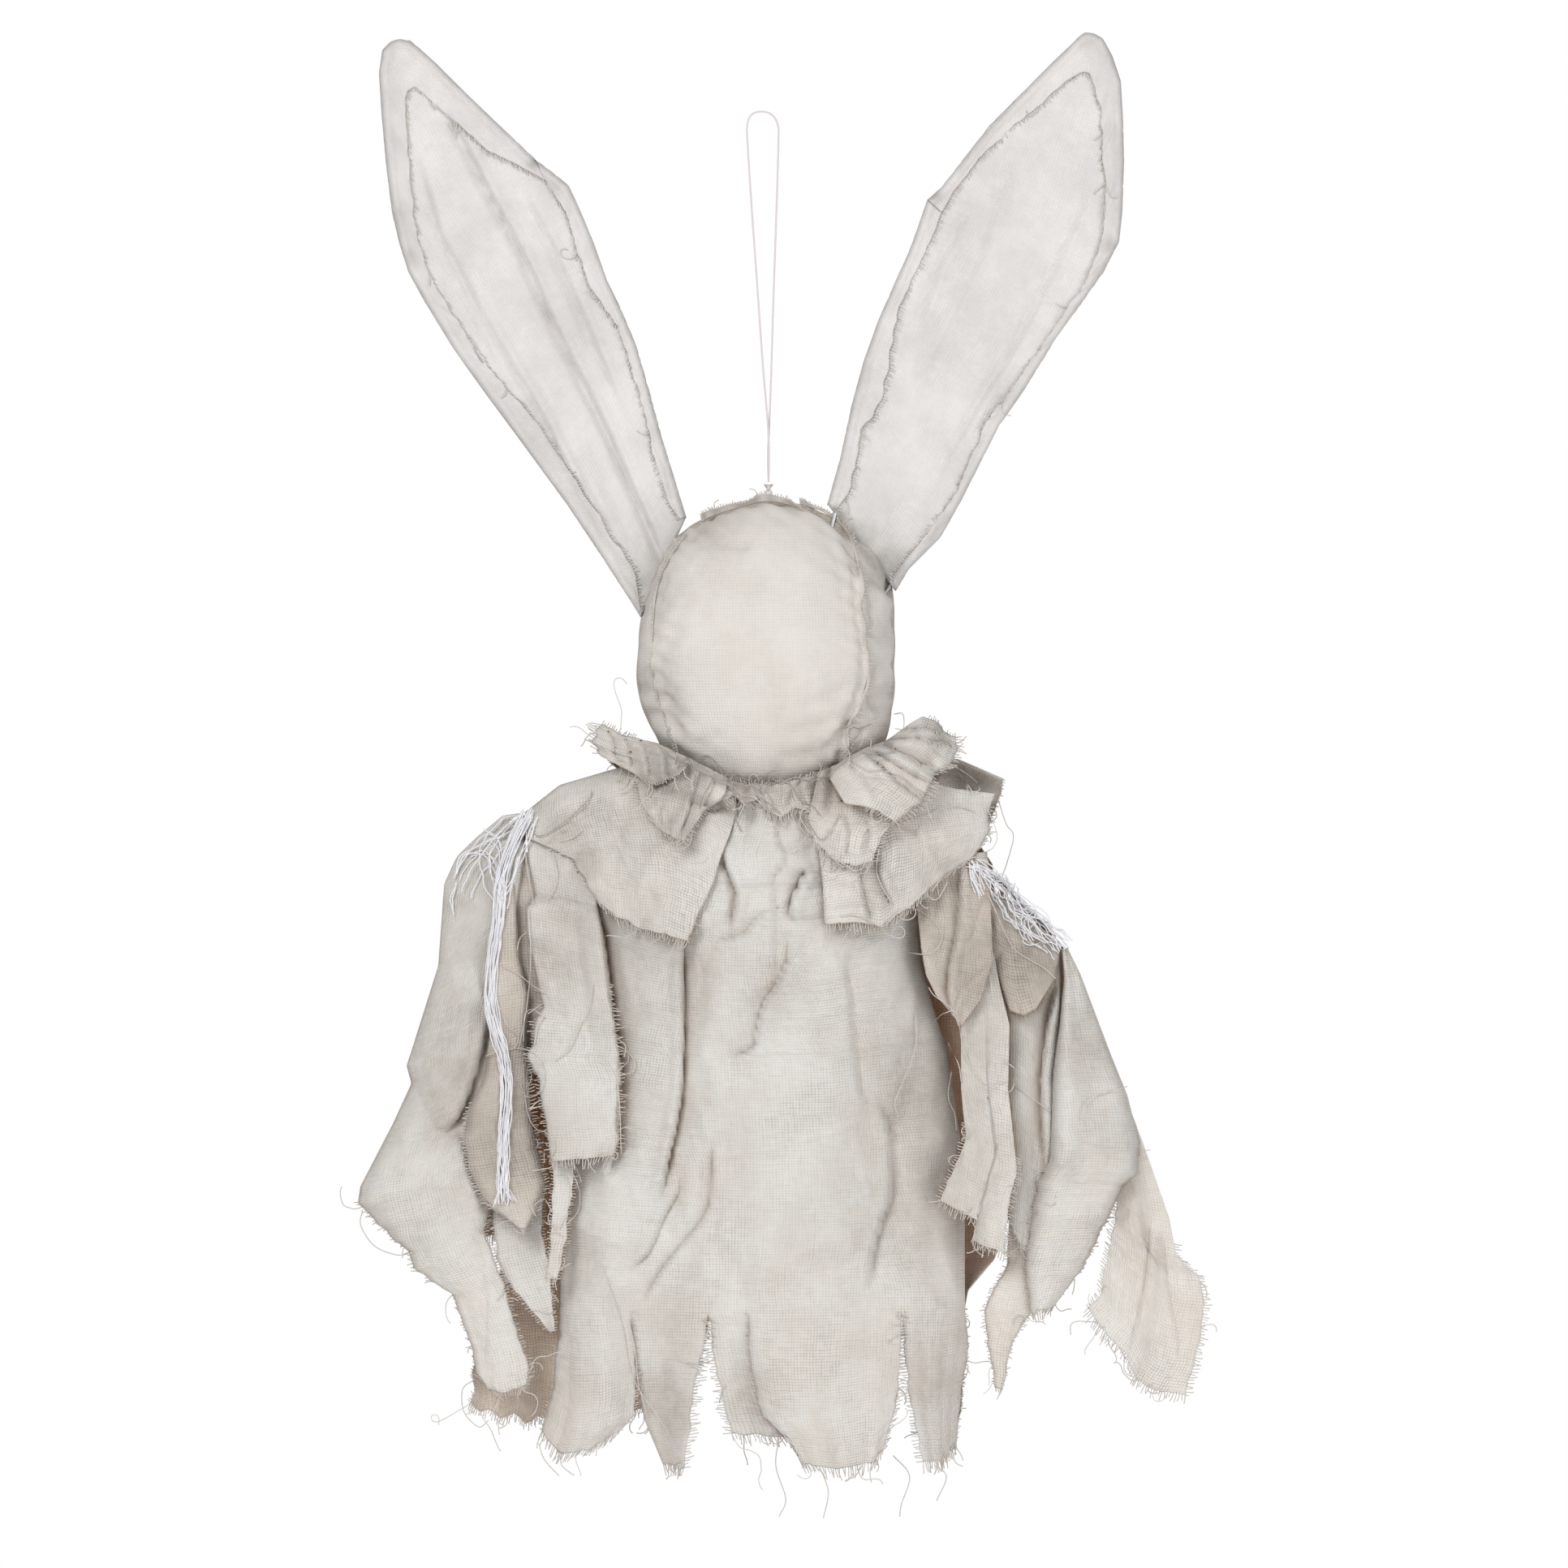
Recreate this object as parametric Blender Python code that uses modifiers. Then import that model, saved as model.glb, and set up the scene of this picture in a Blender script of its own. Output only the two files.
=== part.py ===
"""Hanging rabbit ghost decoration: stuffed head, wired ears, torn muslin gown, thread loop."""

import math

import bpy
import bmesh
import numpy as np
from mathutils import Vector
from mathutils.bvhtree import BVHTree

COLLECTION = "hanging_rabbit_ghost"

# Driving sizes in metres. The origin is the top of the hanging loop, the front faces -Y.
HEAD_WIDTH = 0.124
HEAD_DEPTH = 0.096
HEAD_HEIGHT = 0.1406
HEAD_OFFSET = 0.0023
HEAD_ROUNDNESS = 2.4
SEAM_FLAP = 0.004
SEAM_FLAP_ROOT = 0.003
SEAM_FLAP_WALL = 0.0012
EAR_LENGTH = 0.2785
EAR_HEM = 0.0040
EAR_HEM_HALF = 0.0031
EAR_WIRE_DIAMETER = 0.0018
EAR_WIRE_SEAT = 0.015
EAR_WALL = 0.0008
EAR_CLEARANCE = 0.00075
GOWN_WIDTH = 0.290
GOWN_LENGTH = 0.3211
GOWN_DEPTH = 0.045
GOWN_BACK_DEPTH = 0.040
NECK_DEPTH = 0.031
SLEEVE_DEPTH = 0.020
CLOTH = 0.0008
YARN_THICKNESS = 0.004
SHOULDER_WIRE_DIAMETER = 0.003
CORD_DIAMETER = 0.0009
KNOT_DIAMETER = 0.004
GAP = 0.0003

# How cloth lies on what is under it: how wide it bridges and how close it comes to rest.
CLOTH_FEEL = 0.004
BRIDGE_SLOPE = 0.92
BRIDGE_ROUNDS = 6
LIFT_STEP = 0.0004
LIFT_BESIDE = 0.00015
SEATED = 0.0007
SEAT_AIM = 0.0005

# The patterns are drawn on a grid of 0.38 mm steps, x to the right and y downwards.
GRID_NECK = (944, 955)
GRID_GOWN_WIDTH = 763
GRID_GOWN_LENGTH = 845
GRID_HEAD_CENTRE = (944, 793)
GRID_HEAD_HEIGHT = 370
GRID_EAR_LENGTH = 733
HEM_CUT = 1612

# Hanging loop from the knot up its left strand, over the top and down its right strand.
LOOP_ROUTE = [
    (0.0034, -0.0007, -0.1740), (0.0036, -0.0007, -0.1600), (0.0030, -0.0007, -0.1460),
    (0.0008, -0.0005, -0.1200), (-0.0019, 0.0, -0.0820), (-0.0046, 0.0, -0.0440),
    (-0.0064, 0.0, -0.0160), (-0.0066, 0.0, -0.0070), (-0.0046, 0.0, -0.0020),
    (0.0, 0.0, -0.0005), (0.0050, 0.0, -0.0020), (0.0078, 0.0, -0.0070),
    (0.0080, 0.0, -0.0160), (0.0072, 0.0, -0.0440), (0.0057, 0.0, -0.0880),
    (0.0046, 0.0005, -0.1250), (0.0038, 0.0007, -0.1460), (0.0032, 0.0007, -0.1600),
    (0.0034, 0.0007, -0.1740)]
LOOP_POINT_COUNT = 46

KNOT_X = LOOP_ROUTE[0][0]
KNOT_TOP = LOOP_ROUTE[0][2] - GAP
HEAD_TOP = KNOT_TOP - KNOT_DIAMETER - GAP
HEAD_CENTRE = Vector((HEAD_OFFSET, 0.0, HEAD_TOP - HEAD_HEIGHT / 2))
GRID_TO_NECK = (GRID_NECK[1] - GRID_HEAD_CENTRE[1]) / GRID_HEAD_HEIGHT
NECK = Vector((HEAD_CENTRE.x, 0.0, HEAD_CENTRE.z - HEAD_HEIGHT * GRID_TO_NECK))

# Finishes: linear red, green and blue, roughness and metallic value.
FINISHES = {
    "muslin": ((0.72, 0.67, 0.62), 0.95, 0.0),
    "muslin_ear": ((0.66, 0.62, 0.58), 0.95, 0.0),
    "muslin_worn": ((0.55, 0.50, 0.44), 0.95, 0.0),
    "yarn": ((0.72, 0.74, 0.80), 0.9, 0.0),
    "thread": ((0.80, 0.74, 0.70), 0.7, 0.0),
    "steel": ((0.45, 0.45, 0.46), 0.4, 1.0)}

# Ear outlines, base to tip, and the bearings of the seam with the head in degrees.
EARS = {
    "left": {
        "root": (799, 690), "seam": (160.0, 125.0), "waves": (0.0, 1.2, -1.5, 1.0, 0.0),
        "outer": [(790, 760), (760, 712), (680, 594), (600, 486), (545, 405), (504, 335), (493, 300),
                  (480, 238), (474, 170), (469, 100), (471, 64), (482, 53)],
        "inner": [(845, 638), (832, 595), (808, 510), (783, 425), (747, 345), (713, 257), (705, 235),
                  (658, 196), (600, 142), (537, 79), (515, 59), (500, 50)]},
    "right": {
        "root": (1074.6, 664.2), "seam": (66.0, 22.0), "waves": (0.0, -1.0, 1.2, -0.8, 0.0),
        "outer": [(1020, 622), (1036, 565), (1050, 500), (1065, 445), (1105, 345), (1130, 285),
                  (1143, 247), (1185, 200), (1220, 155), (1280, 98), (1312, 62), (1330, 45)],
        "inner": [(1103, 728), (1120, 700), (1158, 662), (1230, 525), (1300, 418), (1358, 337),
                  (1378, 298), (1384, 200), (1383, 150), (1377, 88), (1360, 52), (1347, 42)]}}

# Raw-edged seam round the head's front panel.
HEAD_SEAM = [(866, 634), (900, 622), (945, 618), (985, 622), (1015, 632), (1040, 655), (1057, 695),
             (1058, 745), (1065, 790), (1068, 838), (1052, 880), (1042, 915)]

SHOULDER_WIRE = [(578, 1056), (640, 1012), (730, 985), (820, 982), (900, 986), (944, 986),
                 (990, 986), (1060, 990), (1130, 1010), (1200, 1062), (1250, 1108), (1300, 1160)]
SHOULDER_WIRE_POINT_COUNT = 26

# Gown valleys: path, depth and half width in millimetres.
GOWN_VALLEYS = [
    ([(845, 1150), (843, 1250), (845, 1330), (828, 1410), (815, 1480), (790, 1560), (785, HEM_CUT)], 13, 8),
    ([(955, 1000), (957, 1150), (945, 1230), (930, 1300)], 11, 7),
    ([(1042, 1150), (1055, 1330), (1085, 1390)], 9, 9),
    ([(1098, 1390), (1098, 1460), (1080, 1530), (1072, HEM_CUT)], 12, 8),
    ([(882, 1390), (875, 1480), (850, 1530), (800, 1600)], 9, 8),
    ([(905, 1000), (890, 1060), (905, 1130)], 10, 6),
    ([(1000, 1000), (1020, 1090), (1015, 1200)], 6, 7),
    ([(960, 1400), (955, 1500), (925, HEM_CUT)], 5, 10)]
GOWN_BACK_VALLEYS = [
    ([(860, 960), (800, 1150), (780, 1400), (790, HEM_CUT)], 9, 11),
    ([(944, 960), (930, 1200), (945, 1400), (930, HEM_CUT)], 9, 11),
    ([(1030, 960), (1070, 1150), (1085, 1400), (1060, HEM_CUT)], 9, 11),
    ([(740, 1050), (700, 1250), (690, 1450), (690, HEM_CUT)], 6, 10),
    ([(1140, 1050), (1165, 1250), (1160, 1450), (1150, HEM_CUT)], 6, 10)]


def grid_point(x, y):
    """Place of a pattern grid point in the gown's frame."""
    return (NECK.x + (x - GRID_NECK[0]) * GOWN_WIDTH / GRID_GOWN_WIDTH,
            NECK.z - (y - GRID_NECK[1]) * GOWN_LENGTH / GRID_GOWN_LENGTH)


def resample(points, shares):
    """Points at the given shares of a polyline's length."""
    pts = np.array(points, dtype=float)
    steps = np.linalg.norm(np.diff(pts, axis=0), axis=1)
    along = np.concatenate([[0.0], np.cumsum(steps)]) / max(steps.sum(), 1e-9)
    return np.stack([np.interp(shares, along, pts[:, k]) for k in range(pts.shape[1])], axis=1)


def smooth_curve(points, count):
    """Evenly spaced points on a Catmull-Rom curve through the given points."""
    pts = [Vector(p) for p in points]
    pts = [pts[0] * 2 - pts[1]] + pts + [pts[-1] * 2 - pts[-2]]
    dense = []
    for a, b, c, d in zip(pts, pts[1:], pts[2:], pts[3:]):
        for k in range(16):
            t = k / 16
            dense.append(0.5 * (2 * b + (c - a) * t + (2 * a - 5 * b + 4 * c - d) * t * t
                                + (3 * b - a - 3 * c + d) * t ** 3))
    dense.append(pts[-2])
    return [Vector(p) for p in resample(dense, np.linspace(0, 1, count))]


def coons_patch(piece, s, t):
    """Grid points of a pattern piece from its four edges, as rows by columns."""
    left = resample([grid_point(*p) for p in piece["left"]], t)
    right = resample([grid_point(*p) for p in piece["right"]], t)
    top_edge = [piece["left"][0]] + piece.get("top", []) + [piece["right"][0]]
    low_edge = [piece["left"][-1]] + piece.get("bottom", []) + [piece["right"][-1]]
    top = resample([grid_point(*p) for p in top_edge], s)
    low = resample([grid_point(*p) for p in low_edge], s)
    ss = s[None, :, None]
    tt = t[:, None, None]
    across = left[:, None] * (1 - ss) + right[:, None] * ss
    down = top[None] * (1 - tt) + low[None] * tt
    corners = ((left[0] * (1 - ss) + right[0] * ss) * (1 - tt)
               + (left[-1] * (1 - ss) + right[-1] * ss) * tt)
    patch = across + down - corners
    return patch[..., 0], patch[..., 1]


def distance_to_path(x, z, path):
    """Distance of each grid point from a polyline in the x-z plane."""
    best = np.full(x.shape, 1e9)
    for (ax, az), (bx, bz) in zip(path, path[1:]):
        length = (bx - ax) ** 2 + (bz - az) ** 2
        k = np.clip(((x - ax) * (bx - ax) + (z - az) * (bz - az)) / length, 0, 1)
        best = np.minimum(best, np.hypot(x - ax - k * (bx - ax), z - az - k * (bz - az)))
    return best


def make_material(name, finish):
    """A piece's own material, with one of the finishes."""
    colour, roughness, metallic = FINISHES[finish]
    material = bpy.data.materials.new(name)
    material.use_nodes = True
    shader = material.node_tree.nodes["Principled BSDF"]
    shader.inputs["Base Color"].default_value = (*colour, 1.0)
    shader.inputs["Roughness"].default_value = roughness
    shader.inputs["Metallic"].default_value = metallic
    material.diffuse_color = (*colour, 1.0)
    return material


class Workshop:
    """The finished solids and a relief map of each side, on which further cloth is laid."""

    cell = 0.001
    reach = 0.45

    def __init__(self):
        self.collection = bpy.data.collections.new(COLLECTION)
        bpy.context.scene.collection.children.link(self.collection)
        self.origin = bpy.data.objects.new("hook_point", None)
        self.collection.objects.link(self.origin)
        self.cutters = bpy.data.collections.new(COLLECTION + "_cutters")
        bpy.context.scene.collection.children.link(self.cutters)
        cells = int(2 * self.reach / self.cell)
        self.relief = {side: np.full((cells, 2 * cells), -1.0) for side in (-1, 1)}
        self.verts = []
        self.faces = []

    def indices(self, x, z):
        shape = self.relief[1].shape
        i = np.clip(((np.asarray(x) + self.reach) / self.cell).astype(int), 0, shape[0] - 1)
        j = np.clip((-np.asarray(z) / self.cell + shape[1] / 4).astype(int), 0, shape[1] - 1)
        return i, j

    def add(self, obj):
        """Puts a finished object in the collection and records its surface."""
        if obj.name not in self.collection.objects:
            self.collection.objects.link(obj)
        obj.parent = self.origin
        points, faces = evaluated_surface(obj)
        start = len(self.verts)
        self.verts.extend(points)
        self.faces.extend([tuple(i + start for i in face) for face in faces])
        corners = np.array([[points[i] for i in face] for face in faces])
        steps = 8
        for u in range(steps + 1):
            for v in range(steps + 1 - u):
                w = steps - u - v
                spot = (corners[:, 0] * u + corners[:, 1] * v + corners[:, 2] * w) / steps
                i, j = self.indices(spot[:, 0], spot[:, 2])
                for side in (-1, 1):
                    np.maximum.at(self.relief[side], (i, j), side * spot[:, 1])
        return obj

    def support(self, side, x, z, radius):
        """Outermost surface within a radius of each point, measured outwards on one side."""
        relief = self.relief[side]
        best = relief.copy()
        for _ in range(math.ceil(radius / self.cell)):
            for axis in (0, 1):
                best = np.maximum(best, np.maximum(np.roll(best, 1, axis), np.roll(best, -1, axis)))
        i, j = self.indices(x, z)
        return best[i, j]

    def tree(self):
        return BVHTree.FromPolygons(self.verts, self.faces)


def evaluated_surface(obj):
    """World points and triangles of an object as the viewport shows it."""
    depsgraph = bpy.context.evaluated_depsgraph_get()
    mesh = bpy.data.meshes.new_from_object(obj.evaluated_get(depsgraph))
    mesh.calc_loop_triangles()
    points = [obj.matrix_world @ v.co for v in mesh.vertices]
    faces = [tuple(t.vertices) for t in mesh.loop_triangles]
    bpy.data.meshes.remove(mesh)
    return points, faces


def spread(excess):
    """Lets cloth bridge smoothly down from where it is lifted."""
    for _ in range(BRIDGE_ROUNDS):
        padded = np.pad(excess, 1, mode="edge")
        around = (padded[:-2, 1:-1] + padded[2:, 1:-1] + padded[1:-1, :-2] + padded[1:-1, 2:]) / 4
        excess = np.maximum(excess, around * BRIDGE_SLOPE)
    return excess


def shape_depth(piece, s, t, x, z):
    """Depth of a piece before it is laid over what is under it, outwards positive."""
    top_left, top_right, low_left, low_right = [d * 0.001 for d in piece["depth"]]
    ss = s[None, :]
    tt = t[:, None]
    depth = ((top_left * (1 - ss) + top_right * ss) * (1 - tt)
             + (low_left * (1 - ss) + low_right * ss) * tt)
    top_bulge, low_bulge = piece.get("bulge", (0.0, 0.0))
    bulge = top_bulge + (low_bulge - top_bulge) * np.minimum(1.0, tt * 2.5)
    depth = depth + bulge * np.sqrt(np.clip(1 - (2 * ss - 1) ** 2, 0, 1))
    pleats, height = piece.get("pleats", (0, 0.0))
    if pleats:
        depth = depth + height * 0.001 * (0.5 - 0.5 * np.cos(2 * math.pi * pleats * ss)) * tt
    for path, drop, width in piece.get("valleys", []):
        path_distance = distance_to_path(x, z, [grid_point(*p) for p in path])
        depth = depth - drop * 0.001 * np.exp(-(path_distance / (width * 0.001)) ** 2)
    return depth


def lay_piece(shop, piece, s, t):
    """Rows and columns of points of one pattern piece, laid over what is already there."""
    x, z = coons_patch(piece, s, t)
    depth = shape_depth(piece, s, t, x, z)
    limit = shop.support(piece["side"], x, z, CLOTH_FEEL) + GAP
    lifted = spread(np.maximum(depth, limit) - depth)
    depth = np.maximum(depth + lifted, GAP)
    return np.stack([x, piece["side"] * depth, z], axis=-1)


def sheet_object(name, grids, side, thickness, material):
    """A thin solid from grids of points that share their common edges."""
    bm = bmesh.new()
    for grid in grids:
        rows, columns = grid.shape[:2]
        made = bmesh.ops.create_grid(bm, x_segments=columns - 1, y_segments=rows - 1, size=1.0)
        for vertex, place in zip(made["verts"], grid.reshape(-1, 3)):
            vertex.co = place
    if side < 0:
        bmesh.ops.reverse_faces(bm, faces=bm.faces)
    bmesh.ops.remove_doubles(bm, verts=bm.verts, dist=1e-6)
    bmesh.ops.dissolve_degenerate(bm, edges=bm.edges, dist=1e-6)
    bmesh.ops.triangulate(bm, faces=bm.faces)
    mesh = bpy.data.meshes.new(name)
    bm.to_mesh(mesh)
    bm.free()
    mesh.materials.append(material)
    mesh.shade_smooth()
    obj = bpy.data.objects.new(name, mesh)
    wall = obj.modifiers.new("Thickness", "SOLIDIFY")
    wall.thickness = thickness
    wall.offset = 1.0
    return obj


def settle(shop, obj, side):
    """Lifts a sheet where it still cuts its neighbours, then brings it down to its seat."""
    shop.collection.objects.link(obj)
    neighbours = shop.tree()
    count = len(obj.data.vertices)
    links = [set() for _ in range(count)]
    for edge in obj.data.edges:
        a, b = edge.vertices
        links[a].add(b)
        links[b].add(a)
    for _ in range(80):
        points, faces = evaluated_surface(obj)
        crossing = BVHTree.FromPolygons(points, faces).overlap(neighbours)
        struck = {i % count for pair in crossing for i in faces[pair[0]]}
        near = {i % count for i, p in enumerate(points)
                if neighbours.find_nearest(p, GAP * 0.7)[0] is not None}
        if not struck and not near:
            break
        for i in struck | near:
            obj.data.vertices[i].co.y += side * LIFT_STEP
            for k in links[i]:
                obj.data.vertices[k].co.y += side * LIFT_BESIDE
    for _ in range(40):
        points, faces = evaluated_surface(obj)
        nearest = min(neighbours.find_nearest(p)[3] for p in points)
        if nearest < SEATED:
            break
        move = nearest - SEAT_AIM
        for vertex in obj.data.vertices:
            vertex.co.y -= side * move
        points, faces = evaluated_surface(obj)
        if BVHTree.FromPolygons(points, faces).overlap(neighbours):
            for vertex in obj.data.vertices:
                vertex.co.y += side * move
            break
    return shop.add(obj)


def make_cloth(shop, name, piece, finish, thickness=CLOTH):
    """One pattern piece as a thin solid."""
    columns, rows = piece["grid"]
    side = piece["side"]
    s = np.linspace(0, 1, columns + 1)
    t = np.linspace(0, 1, rows + 1)
    grid = lay_piece(shop, piece, s, t)
    sheet = sheet_object(name, [grid], side, thickness, make_material(name, finish))
    return settle(shop, sheet, side)


def make_tube(name, points, diameter, finish):
    """A tube along given points, with closed ends."""
    curve = bpy.data.curves.new(name, "CURVE")
    curve.dimensions = "3D"
    curve.bevel_depth = diameter / 2
    curve.bevel_resolution = 2
    curve.use_fill_caps = True
    spline = curve.splines.new("POLY")
    spline.points.add(len(points) - 1)
    for place, point in zip(spline.points, points):
        place.co = (*point, 1.0)
    curve.materials.append(make_material(name, finish))
    return bpy.data.objects.new(name, curve)


def make_knot(shop):
    """Knot that ends the loop on top of the head."""
    mesh = bpy.data.meshes.new("loop_knot")
    bm = bmesh.new()
    bmesh.ops.create_uvsphere(bm, u_segments=10, v_segments=8, radius=KNOT_DIAMETER / 2)
    bm.to_mesh(mesh)
    bm.free()
    mesh.materials.append(make_material(mesh.name, "thread"))
    knot = bpy.data.objects.new(mesh.name, mesh)
    knot.location = (KNOT_X, 0.0, KNOT_TOP - KNOT_DIAMETER / 2)
    shop.collection.objects.link(knot)
    bpy.context.view_layer.update()
    shop.add(knot)


def make_shoulder_wire(shop):
    """Wire under the head that spreads the gown's shoulders."""
    line = [grid_point(*p) for p in SHOULDER_WIRE]
    seat = HEAD_CENTRE.z - HEAD_HEIGHT / 2 - GAP - SHOULDER_WIRE_DIAMETER / 2
    drop = seat - line[len(line) // 2][1]
    path = smooth_curve([(x, 0.0, z + drop) for x, z in line], SHOULDER_WIRE_POINT_COUNT)
    shop.add(make_tube("shoulder_wire", path, SHOULDER_WIRE_DIAMETER, "steel"))


def head_outline(bearing, grow=0.0):
    """Point on the head's outline in its middle plane, at a bearing in radians."""
    c, s = math.cos(bearing), math.sin(bearing)
    width, height = HEAD_WIDTH / 2, HEAD_HEIGHT / 2
    n = HEAD_ROUNDNESS
    radius = (abs(c / width) ** n + abs(s / height) ** n) ** (-1 / n) + grow
    return Vector((HEAD_CENTRE.x + radius * c, 0.0, HEAD_CENTRE.z + radius * s))


def head_front(x, z):
    """Depth of the head's front at a place seen from the front."""
    across = abs(x - HEAD_CENTRE.x) / (HEAD_WIDTH / 2)
    along = abs(z - HEAD_CENTRE.z) / (HEAD_HEIGHT / 2)
    rest = max(1 - across ** HEAD_ROUNDNESS - along ** HEAD_ROUNDNESS, 0.0)
    return -HEAD_DEPTH / 2 * rest ** (1 / HEAD_ROUNDNESS)


def make_head(shop, bores):
    """Stuffed head with the raw seam flap that stands along its front panel."""
    material = make_material("head", "muslin")
    mesh = bpy.data.meshes.new("head")
    bm = bmesh.new()
    bmesh.ops.create_uvsphere(bm, u_segments=28, v_segments=16, radius=1.0)
    power = 2 / HEAD_ROUNDNESS
    half = (HEAD_WIDTH / 2, HEAD_DEPTH / 2, HEAD_HEIGHT / 2)
    for vertex in bm.verts:
        place = [math.copysign(abs(c) ** power, c) * h for c, h in zip(vertex.co, half)]
        vertex.co = HEAD_CENTRE + Vector(place)
    bm.to_mesh(mesh)
    bm.free()
    mesh.materials.append(material)
    mesh.shade_smooth()
    head = bpy.data.objects.new("head", mesh)
    shop.collection.objects.link(head)

    scale = HEAD_HEIGHT / GRID_HEAD_HEIGHT
    inner, outer = [], []
    for gx, gy in HEAD_SEAM:
        x = HEAD_CENTRE.x + (gx - GRID_HEAD_CENTRE[0]) * scale
        z = HEAD_CENTRE.z - (gy - GRID_HEAD_CENTRE[1]) * scale
        root = Vector((x, head_front(x, z), z))
        outward = (root - HEAD_CENTRE).normalized()
        inner.append(root - outward * SEAM_FLAP_ROOT)
        outer.append(root + outward * SEAM_FLAP)
    flap = sheet_object("head_seam_flap", [np.array([inner, outer])], -1, SEAM_FLAP_WALL, material)
    flap.modifiers["Thickness"].offset = 0.0
    shop.cutters.objects.link(flap)
    join = head.modifiers.new("Seam flap", "BOOLEAN")
    join.operation = "UNION"
    join.object = flap
    flap.hide_render = True
    flap.display_type = "WIRE"
    for number, (inside, outside) in enumerate(bores):
        cutter = bpy.data.objects.new("wire_bore_%d" % number, bpy.data.meshes.new("bore"))
        bm = bmesh.new()
        axis = outside - inside
        radius = EAR_WIRE_DIAMETER / 2 + GAP
        bmesh.ops.create_cone(bm, cap_ends=True, segments=10, radius1=radius, radius2=radius,
                              depth=axis.length)
        bm.to_mesh(cutter.data)
        bm.free()
        cutter.location = (inside + outside) / 2
        cutter.rotation_euler = axis.to_track_quat("Z", "Y").to_euler()
        cutter.hide_render = True
        cutter.display_type = "WIRE"
        shop.cutters.objects.link(cutter)
        cut = head.modifiers.new("Wire bore %d" % number, "BOOLEAN")
        cut.operation = "DIFFERENCE"
        cut.object = cutter
    bpy.context.view_layer.update()
    return shop.add(head)


def ear_grid(ear):
    """Rows of ear points from the head's seam to the tip, and the half thickness at each."""
    scale = EAR_LENGTH / GRID_EAR_LENGTH
    middle = math.radians((ear["seam"][0] + ear["seam"][1]) / 2)
    root = head_outline(middle)

    def place(point):
        across, down = point[0] - ear["root"][0], point[1] - ear["root"][1]
        return (root.x + across * scale, root.z - down * scale)

    shares = np.concatenate([np.linspace(0, 0.93, 11), [0.980, 1.0]])
    outer = resample([place(p) for p in ear["outer"]], shares)
    inner = resample([place(p) for p in ear["inner"]], shares)
    rows, halves = [], []
    last = len(shares) - 1
    for r in range(last + 1):
        width = np.linalg.norm(inner[r] - outer[r])
        edge = min(EAR_HEM / width, 0.26)
        fold = min(EAR_HEM * 2.6 / width, 0.38)
        columns = np.array([0, edge, fold, 0.5, 1 - fold, 1 - edge, 1.0])
        if r == last:
            columns = np.linspace(0, 1, 7)
        points = outer[r] * (1 - columns[:, None]) + inner[r] * columns[:, None]
        if r == 0:
            bearings = np.radians(np.interp(columns, [0, 1], ear["seam"]))
            seam = [head_outline(b, EAR_CLEARANCE) for b in bearings]
            points = np.array([(p.x, p.z) for p in seam])
        hem, skin = EAR_HEM_HALF, EAR_WALL + GAP
        half = np.array([0, hem, skin, skin, skin, hem, 0])
        if r == last - 1:
            half = np.array([0, hem, hem, hem, hem, hem, 0])
        if r == last:
            half = np.zeros(7)
        rows.append(points)
        halves.append(half)
    return np.array(rows), np.array(halves)


def make_ear_cover(shop, side_name):
    """Muslin pocket over the ear's wire, open where it meets the head."""
    ear = EARS[side_name]
    points, halves = ear_grid(ear)
    rows, columns = halves.shape
    waves = np.array([0.0, *ear["waves"], 0.0]) * 0.001
    lift = np.sin(np.linspace(0, math.pi, rows))[:, None] * waves[None]
    bm = bmesh.new()
    for face in (-1, 1):
        verts = []
        for r in range(rows):
            depths = face * halves[r] + lift[r]
            verts.append([bm.verts.new((points[r, c, 0], depths[c], points[r, c, 1]))
                          for c in range(columns)])
        for r in range(rows - 1):
            for c in range(columns - 1):
                bm.faces.new([verts[r][c], verts[r][c + 1], verts[r + 1][c + 1], verts[r + 1][c]])
    bmesh.ops.remove_doubles(bm, verts=bm.verts, dist=1e-6)
    bmesh.ops.triangulate(bm, faces=bm.faces)
    bmesh.ops.recalc_face_normals(bm, faces=bm.faces)
    mesh = bpy.data.meshes.new("ear_cover_" + side_name)
    bm.to_mesh(mesh)
    bm.free()
    mesh.materials.append(make_material(mesh.name, "muslin_ear"))
    mesh.shade_smooth()
    obj = bpy.data.objects.new(mesh.name, mesh)
    wall = obj.modifiers.new("Thickness", "SOLIDIFY")
    wall.thickness = EAR_WALL
    wall.offset = -1.0
    wall.use_even_offset = True
    return shop.add(obj)


def ear_wire_path(side_name):
    """Wire centre line from one seat in the head, round the ear's hem, to the other seat."""
    points, _ = ear_grid(EARS[side_name])
    last = len(points) - 1
    out = [points[r, 1] for r in range(last)]
    across = [points[last - 1, c] for c in (2, 3, 4)]
    back = [points[r, 5] for r in range(last - 1, -1, -1)]
    path = [Vector((p[0], 0.0, p[1])) for p in out + across + back]
    first = path[0] + (path[0] - path[1]).normalized() * EAR_WIRE_SEAT
    final = path[-1] + (path[-1] - path[-2]).normalized() * EAR_WIRE_SEAT
    return [first] + path + [final]


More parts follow.
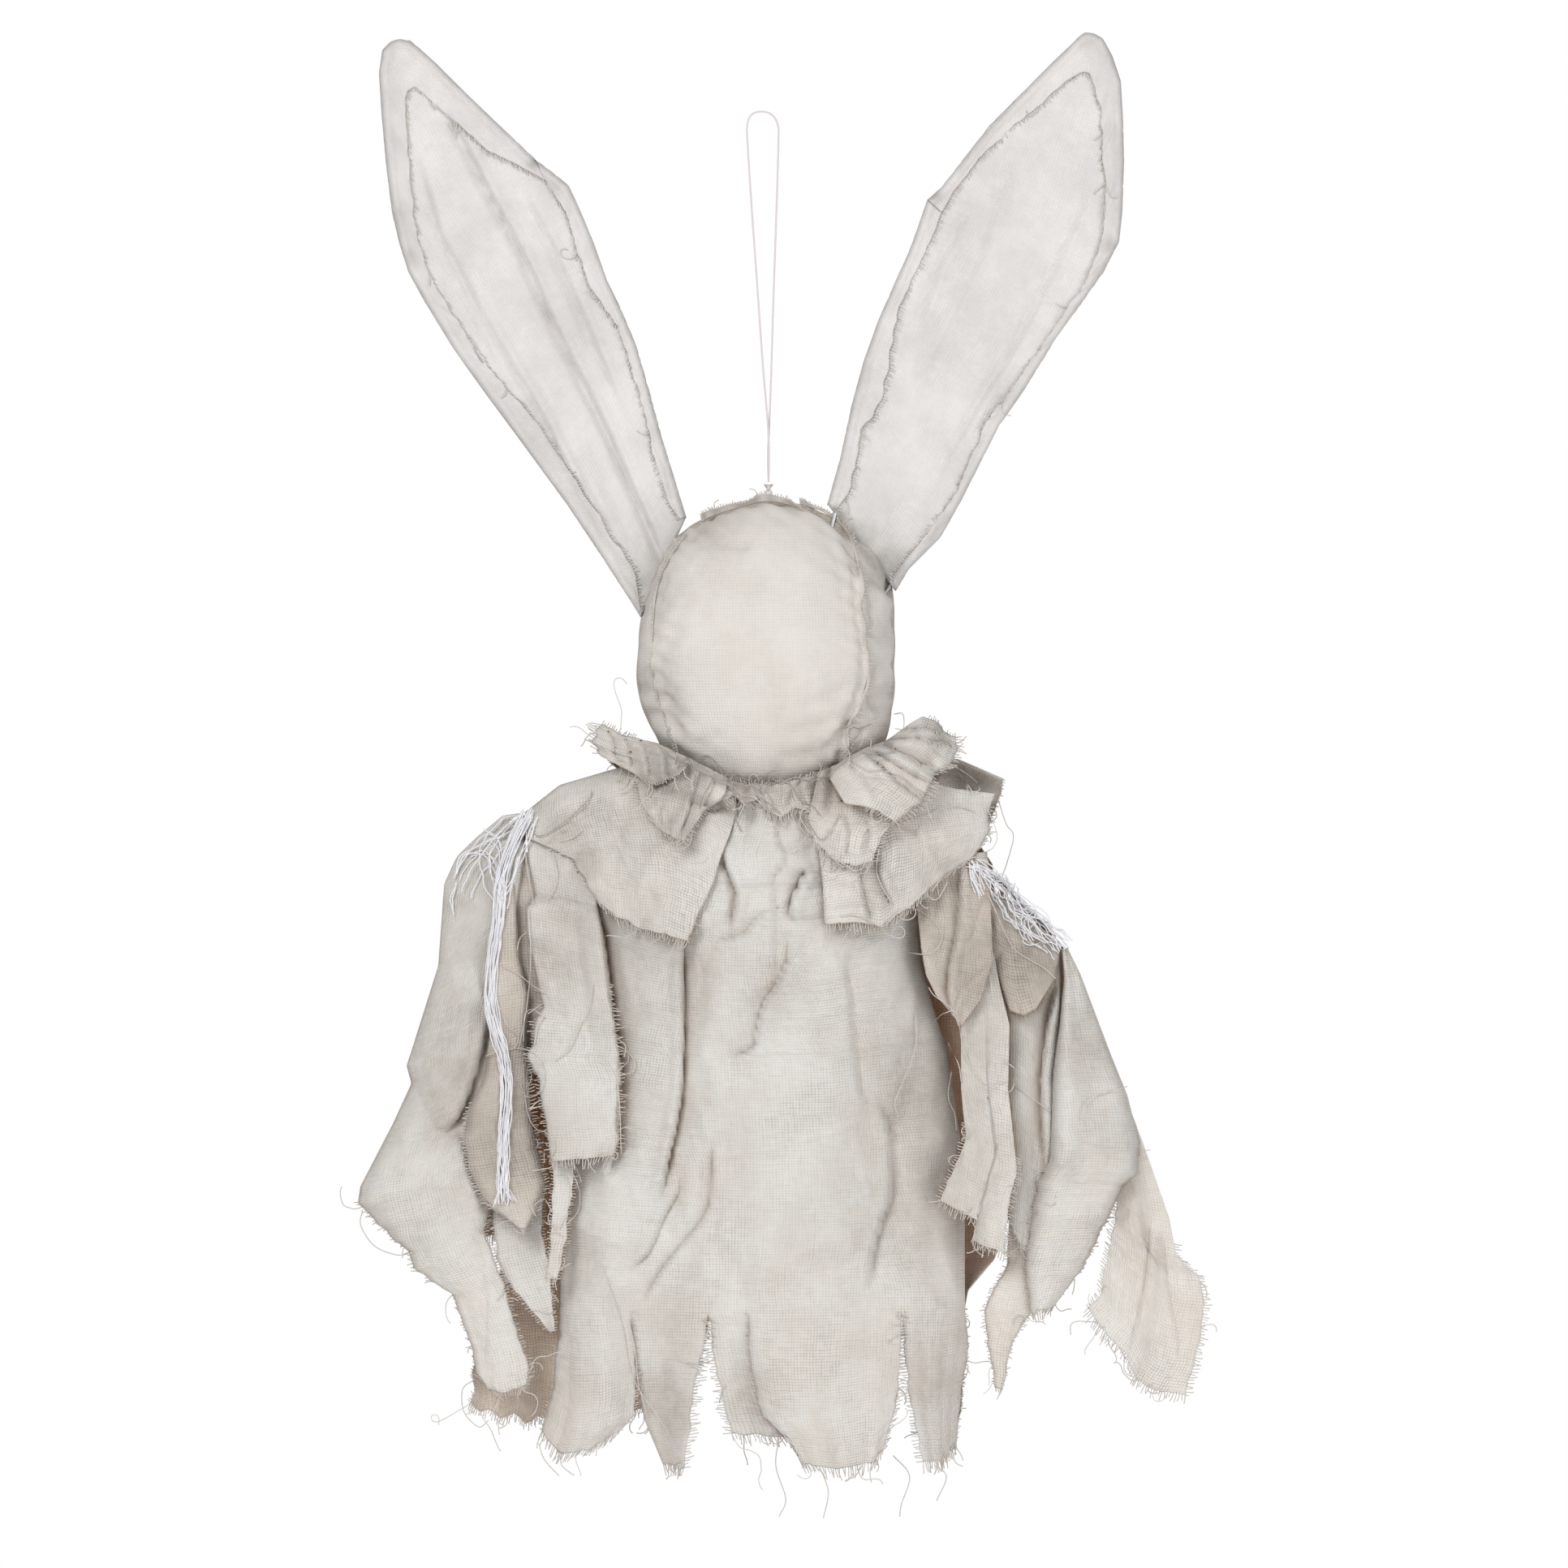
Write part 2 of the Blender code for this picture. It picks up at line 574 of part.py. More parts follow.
def gown_panel(shop, name, panel, finish):
    """Gown half from its body and the torn tongues below it."""
    marks = np.array(panel["columns"], dtype=float)
    s = (marks - marks[0]) / (marks[-1] - marks[0])
    t = np.linspace(0, 1, panel["rows"] + 1)
    body = lay_piece(shop, panel, s, t)
    grids = [body]
    for first, last, left, right, bottom in panel["tongues"]:
        top = body[-1, first:last + 1]
        local_s = np.linspace(0, 1, last - first + 1)
        local_t = np.linspace(0, 1, 4)
        tongue = {"left": left, "right": right, "bottom": bottom}
        x, z = coons_patch(tongue, local_s, local_t)
        fade = (1 - local_t)[:, None]
        x = x + (top[:, 0] - x[0])[None] * fade
        z = z + (top[:, 2] - z[0])[None] * fade
        depth = panel["side"] * top[:, 1][None] * np.ones_like(fade)
        under = shop.support(panel["side"], x, z, CLOTH_FEEL) + GAP
        under[0] = depth[0]
        depth = np.maximum(depth, under)
        grids.append(np.stack([x, panel["side"] * depth, z], axis=-1))
    sheet = sheet_object(name, grids, panel["side"], CLOTH, make_material(name, finish))
    return settle(shop, sheet, panel["side"])


GOWN_FRONT = {
    "side": -1, "rows": 12, "depth": (0.4, 0.4, 0.4, 0.4), "bulge": (NECK_DEPTH, GOWN_DEPTH),
    "valleys": GOWN_VALLEYS,
    "left": [(812, 925), (760, 965), (722, 1010), (712, 1080), (708, 1200), (702, 1300), (697, 1430),
             (692, 1530), (690, HEM_CUT)],
    "top": [(850, 945), (892, 966), (944, 972), (1005, 962), (1050, 938)],
    "right": [(1092, 925), (1135, 975), (1148, 1040), (1136, 1110), (1136, 1180), (1147, 1235),
              (1165, 1290), (1182, 1400), (1188, 1500), (1188, HEM_CUT)],
    "columns": [690, 700, 724, 750, 778, 800, 825, 850, 873, 898, 923, 960, 1000, 1040, 1075, 1110,
                1140, 1168, 1181, 1188],
    "tongues": [
        (0, 4, [(690, HEM_CUT), (688, 1660), (681, 1720), (678, 1762)],
         [(778, HEM_CUT), (784, 1690), (778, 1740), (765, 1757)], [(690, 1785), (720, 1782)]),
        (4, 8, [(778, HEM_CUT), (793, 1690), (803, 1750), (820, 1798)],
         [(873, HEM_CUT), (866, 1660), (855, 1710), (850, 1760), (844, 1800)], []),
        (8, 10, [(873, HEM_CUT), (880, 1660), (888, 1710), (902, 1760)],
         [(923, HEM_CUT), (926, 1690), (936, 1764)], []),
        (10, 15, [(923, HEM_CUT), (933, 1690), (952, 1764)],
         [(1110, HEM_CUT), (1106, 1680), (1102, 1730), (1088, 1780)],
         [(976, 1768), (984, 1795), (1030, 1802), (1075, 1796)]),
        (15, 19, [(1110, HEM_CUT), (1118, 1680), (1124, 1740), (1136, 1795)],
         [(1188, HEM_CUT), (1192, 1660), (1183, 1720), (1178, 1775)], [(1158, 1797)])]}

GOWN_BACK = {
    "side": 1, "rows": 10, "depth": (0.4, 0.4, 0.4, 0.4), "bulge": (NECK_DEPTH, GOWN_BACK_DEPTH),
    "valleys": GOWN_BACK_VALLEYS,
    "left": [(812, 925), (720, 985), (655, 1045), (630, 1200), (615, 1350), (604, 1470), (618, 1535),
             (618, 1562), (602, HEM_CUT)],
    "top": [(860, 925), (944, 922), (1040, 925)],
    "right": [(1092, 925), (1170, 985), (1222, 1065), (1236, 1200), (1242, 1400), (1240, 1535),
              (1222, 1565), (1198, HEM_CUT)],
    "columns": [602, 616, 650, 690, 735, 780, 830, 878, 920, 960, 1010, 1060, 1112, 1150, 1180, 1198],
    "tongues": [
        (0, 3, [(602, HEM_CUT), (590, 1660), (586, 1700), (591, 1745)],
         [(690, HEM_CUT), (697, 1680), (690, 1740)], [(620, 1738), (655, 1748)]),
        (3, 7, [(690, HEM_CUT), (703, 1680), (706, 1738)],
         [(878, HEM_CUT), (866, 1660), (846, 1740)], [(760, 1750), (800, 1738)]),
        (7, 12, [(878, HEM_CUT), (893, 1660), (912, 1740)],
         [(1112, HEM_CUT), (1108, 1670), (1090, 1750)], [(980, 1752), (1040, 1745)]),
        (12, 15, [(1112, HEM_CUT), (1122, 1680), (1134, 1750)],
         [(1198, HEM_CUT), (1203, 1660), (1209, 1700), (1203, 1740), (1196, 1770)], [(1170, 1765)])]}

# Cloth pieces from the innermost outwards. Depths in millimetres are those of the corners
# top left, top right, bottom left and bottom right. "grid" gives columns and rows.
PIECES = {
    "sleeve_left_back": {
        "side": 1, "depth": (0.4, 0.4, 0.4, 4), "bulge": (0.004, SLEEVE_DEPTH), "grid": (6, 9),
        "pleats": (2, 4),
        "left": [(566, 1058), (548, 1100), (543, 1190), (512, 1295), (509, 1340), (470, 1425), (450, 1480)],
        "right": [(648, 1003), (645, 1100), (632, 1300), (622, 1440), (612, 1520)],
        "bottom": [(490, 1520), (520, 1500), (560, 1560), (590, 1530)]},
    "sleeve_right_back": {
        "side": 1, "depth": (0.4, 0.4, 4, 0.4), "bulge": (0.004, SLEEVE_DEPTH), "grid": (6, 8),
        "left": [(1230, 1095), (1236, 1200), (1244, 1400), (1245, 1480)],
        "right": [(1308, 1166), (1328, 1204), (1366, 1300), (1386, 1352), (1402, 1410), (1402, 1448)],
        "bottom": [(1290, 1530), (1330, 1490)]},
    "sleeve_left_low_strip": {
        "side": -1, "depth": (2, 6, 4, 14), "grid": (4, 7),
        "left": [(520, 1440), (538, 1560), (562, 1602), (575, 1640), (585, 1690), (600, 1700)],
        "right": [(600, 1440), (598, 1520), (617, 1565), (635, 1620), (653, 1680), (648, 1702)],
        "bottom": [(615, 1714)]},
    "sleeve_right_low_strip": {
        "side": -1, "depth": (2, 1, 10, 6), "grid": (5, 8), "pleats": (2, 4),
        "left": [(1345, 1330), (1376, 1480), (1368, 1530), (1360, 1560), (1355, 1592), (1340, 1610)],
        "right": [(1383, 1342), (1408, 1408), (1440, 1500), (1449, 1545), (1478, 1575), (1484, 1600),
                  (1479, 1645), (1460, 1718)],
        "bottom": [(1362, 1642), (1385, 1665), (1398, 1700), (1432, 1714)]},
    "sleeve_right_inner": {
        "side": -1, "depth": (3, 3, 12, 10), "bulge": (0.004, 0.008), "grid": (4, 8),
        "left": [(1225, 1130), (1238, 1250), (1236, 1400), (1220, 1500)],
        "right": [(1300, 1168), (1300, 1250), (1298, 1400), (1276, 1500), (1262, 1545)],
        "bottom": [(1240, 1530)]},
    "torn_strip_right_pointed": {
        "side": -1, "depth": (8, 8, 12, 12), "grid": (3, 6),
        "left": [(1245, 1500), (1240, 1560), (1212, HEM_CUT), (1218, 1655), (1226, 1708)],
        "right": [(1274, 1500), (1274, 1590), (1268, 1616), (1246, 1650), (1232, 1710)]},
    "sleeve_right_front": {
        "side": -1, "depth": (0.4, 0.4, 14, 6), "bulge": (0.004, 0.012), "grid": (6, 12),
        "left": [(1303, 1168), (1309, 1205), (1300, 1290), (1293, 1420), (1280, 1452), (1266, 1530),
                 (1263, 1562), (1270, 1616)],
        "right": [(1312, 1165), (1330, 1200), (1368, 1300), (1388, 1350), (1402, 1405), (1398, 1445),
                  (1380, 1462), (1364, 1498), (1335, 1560), (1300, 1606)]},
    "sleeve_left_front": {
        "side": -1, "depth": (0.4, 0.4, 3, 8), "bulge": (0.004, SLEEVE_DEPTH), "grid": (7, 12),
        "valleys": [([(602, 1180), (596, 1260), (586, 1320), (552, 1390)], 9, 8),
                    ([(530, 1400), (520, 1470)], 4, 9)],
        "left": [(563, 1056), (548, 1090), (541, 1190), (508, 1295), (502, 1313), (508, 1335), (485, 1385),
                 (445, 1462), (442, 1482)],
        "top": [(590, 1030), (620, 1005)],
        "right": [(648, 1001), (645, 1060), (632, 1150), (622, 1300), (620, 1440), (600, 1500), (596, 1545)],
        "bottom": [(475, 1520), (504, 1540), (508, 1562), (558, 1590)]},
    "torn_strip_left_grey": {
        "side": -1, "depth": (6, 8, 20, 22), "grid": (4, 9), "bulge": (0.002, 0.004),
        "left": [(604, 1130), (600, 1240), (594, 1320), (578, 1370), (575, 1405), (583, 1445), (606, 1484),
                 (640, 1508)],
        "right": [(655, 1110), (650, 1250), (652, 1340), (662, 1415), (672, 1455), (664, 1482), (650, 1510)]},
    "torn_rag_left": {
        "side": -1, "depth": (24, 26, 26, 28), "grid": (2, 5),
        "left": [(684, 1395), (685, 1480), (682, 1530), (678, 1572)],
        "right": [(708, 1395), (702, 1470), (695, 1530), (688, 1572)]},
    "torn_strip_left_front": {
        "side": -1, "depth": (10, 12, 32, 34), "bulge": (0.004, 0.006), "grid": (4, 10),
        "left": [(655, 1055), (648, 1110), (654, 1180), (668, 1240), (652, 1300), (668, 1335), (676, 1390),
                 (680, 1425)],
        "right": [(735, 1075), (742, 1150), (750, 1220), (772, 1278), (762, 1320), (760, 1360), (764, 1418)]},
    "sleeve_right_cap": {
        "side": -1, "depth": (14, 3, 20, 12), "bulge": (0.003, 0.006), "grid": (4, 6),
        "left": [(1205, 1085), (1222, 1180), (1242, 1240)],
        "right": [(1302, 1160), (1302, 1180), (1296, 1206)],
        "bottom": [(1258, 1249), (1275, 1240)]},
    "torn_patch_right": {
        "side": -1, "depth": (20, 20, 30, 26), "grid": (4, 8), "pleats": (1, 3),
        "left": [(1180, 1170), (1183, 1262), (1183, 1340), (1189, 1400), (1172, 1440), (1157, 1476)],
        "right": [(1232, 1170), (1240, 1250), (1241, 1340), (1252, 1442), (1240, 1490), (1236, 1542)],
        "bottom": [(1202, 1500), (1197, 1526)]},
    "torn_strip_right_shoulder": {
        "side": -1, "depth": (22, 18, 32, 30), "grid": (5, 6), "pleats": (2, 5),
        "left": [(1112, 1085), (1133, 1150), (1137, 1190), (1150, 1225), (1168, 1241)],
        "right": [(1215, 1085), (1222, 1180), (1205, 1225), (1183, 1262)]},
    "cape_back": {
        "side": 1, "depth": (0.4, 0.4, 30, 30), "bulge": (NECK_DEPTH, 0.012), "grid": (12, 6),
        "valleys": [([(850, 960), (800, 1120)], 4, 6), ([(1040, 960), (1080, 1120)], 4, 6),
                    ([(944, 960), (944, 1120)], 4, 6)],
        "left": [(652, 1003), (665, 1045), (705, 1085)],
        "top": [(758, 955), (830, 930), (944, 925), (1092, 930), (1180, 945)],
        "right": [(1230, 975), (1212, 1030), (1180, 1075)],
        "bottom": [(780, 1140), (850, 1120), (960, 1150), (1060, 1125), (1120, 1140)]},
    "cape_left": {
        "side": -1, "depth": (0.4, 30, 28, 44), "bulge": (0.0, 0.004), "grid": (8, 7),
        "left": [(648, 1001), (648, 1030), (684, 1057)],
        "top": [(690, 968), (758, 948), (820, 940), (880, 960)],
        "right": [(904, 977), (907, 1000), (889, 1054), (868, 1100), (845, 1156)],
        "bottom": [(713, 1083), (731, 1109), (751, 1124), (792, 1142)]},
    "cape_right": {
        "side": -1, "depth": (30, 0.4, 46, 22), "bulge": (0.0, 0.006), "grid": (8, 7), "pleats": (2, 3),
        "left": [(1000, 985), (1015, 1030), (1032, 1071), (1028, 1110), (1019, 1139)],
        "top": [(1040, 962), (1092, 940), (1178, 938)],
        "right": [(1237, 960), (1230, 985), (1217, 1010), (1202, 1048), (1193, 1060)],
        "bottom": [(1071, 1139), (1101, 1133), (1124, 1112), (1165, 1078)]},
    "collar_back": {
        "side": 1, "depth": (0.4, 0.4, 38, 38), "bulge": (NECK_DEPTH, 0.014), "grid": (14, 4),
        "pleats": (7, 4),
        "left": [(735, 900), (740, 925), (765, 955)],
        "top": [(813, 917), (860, 912), (944, 910), (1040, 912), (1092, 915)],
        "right": [(1177, 908), (1176, 930), (1140, 975)],
        "bottom": [(830, 1010), (944, 1030), (1050, 1015)]},
    "collar_centre": {
        "side": -1, "depth": (32, 32, 36, 36), "grid": (7, 3), "pleats": (4, 4),
        "left": [(886, 962), (892, 975), (905, 985)],
        "top": [(944, 966)],
        "right": [(1006, 956), (1000, 970), (998, 992)],
        "bottom": [(935, 984), (960, 998)]},
    "collar_left": {
        "side": -1, "depth": (4, 8, 44, 44), "grid": (7, 7), "pleats": (2, 5),
        "left": [(735, 900), (732, 918), (758, 938), (775, 965), (797, 1003), (815, 1022)],
        "top": [(770, 905)],
        "right": [(813, 919), (845, 935), (892, 963), (890, 985), (862, 1002), (840, 1033)],
        "bottom": [(828, 1028)]},
    "collar_right": {
        "side": -1, "depth": (8, 4, 34, 48), "grid": (6, 12), "pleats": (1, 3),
        "left": [(1092, 917), (1060, 924), (1030, 942), (1006, 960), (998, 985)],
        "top": [(1120, 893), (1136, 884)],
        "right": [(1177, 905), (1178, 930), (1152, 957), (1130, 985), (1101, 1012), (1085, 1042),
                  (1060, 1062), (1028, 1054), (1003, 1036)]}}

WORN = ("sleeve_left_back", "sleeve_right_back", "sleeve_right_inner", "torn_strip_left_grey",
        "cape_back", "collar_back")

YARNS = {
    "yarn_hank_left": {
        "side": -1, "depth": (2, 2, 26, 26), "grid": (3, 14),
        "left": [(575, 1050), (600, 1072), (612, 1110), (606, 1200), (603, 1240), (613, 1290), (617, 1350),
                 (615, 1480)],
        "right": [(648, 1004), (634, 1060), (627, 1110), (620, 1200), (619, 1240), (630, 1290), (635, 1350),
                  (633, 1478)]},
    "yarn_bundle_right": {
        "side": -1, "depth": (20, 2, 20, 2), "grid": (8, 2),
        "left": [(1197, 1064), (1202, 1084), (1208, 1102)],
        "top": [(1236, 1089), (1283, 1133)],
        "right": [(1311, 1160), (1310, 1165), (1306, 1172)],
        "bottom": [(1240, 1125), (1280, 1160)]}}


def main():
    for obj in list(bpy.data.objects):
        bpy.data.objects.remove(obj)
    shop = Workshop()

    wires = {name: ear_wire_path(name) for name in EARS}
    bores = []
    for path in wires.values():
        for end, next_point in ((path[0], path[1]), (path[-1], path[-2])):
            axis = (next_point - end).normalized()
            bores.append((end - axis * GAP, next_point + axis * 0.002))
    make_head(shop, bores)
    for name, path in wires.items():
        shop.add(make_tube("ear_wire_" + name, path, EAR_WIRE_DIAMETER, "steel"))
        make_ear_cover(shop, name)

    loop_points = smooth_curve(LOOP_ROUTE, LOOP_POINT_COUNT)
    shop.add(make_tube("hanging_loop", loop_points, CORD_DIAMETER, "thread"))
    make_knot(shop)
    make_shoulder_wire(shop)

    gown_panel(shop, "gown_back", GOWN_BACK, "muslin_worn")
    gown_panel(shop, "gown_front", GOWN_FRONT, "muslin")
    for name, piece in PIECES.items():
        make_cloth(shop, name, piece, "muslin_worn" if name in WORN else "muslin")
        if name == "torn_strip_right_shoulder":
            for yarn_name, yarn_piece in YARNS.items():
                make_cloth(shop, yarn_name, yarn_piece, "yarn", YARN_THICKNESS)


main()
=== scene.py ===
import math

import bmesh
import bpy
import numpy as np
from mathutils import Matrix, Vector
from mathutils.kdtree import KDTree


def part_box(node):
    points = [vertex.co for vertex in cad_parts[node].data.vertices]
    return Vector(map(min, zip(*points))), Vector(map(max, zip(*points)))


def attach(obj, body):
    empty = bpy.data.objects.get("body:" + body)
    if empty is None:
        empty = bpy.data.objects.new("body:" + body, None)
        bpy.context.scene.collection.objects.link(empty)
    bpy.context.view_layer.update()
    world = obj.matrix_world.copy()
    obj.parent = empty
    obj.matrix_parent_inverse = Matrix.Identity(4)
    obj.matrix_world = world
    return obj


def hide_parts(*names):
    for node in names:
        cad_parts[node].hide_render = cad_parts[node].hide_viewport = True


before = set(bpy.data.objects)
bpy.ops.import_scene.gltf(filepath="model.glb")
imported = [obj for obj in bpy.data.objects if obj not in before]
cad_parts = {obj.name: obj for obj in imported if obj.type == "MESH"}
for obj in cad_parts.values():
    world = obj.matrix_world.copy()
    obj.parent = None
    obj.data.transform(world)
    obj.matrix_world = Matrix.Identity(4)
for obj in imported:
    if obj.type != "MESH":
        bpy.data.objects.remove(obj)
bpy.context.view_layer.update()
print("frame loaded:", len(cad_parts), "nodes")

# The patterns are drawn on a grid of 0.38 mm steps, x to the right and y downwards.
gridStep = 0.00038
gridOrigin = (938, 136)
clothSettings = {"thickness": 0.0004, "cell": 0.0013, "gap": 0.0003, "feel": 3, "wander": 0.0007, "sewnLift": 0.0004}
# a lap's lip and the hollow beside it
lapSettings = {"lipWide": 0.0007, "hollow": 0.3, "hollowFrom": 0.0028, "hollowWide": 0.0024}
# heights in metres of the wrinkles that every piece of cloth has
wrinkles = {"broad": 0.0016, "ridges": 0.0011, "pinches": 0.0009, "small": 0.0005, "fine": 0.00016,
            "tongueSway": 0.0035, "tongueFine": 0.0006, "earBroad": 0.0006, "earFine": 0.00015, "earWobble": 0.0005}
reliefMap = {"cell": 0.001, "left": -0.30, "top": 0.15, "columns": 600, "rows": 860}


def onGrid(x, y):
    return ((x - gridOrigin[0]) * gridStep, (gridOrigin[1] - y) * gridStep)


# Camera first: the photograph's level view from the front, from far enough to look nearly flat.
cameraSettings = {"distance": 5.0, "middle": (966, 966), "frameSteps": 1932, "sensor": 36.0}


def makeCamera():
    camera = bpy.data.objects.new("camera", bpy.data.cameras.new("camera"))
    x, z = onGrid(*cameraSettings["middle"])
    camera.location = (x, -cameraSettings["distance"], z)
    camera.rotation_euler = (math.radians(90), 0, 0)
    camera.data.sensor_width = cameraSettings["sensor"]
    width = cameraSettings["frameSteps"] * gridStep
    camera.data.lens = cameraSettings["sensor"] * cameraSettings["distance"] / width
    camera.data.clip_end = 100
    bpy.context.scene.collection.objects.link(camera)
    bpy.context.scene.camera = camera


makeCamera()


# Small helpers

def linear(hexColour):
    parts = [int(hexColour[i:i + 2], 16) / 255 for i in (0, 2, 4)]
    return tuple(c / 12.92 if c <= 0.04045 else ((c + 0.055) / 1.055) ** 2.4 for c in parts) + (1.0,)


def setInputs(tree, node, inputs):
    for name, value in inputs.items():
        if isinstance(value, bpy.types.NodeSocket):
            tree.links.new(value, node.inputs[name])
        else:
            node.inputs[name].default_value = value


def addNode(tree, kind, settings=None, inputs=None):
    node = tree.nodes.new(kind)
    for name, value in (settings or {}).items():
        setattr(node, name, value)
    setInputs(tree, node, inputs or {})
    return node


def mathNode(tree, operation, *values, **settings):
    return addNode(tree, "ShaderNodeMath", {"operation": operation, **settings}, dict(enumerate(values))).outputs[0]


def vectorNode(tree, operation, *values, **inputs):
    return addNode(tree, "ShaderNodeVectorMath", {"operation": operation},
                   {**dict(enumerate(values)), **inputs}).outputs[0]


def noiseNode(tree, vector, scale, settings=None, **inputs):
    return addNode(tree, "ShaderNodeTexNoise", settings, {"Vector": vector, "Scale": scale, **inputs})


def rangeNode(tree, *values):
    # value, low, high, and what these two become
    return addNode(tree, "ShaderNodeMapRange", inputs=dict(enumerate(values))).outputs[0]


def mixNode(tree, share, first, second, blend="MIX"):
    return addNode(tree, "ShaderNodeMix", {"data_type": "RGBA", "blend_type": blend},
                   {0: share, 6: first, 7: second}).outputs[2]


def newMaterial(name):
    material = bpy.data.materials.new(name)
    material.use_nodes = True
    return material, material.node_tree, material.node_tree.nodes["Principled BSDF"]


def resample(points, shares):
    points = np.array(points, float)
    steps = np.linalg.norm(np.diff(points, axis=0), axis=1)
    along = np.concatenate([[0.0], np.cumsum(steps)]) / max(steps.sum(), 1e-9)
    return np.stack([np.interp(shares, along, points[:, k]) for k in range(points.shape[1])], axis=1)


def smoothPath(points, count):
    # evenly spaced points on a Catmull-Rom curve
    pts = [np.array(p, float) for p in points]
    pts = [pts[0] * 2 - pts[1]] + pts + [pts[-1] * 2 - pts[-2]]
    dense = []
    for a, b, c, d in zip(pts, pts[1:], pts[2:], pts[3:]):
        for t in np.arange(16) / 16:
            dense.append(0.5 * (2 * b + (c - a) * t + (2 * a - 5 * b + 4 * c - d) * t * t
                                + (3 * b - a - 3 * c + d) * t ** 3))
    dense.append(pts[-2])
    return resample(dense, np.linspace(0, 1, count))


def valueNoise(x, y, seed):
    # smooth noise between -1 and 1, one cell a unit
    lattice = np.random.RandomState(seed).uniform(-1, 1, (64, 64))
    i, j = np.floor(x).astype(int), np.floor(y).astype(int)
    fx, fy = x - i, y - j
    fx, fy = fx * fx * (3 - 2 * fx), fy * fy * (3 - 2 * fy)
    low = lattice[i % 64, j % 64] * (1 - fx) + lattice[(i + 1) % 64, j % 64] * fx
    high = lattice[i % 64, (j + 1) % 64] * (1 - fx) + lattice[(i + 1) % 64, (j + 1) % 64] * fx
    return low * (1 - fy) + high * fy


def pathDistance(x, z, path):
    best = np.full(np.shape(x), 1e9)
    for (ax, az), (bx, bz) in zip(path, path[1:]):
        length = max((bx - ax) ** 2 + (bz - az) ** 2, 1e-12)
        k = np.clip(((x - ax) * (bx - ax) + (z - az) * (bz - az)) / length, 0, 1)
        best = np.minimum(best, np.hypot(x - ax - k * (bx - ax), z - az - k * (bz - az)))
    return best


def pathFrame(x, z, path):
    # distance to a path, the side of it (positive to the right of a path that runs down) and the share along it
    best, side, share = np.full(np.shape(x), 1e9), np.zeros(np.shape(x)), np.zeros(np.shape(x))
    lengths = [math.dist(a, b) for a, b in zip(path, path[1:])]
    start = 0.0
    for (ax, az), (bx, bz), length in zip(path, path[1:], lengths):
        k = np.clip(((x - ax) * (bx - ax) + (z - az) * (bz - az)) / max(length ** 2, 1e-12), 0, 1)
        distance = np.hypot(x - ax - k * (bx - ax), z - az - k * (bz - az))
        closer = distance < best
        turn = (bx - ax) * (z - az) - (bz - az) * (x - ax)
        best = np.where(closer, distance, best)
        side = np.where(closer, np.sign(turn), side)
        share = np.where(closer, (start + k * length) / sum(lengths), share)
        start += length
    return best, side, share


def finished(obj, replaces=()):
    # every piece rides on the one body; the nodes it replaces are hidden
    if obj.name not in bpy.context.scene.collection.objects:
        bpy.context.scene.collection.objects.link(obj)
    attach(obj, "root")
    if replaces:
        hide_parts(*replaces)
    return obj


# Materials

# plain weave pitches in metres: the real muslin is 0.76 by 0.58 mm, drawn about twice as coarse so that it shows
weave = {"warp": 0.0015, "weft": 0.0013, "slubLength": 0.009, "slubWidth": 0.0011,
         "slack": 0.45, "relief": 0.6, "depth": 0.0004}
# stain patterns, cells a metre: clouds of 42 mm, rubbed patches of 26 mm and grit of 6 mm
stains = {"cloud": 24.0, "rub": 38.0, "grit": 160.0}
muslins = {
    "head": {
        "colour": "DED8D1", "pale": "E4DFD9", "shadeAndStainBrown": "B3A18C", "shadeAndDirtGrey": "9C968F", "bump": 0.7, "weaveGapShade": 0.15,
        "through": 0.0},
    "ear": {
        "colour": "DBD7D5", "pale": "E6E3E1", "shadeAndStainBrown": "B0A08E", "shadeAndDirtGrey": "8F8C86", "bump": 0.6, "weaveGapShade": 0.12,
        "through": 0.0},
    "gown": {
        "colour": "E2DBD4", "pale": "EBE6E1", "shadeAndStainBrown": "A8896A", "shadeAndDirtGrey": "948C82", "bump": 1.0, "weaveGapShade": 0.36,
        "through": 0.3},
    "worn": {
        "colour": "D8CDC3", "pale": "E0D8D0", "shadeAndStainBrown": "B8A188", "shadeAndDirtGrey": "8A8178", "bump": 1.0, "weaveGapShade": 0.46,
        "through": 0.4},
    "collar": {
        "colour": "E3DCD4", "pale": "EBE6E0", "shadeAndStainBrown": "A08468", "shadeAndDirtGrey": "918A80", "bump": 1.0, "weaveGapShade": 0.48,
        "through": 0.0}}


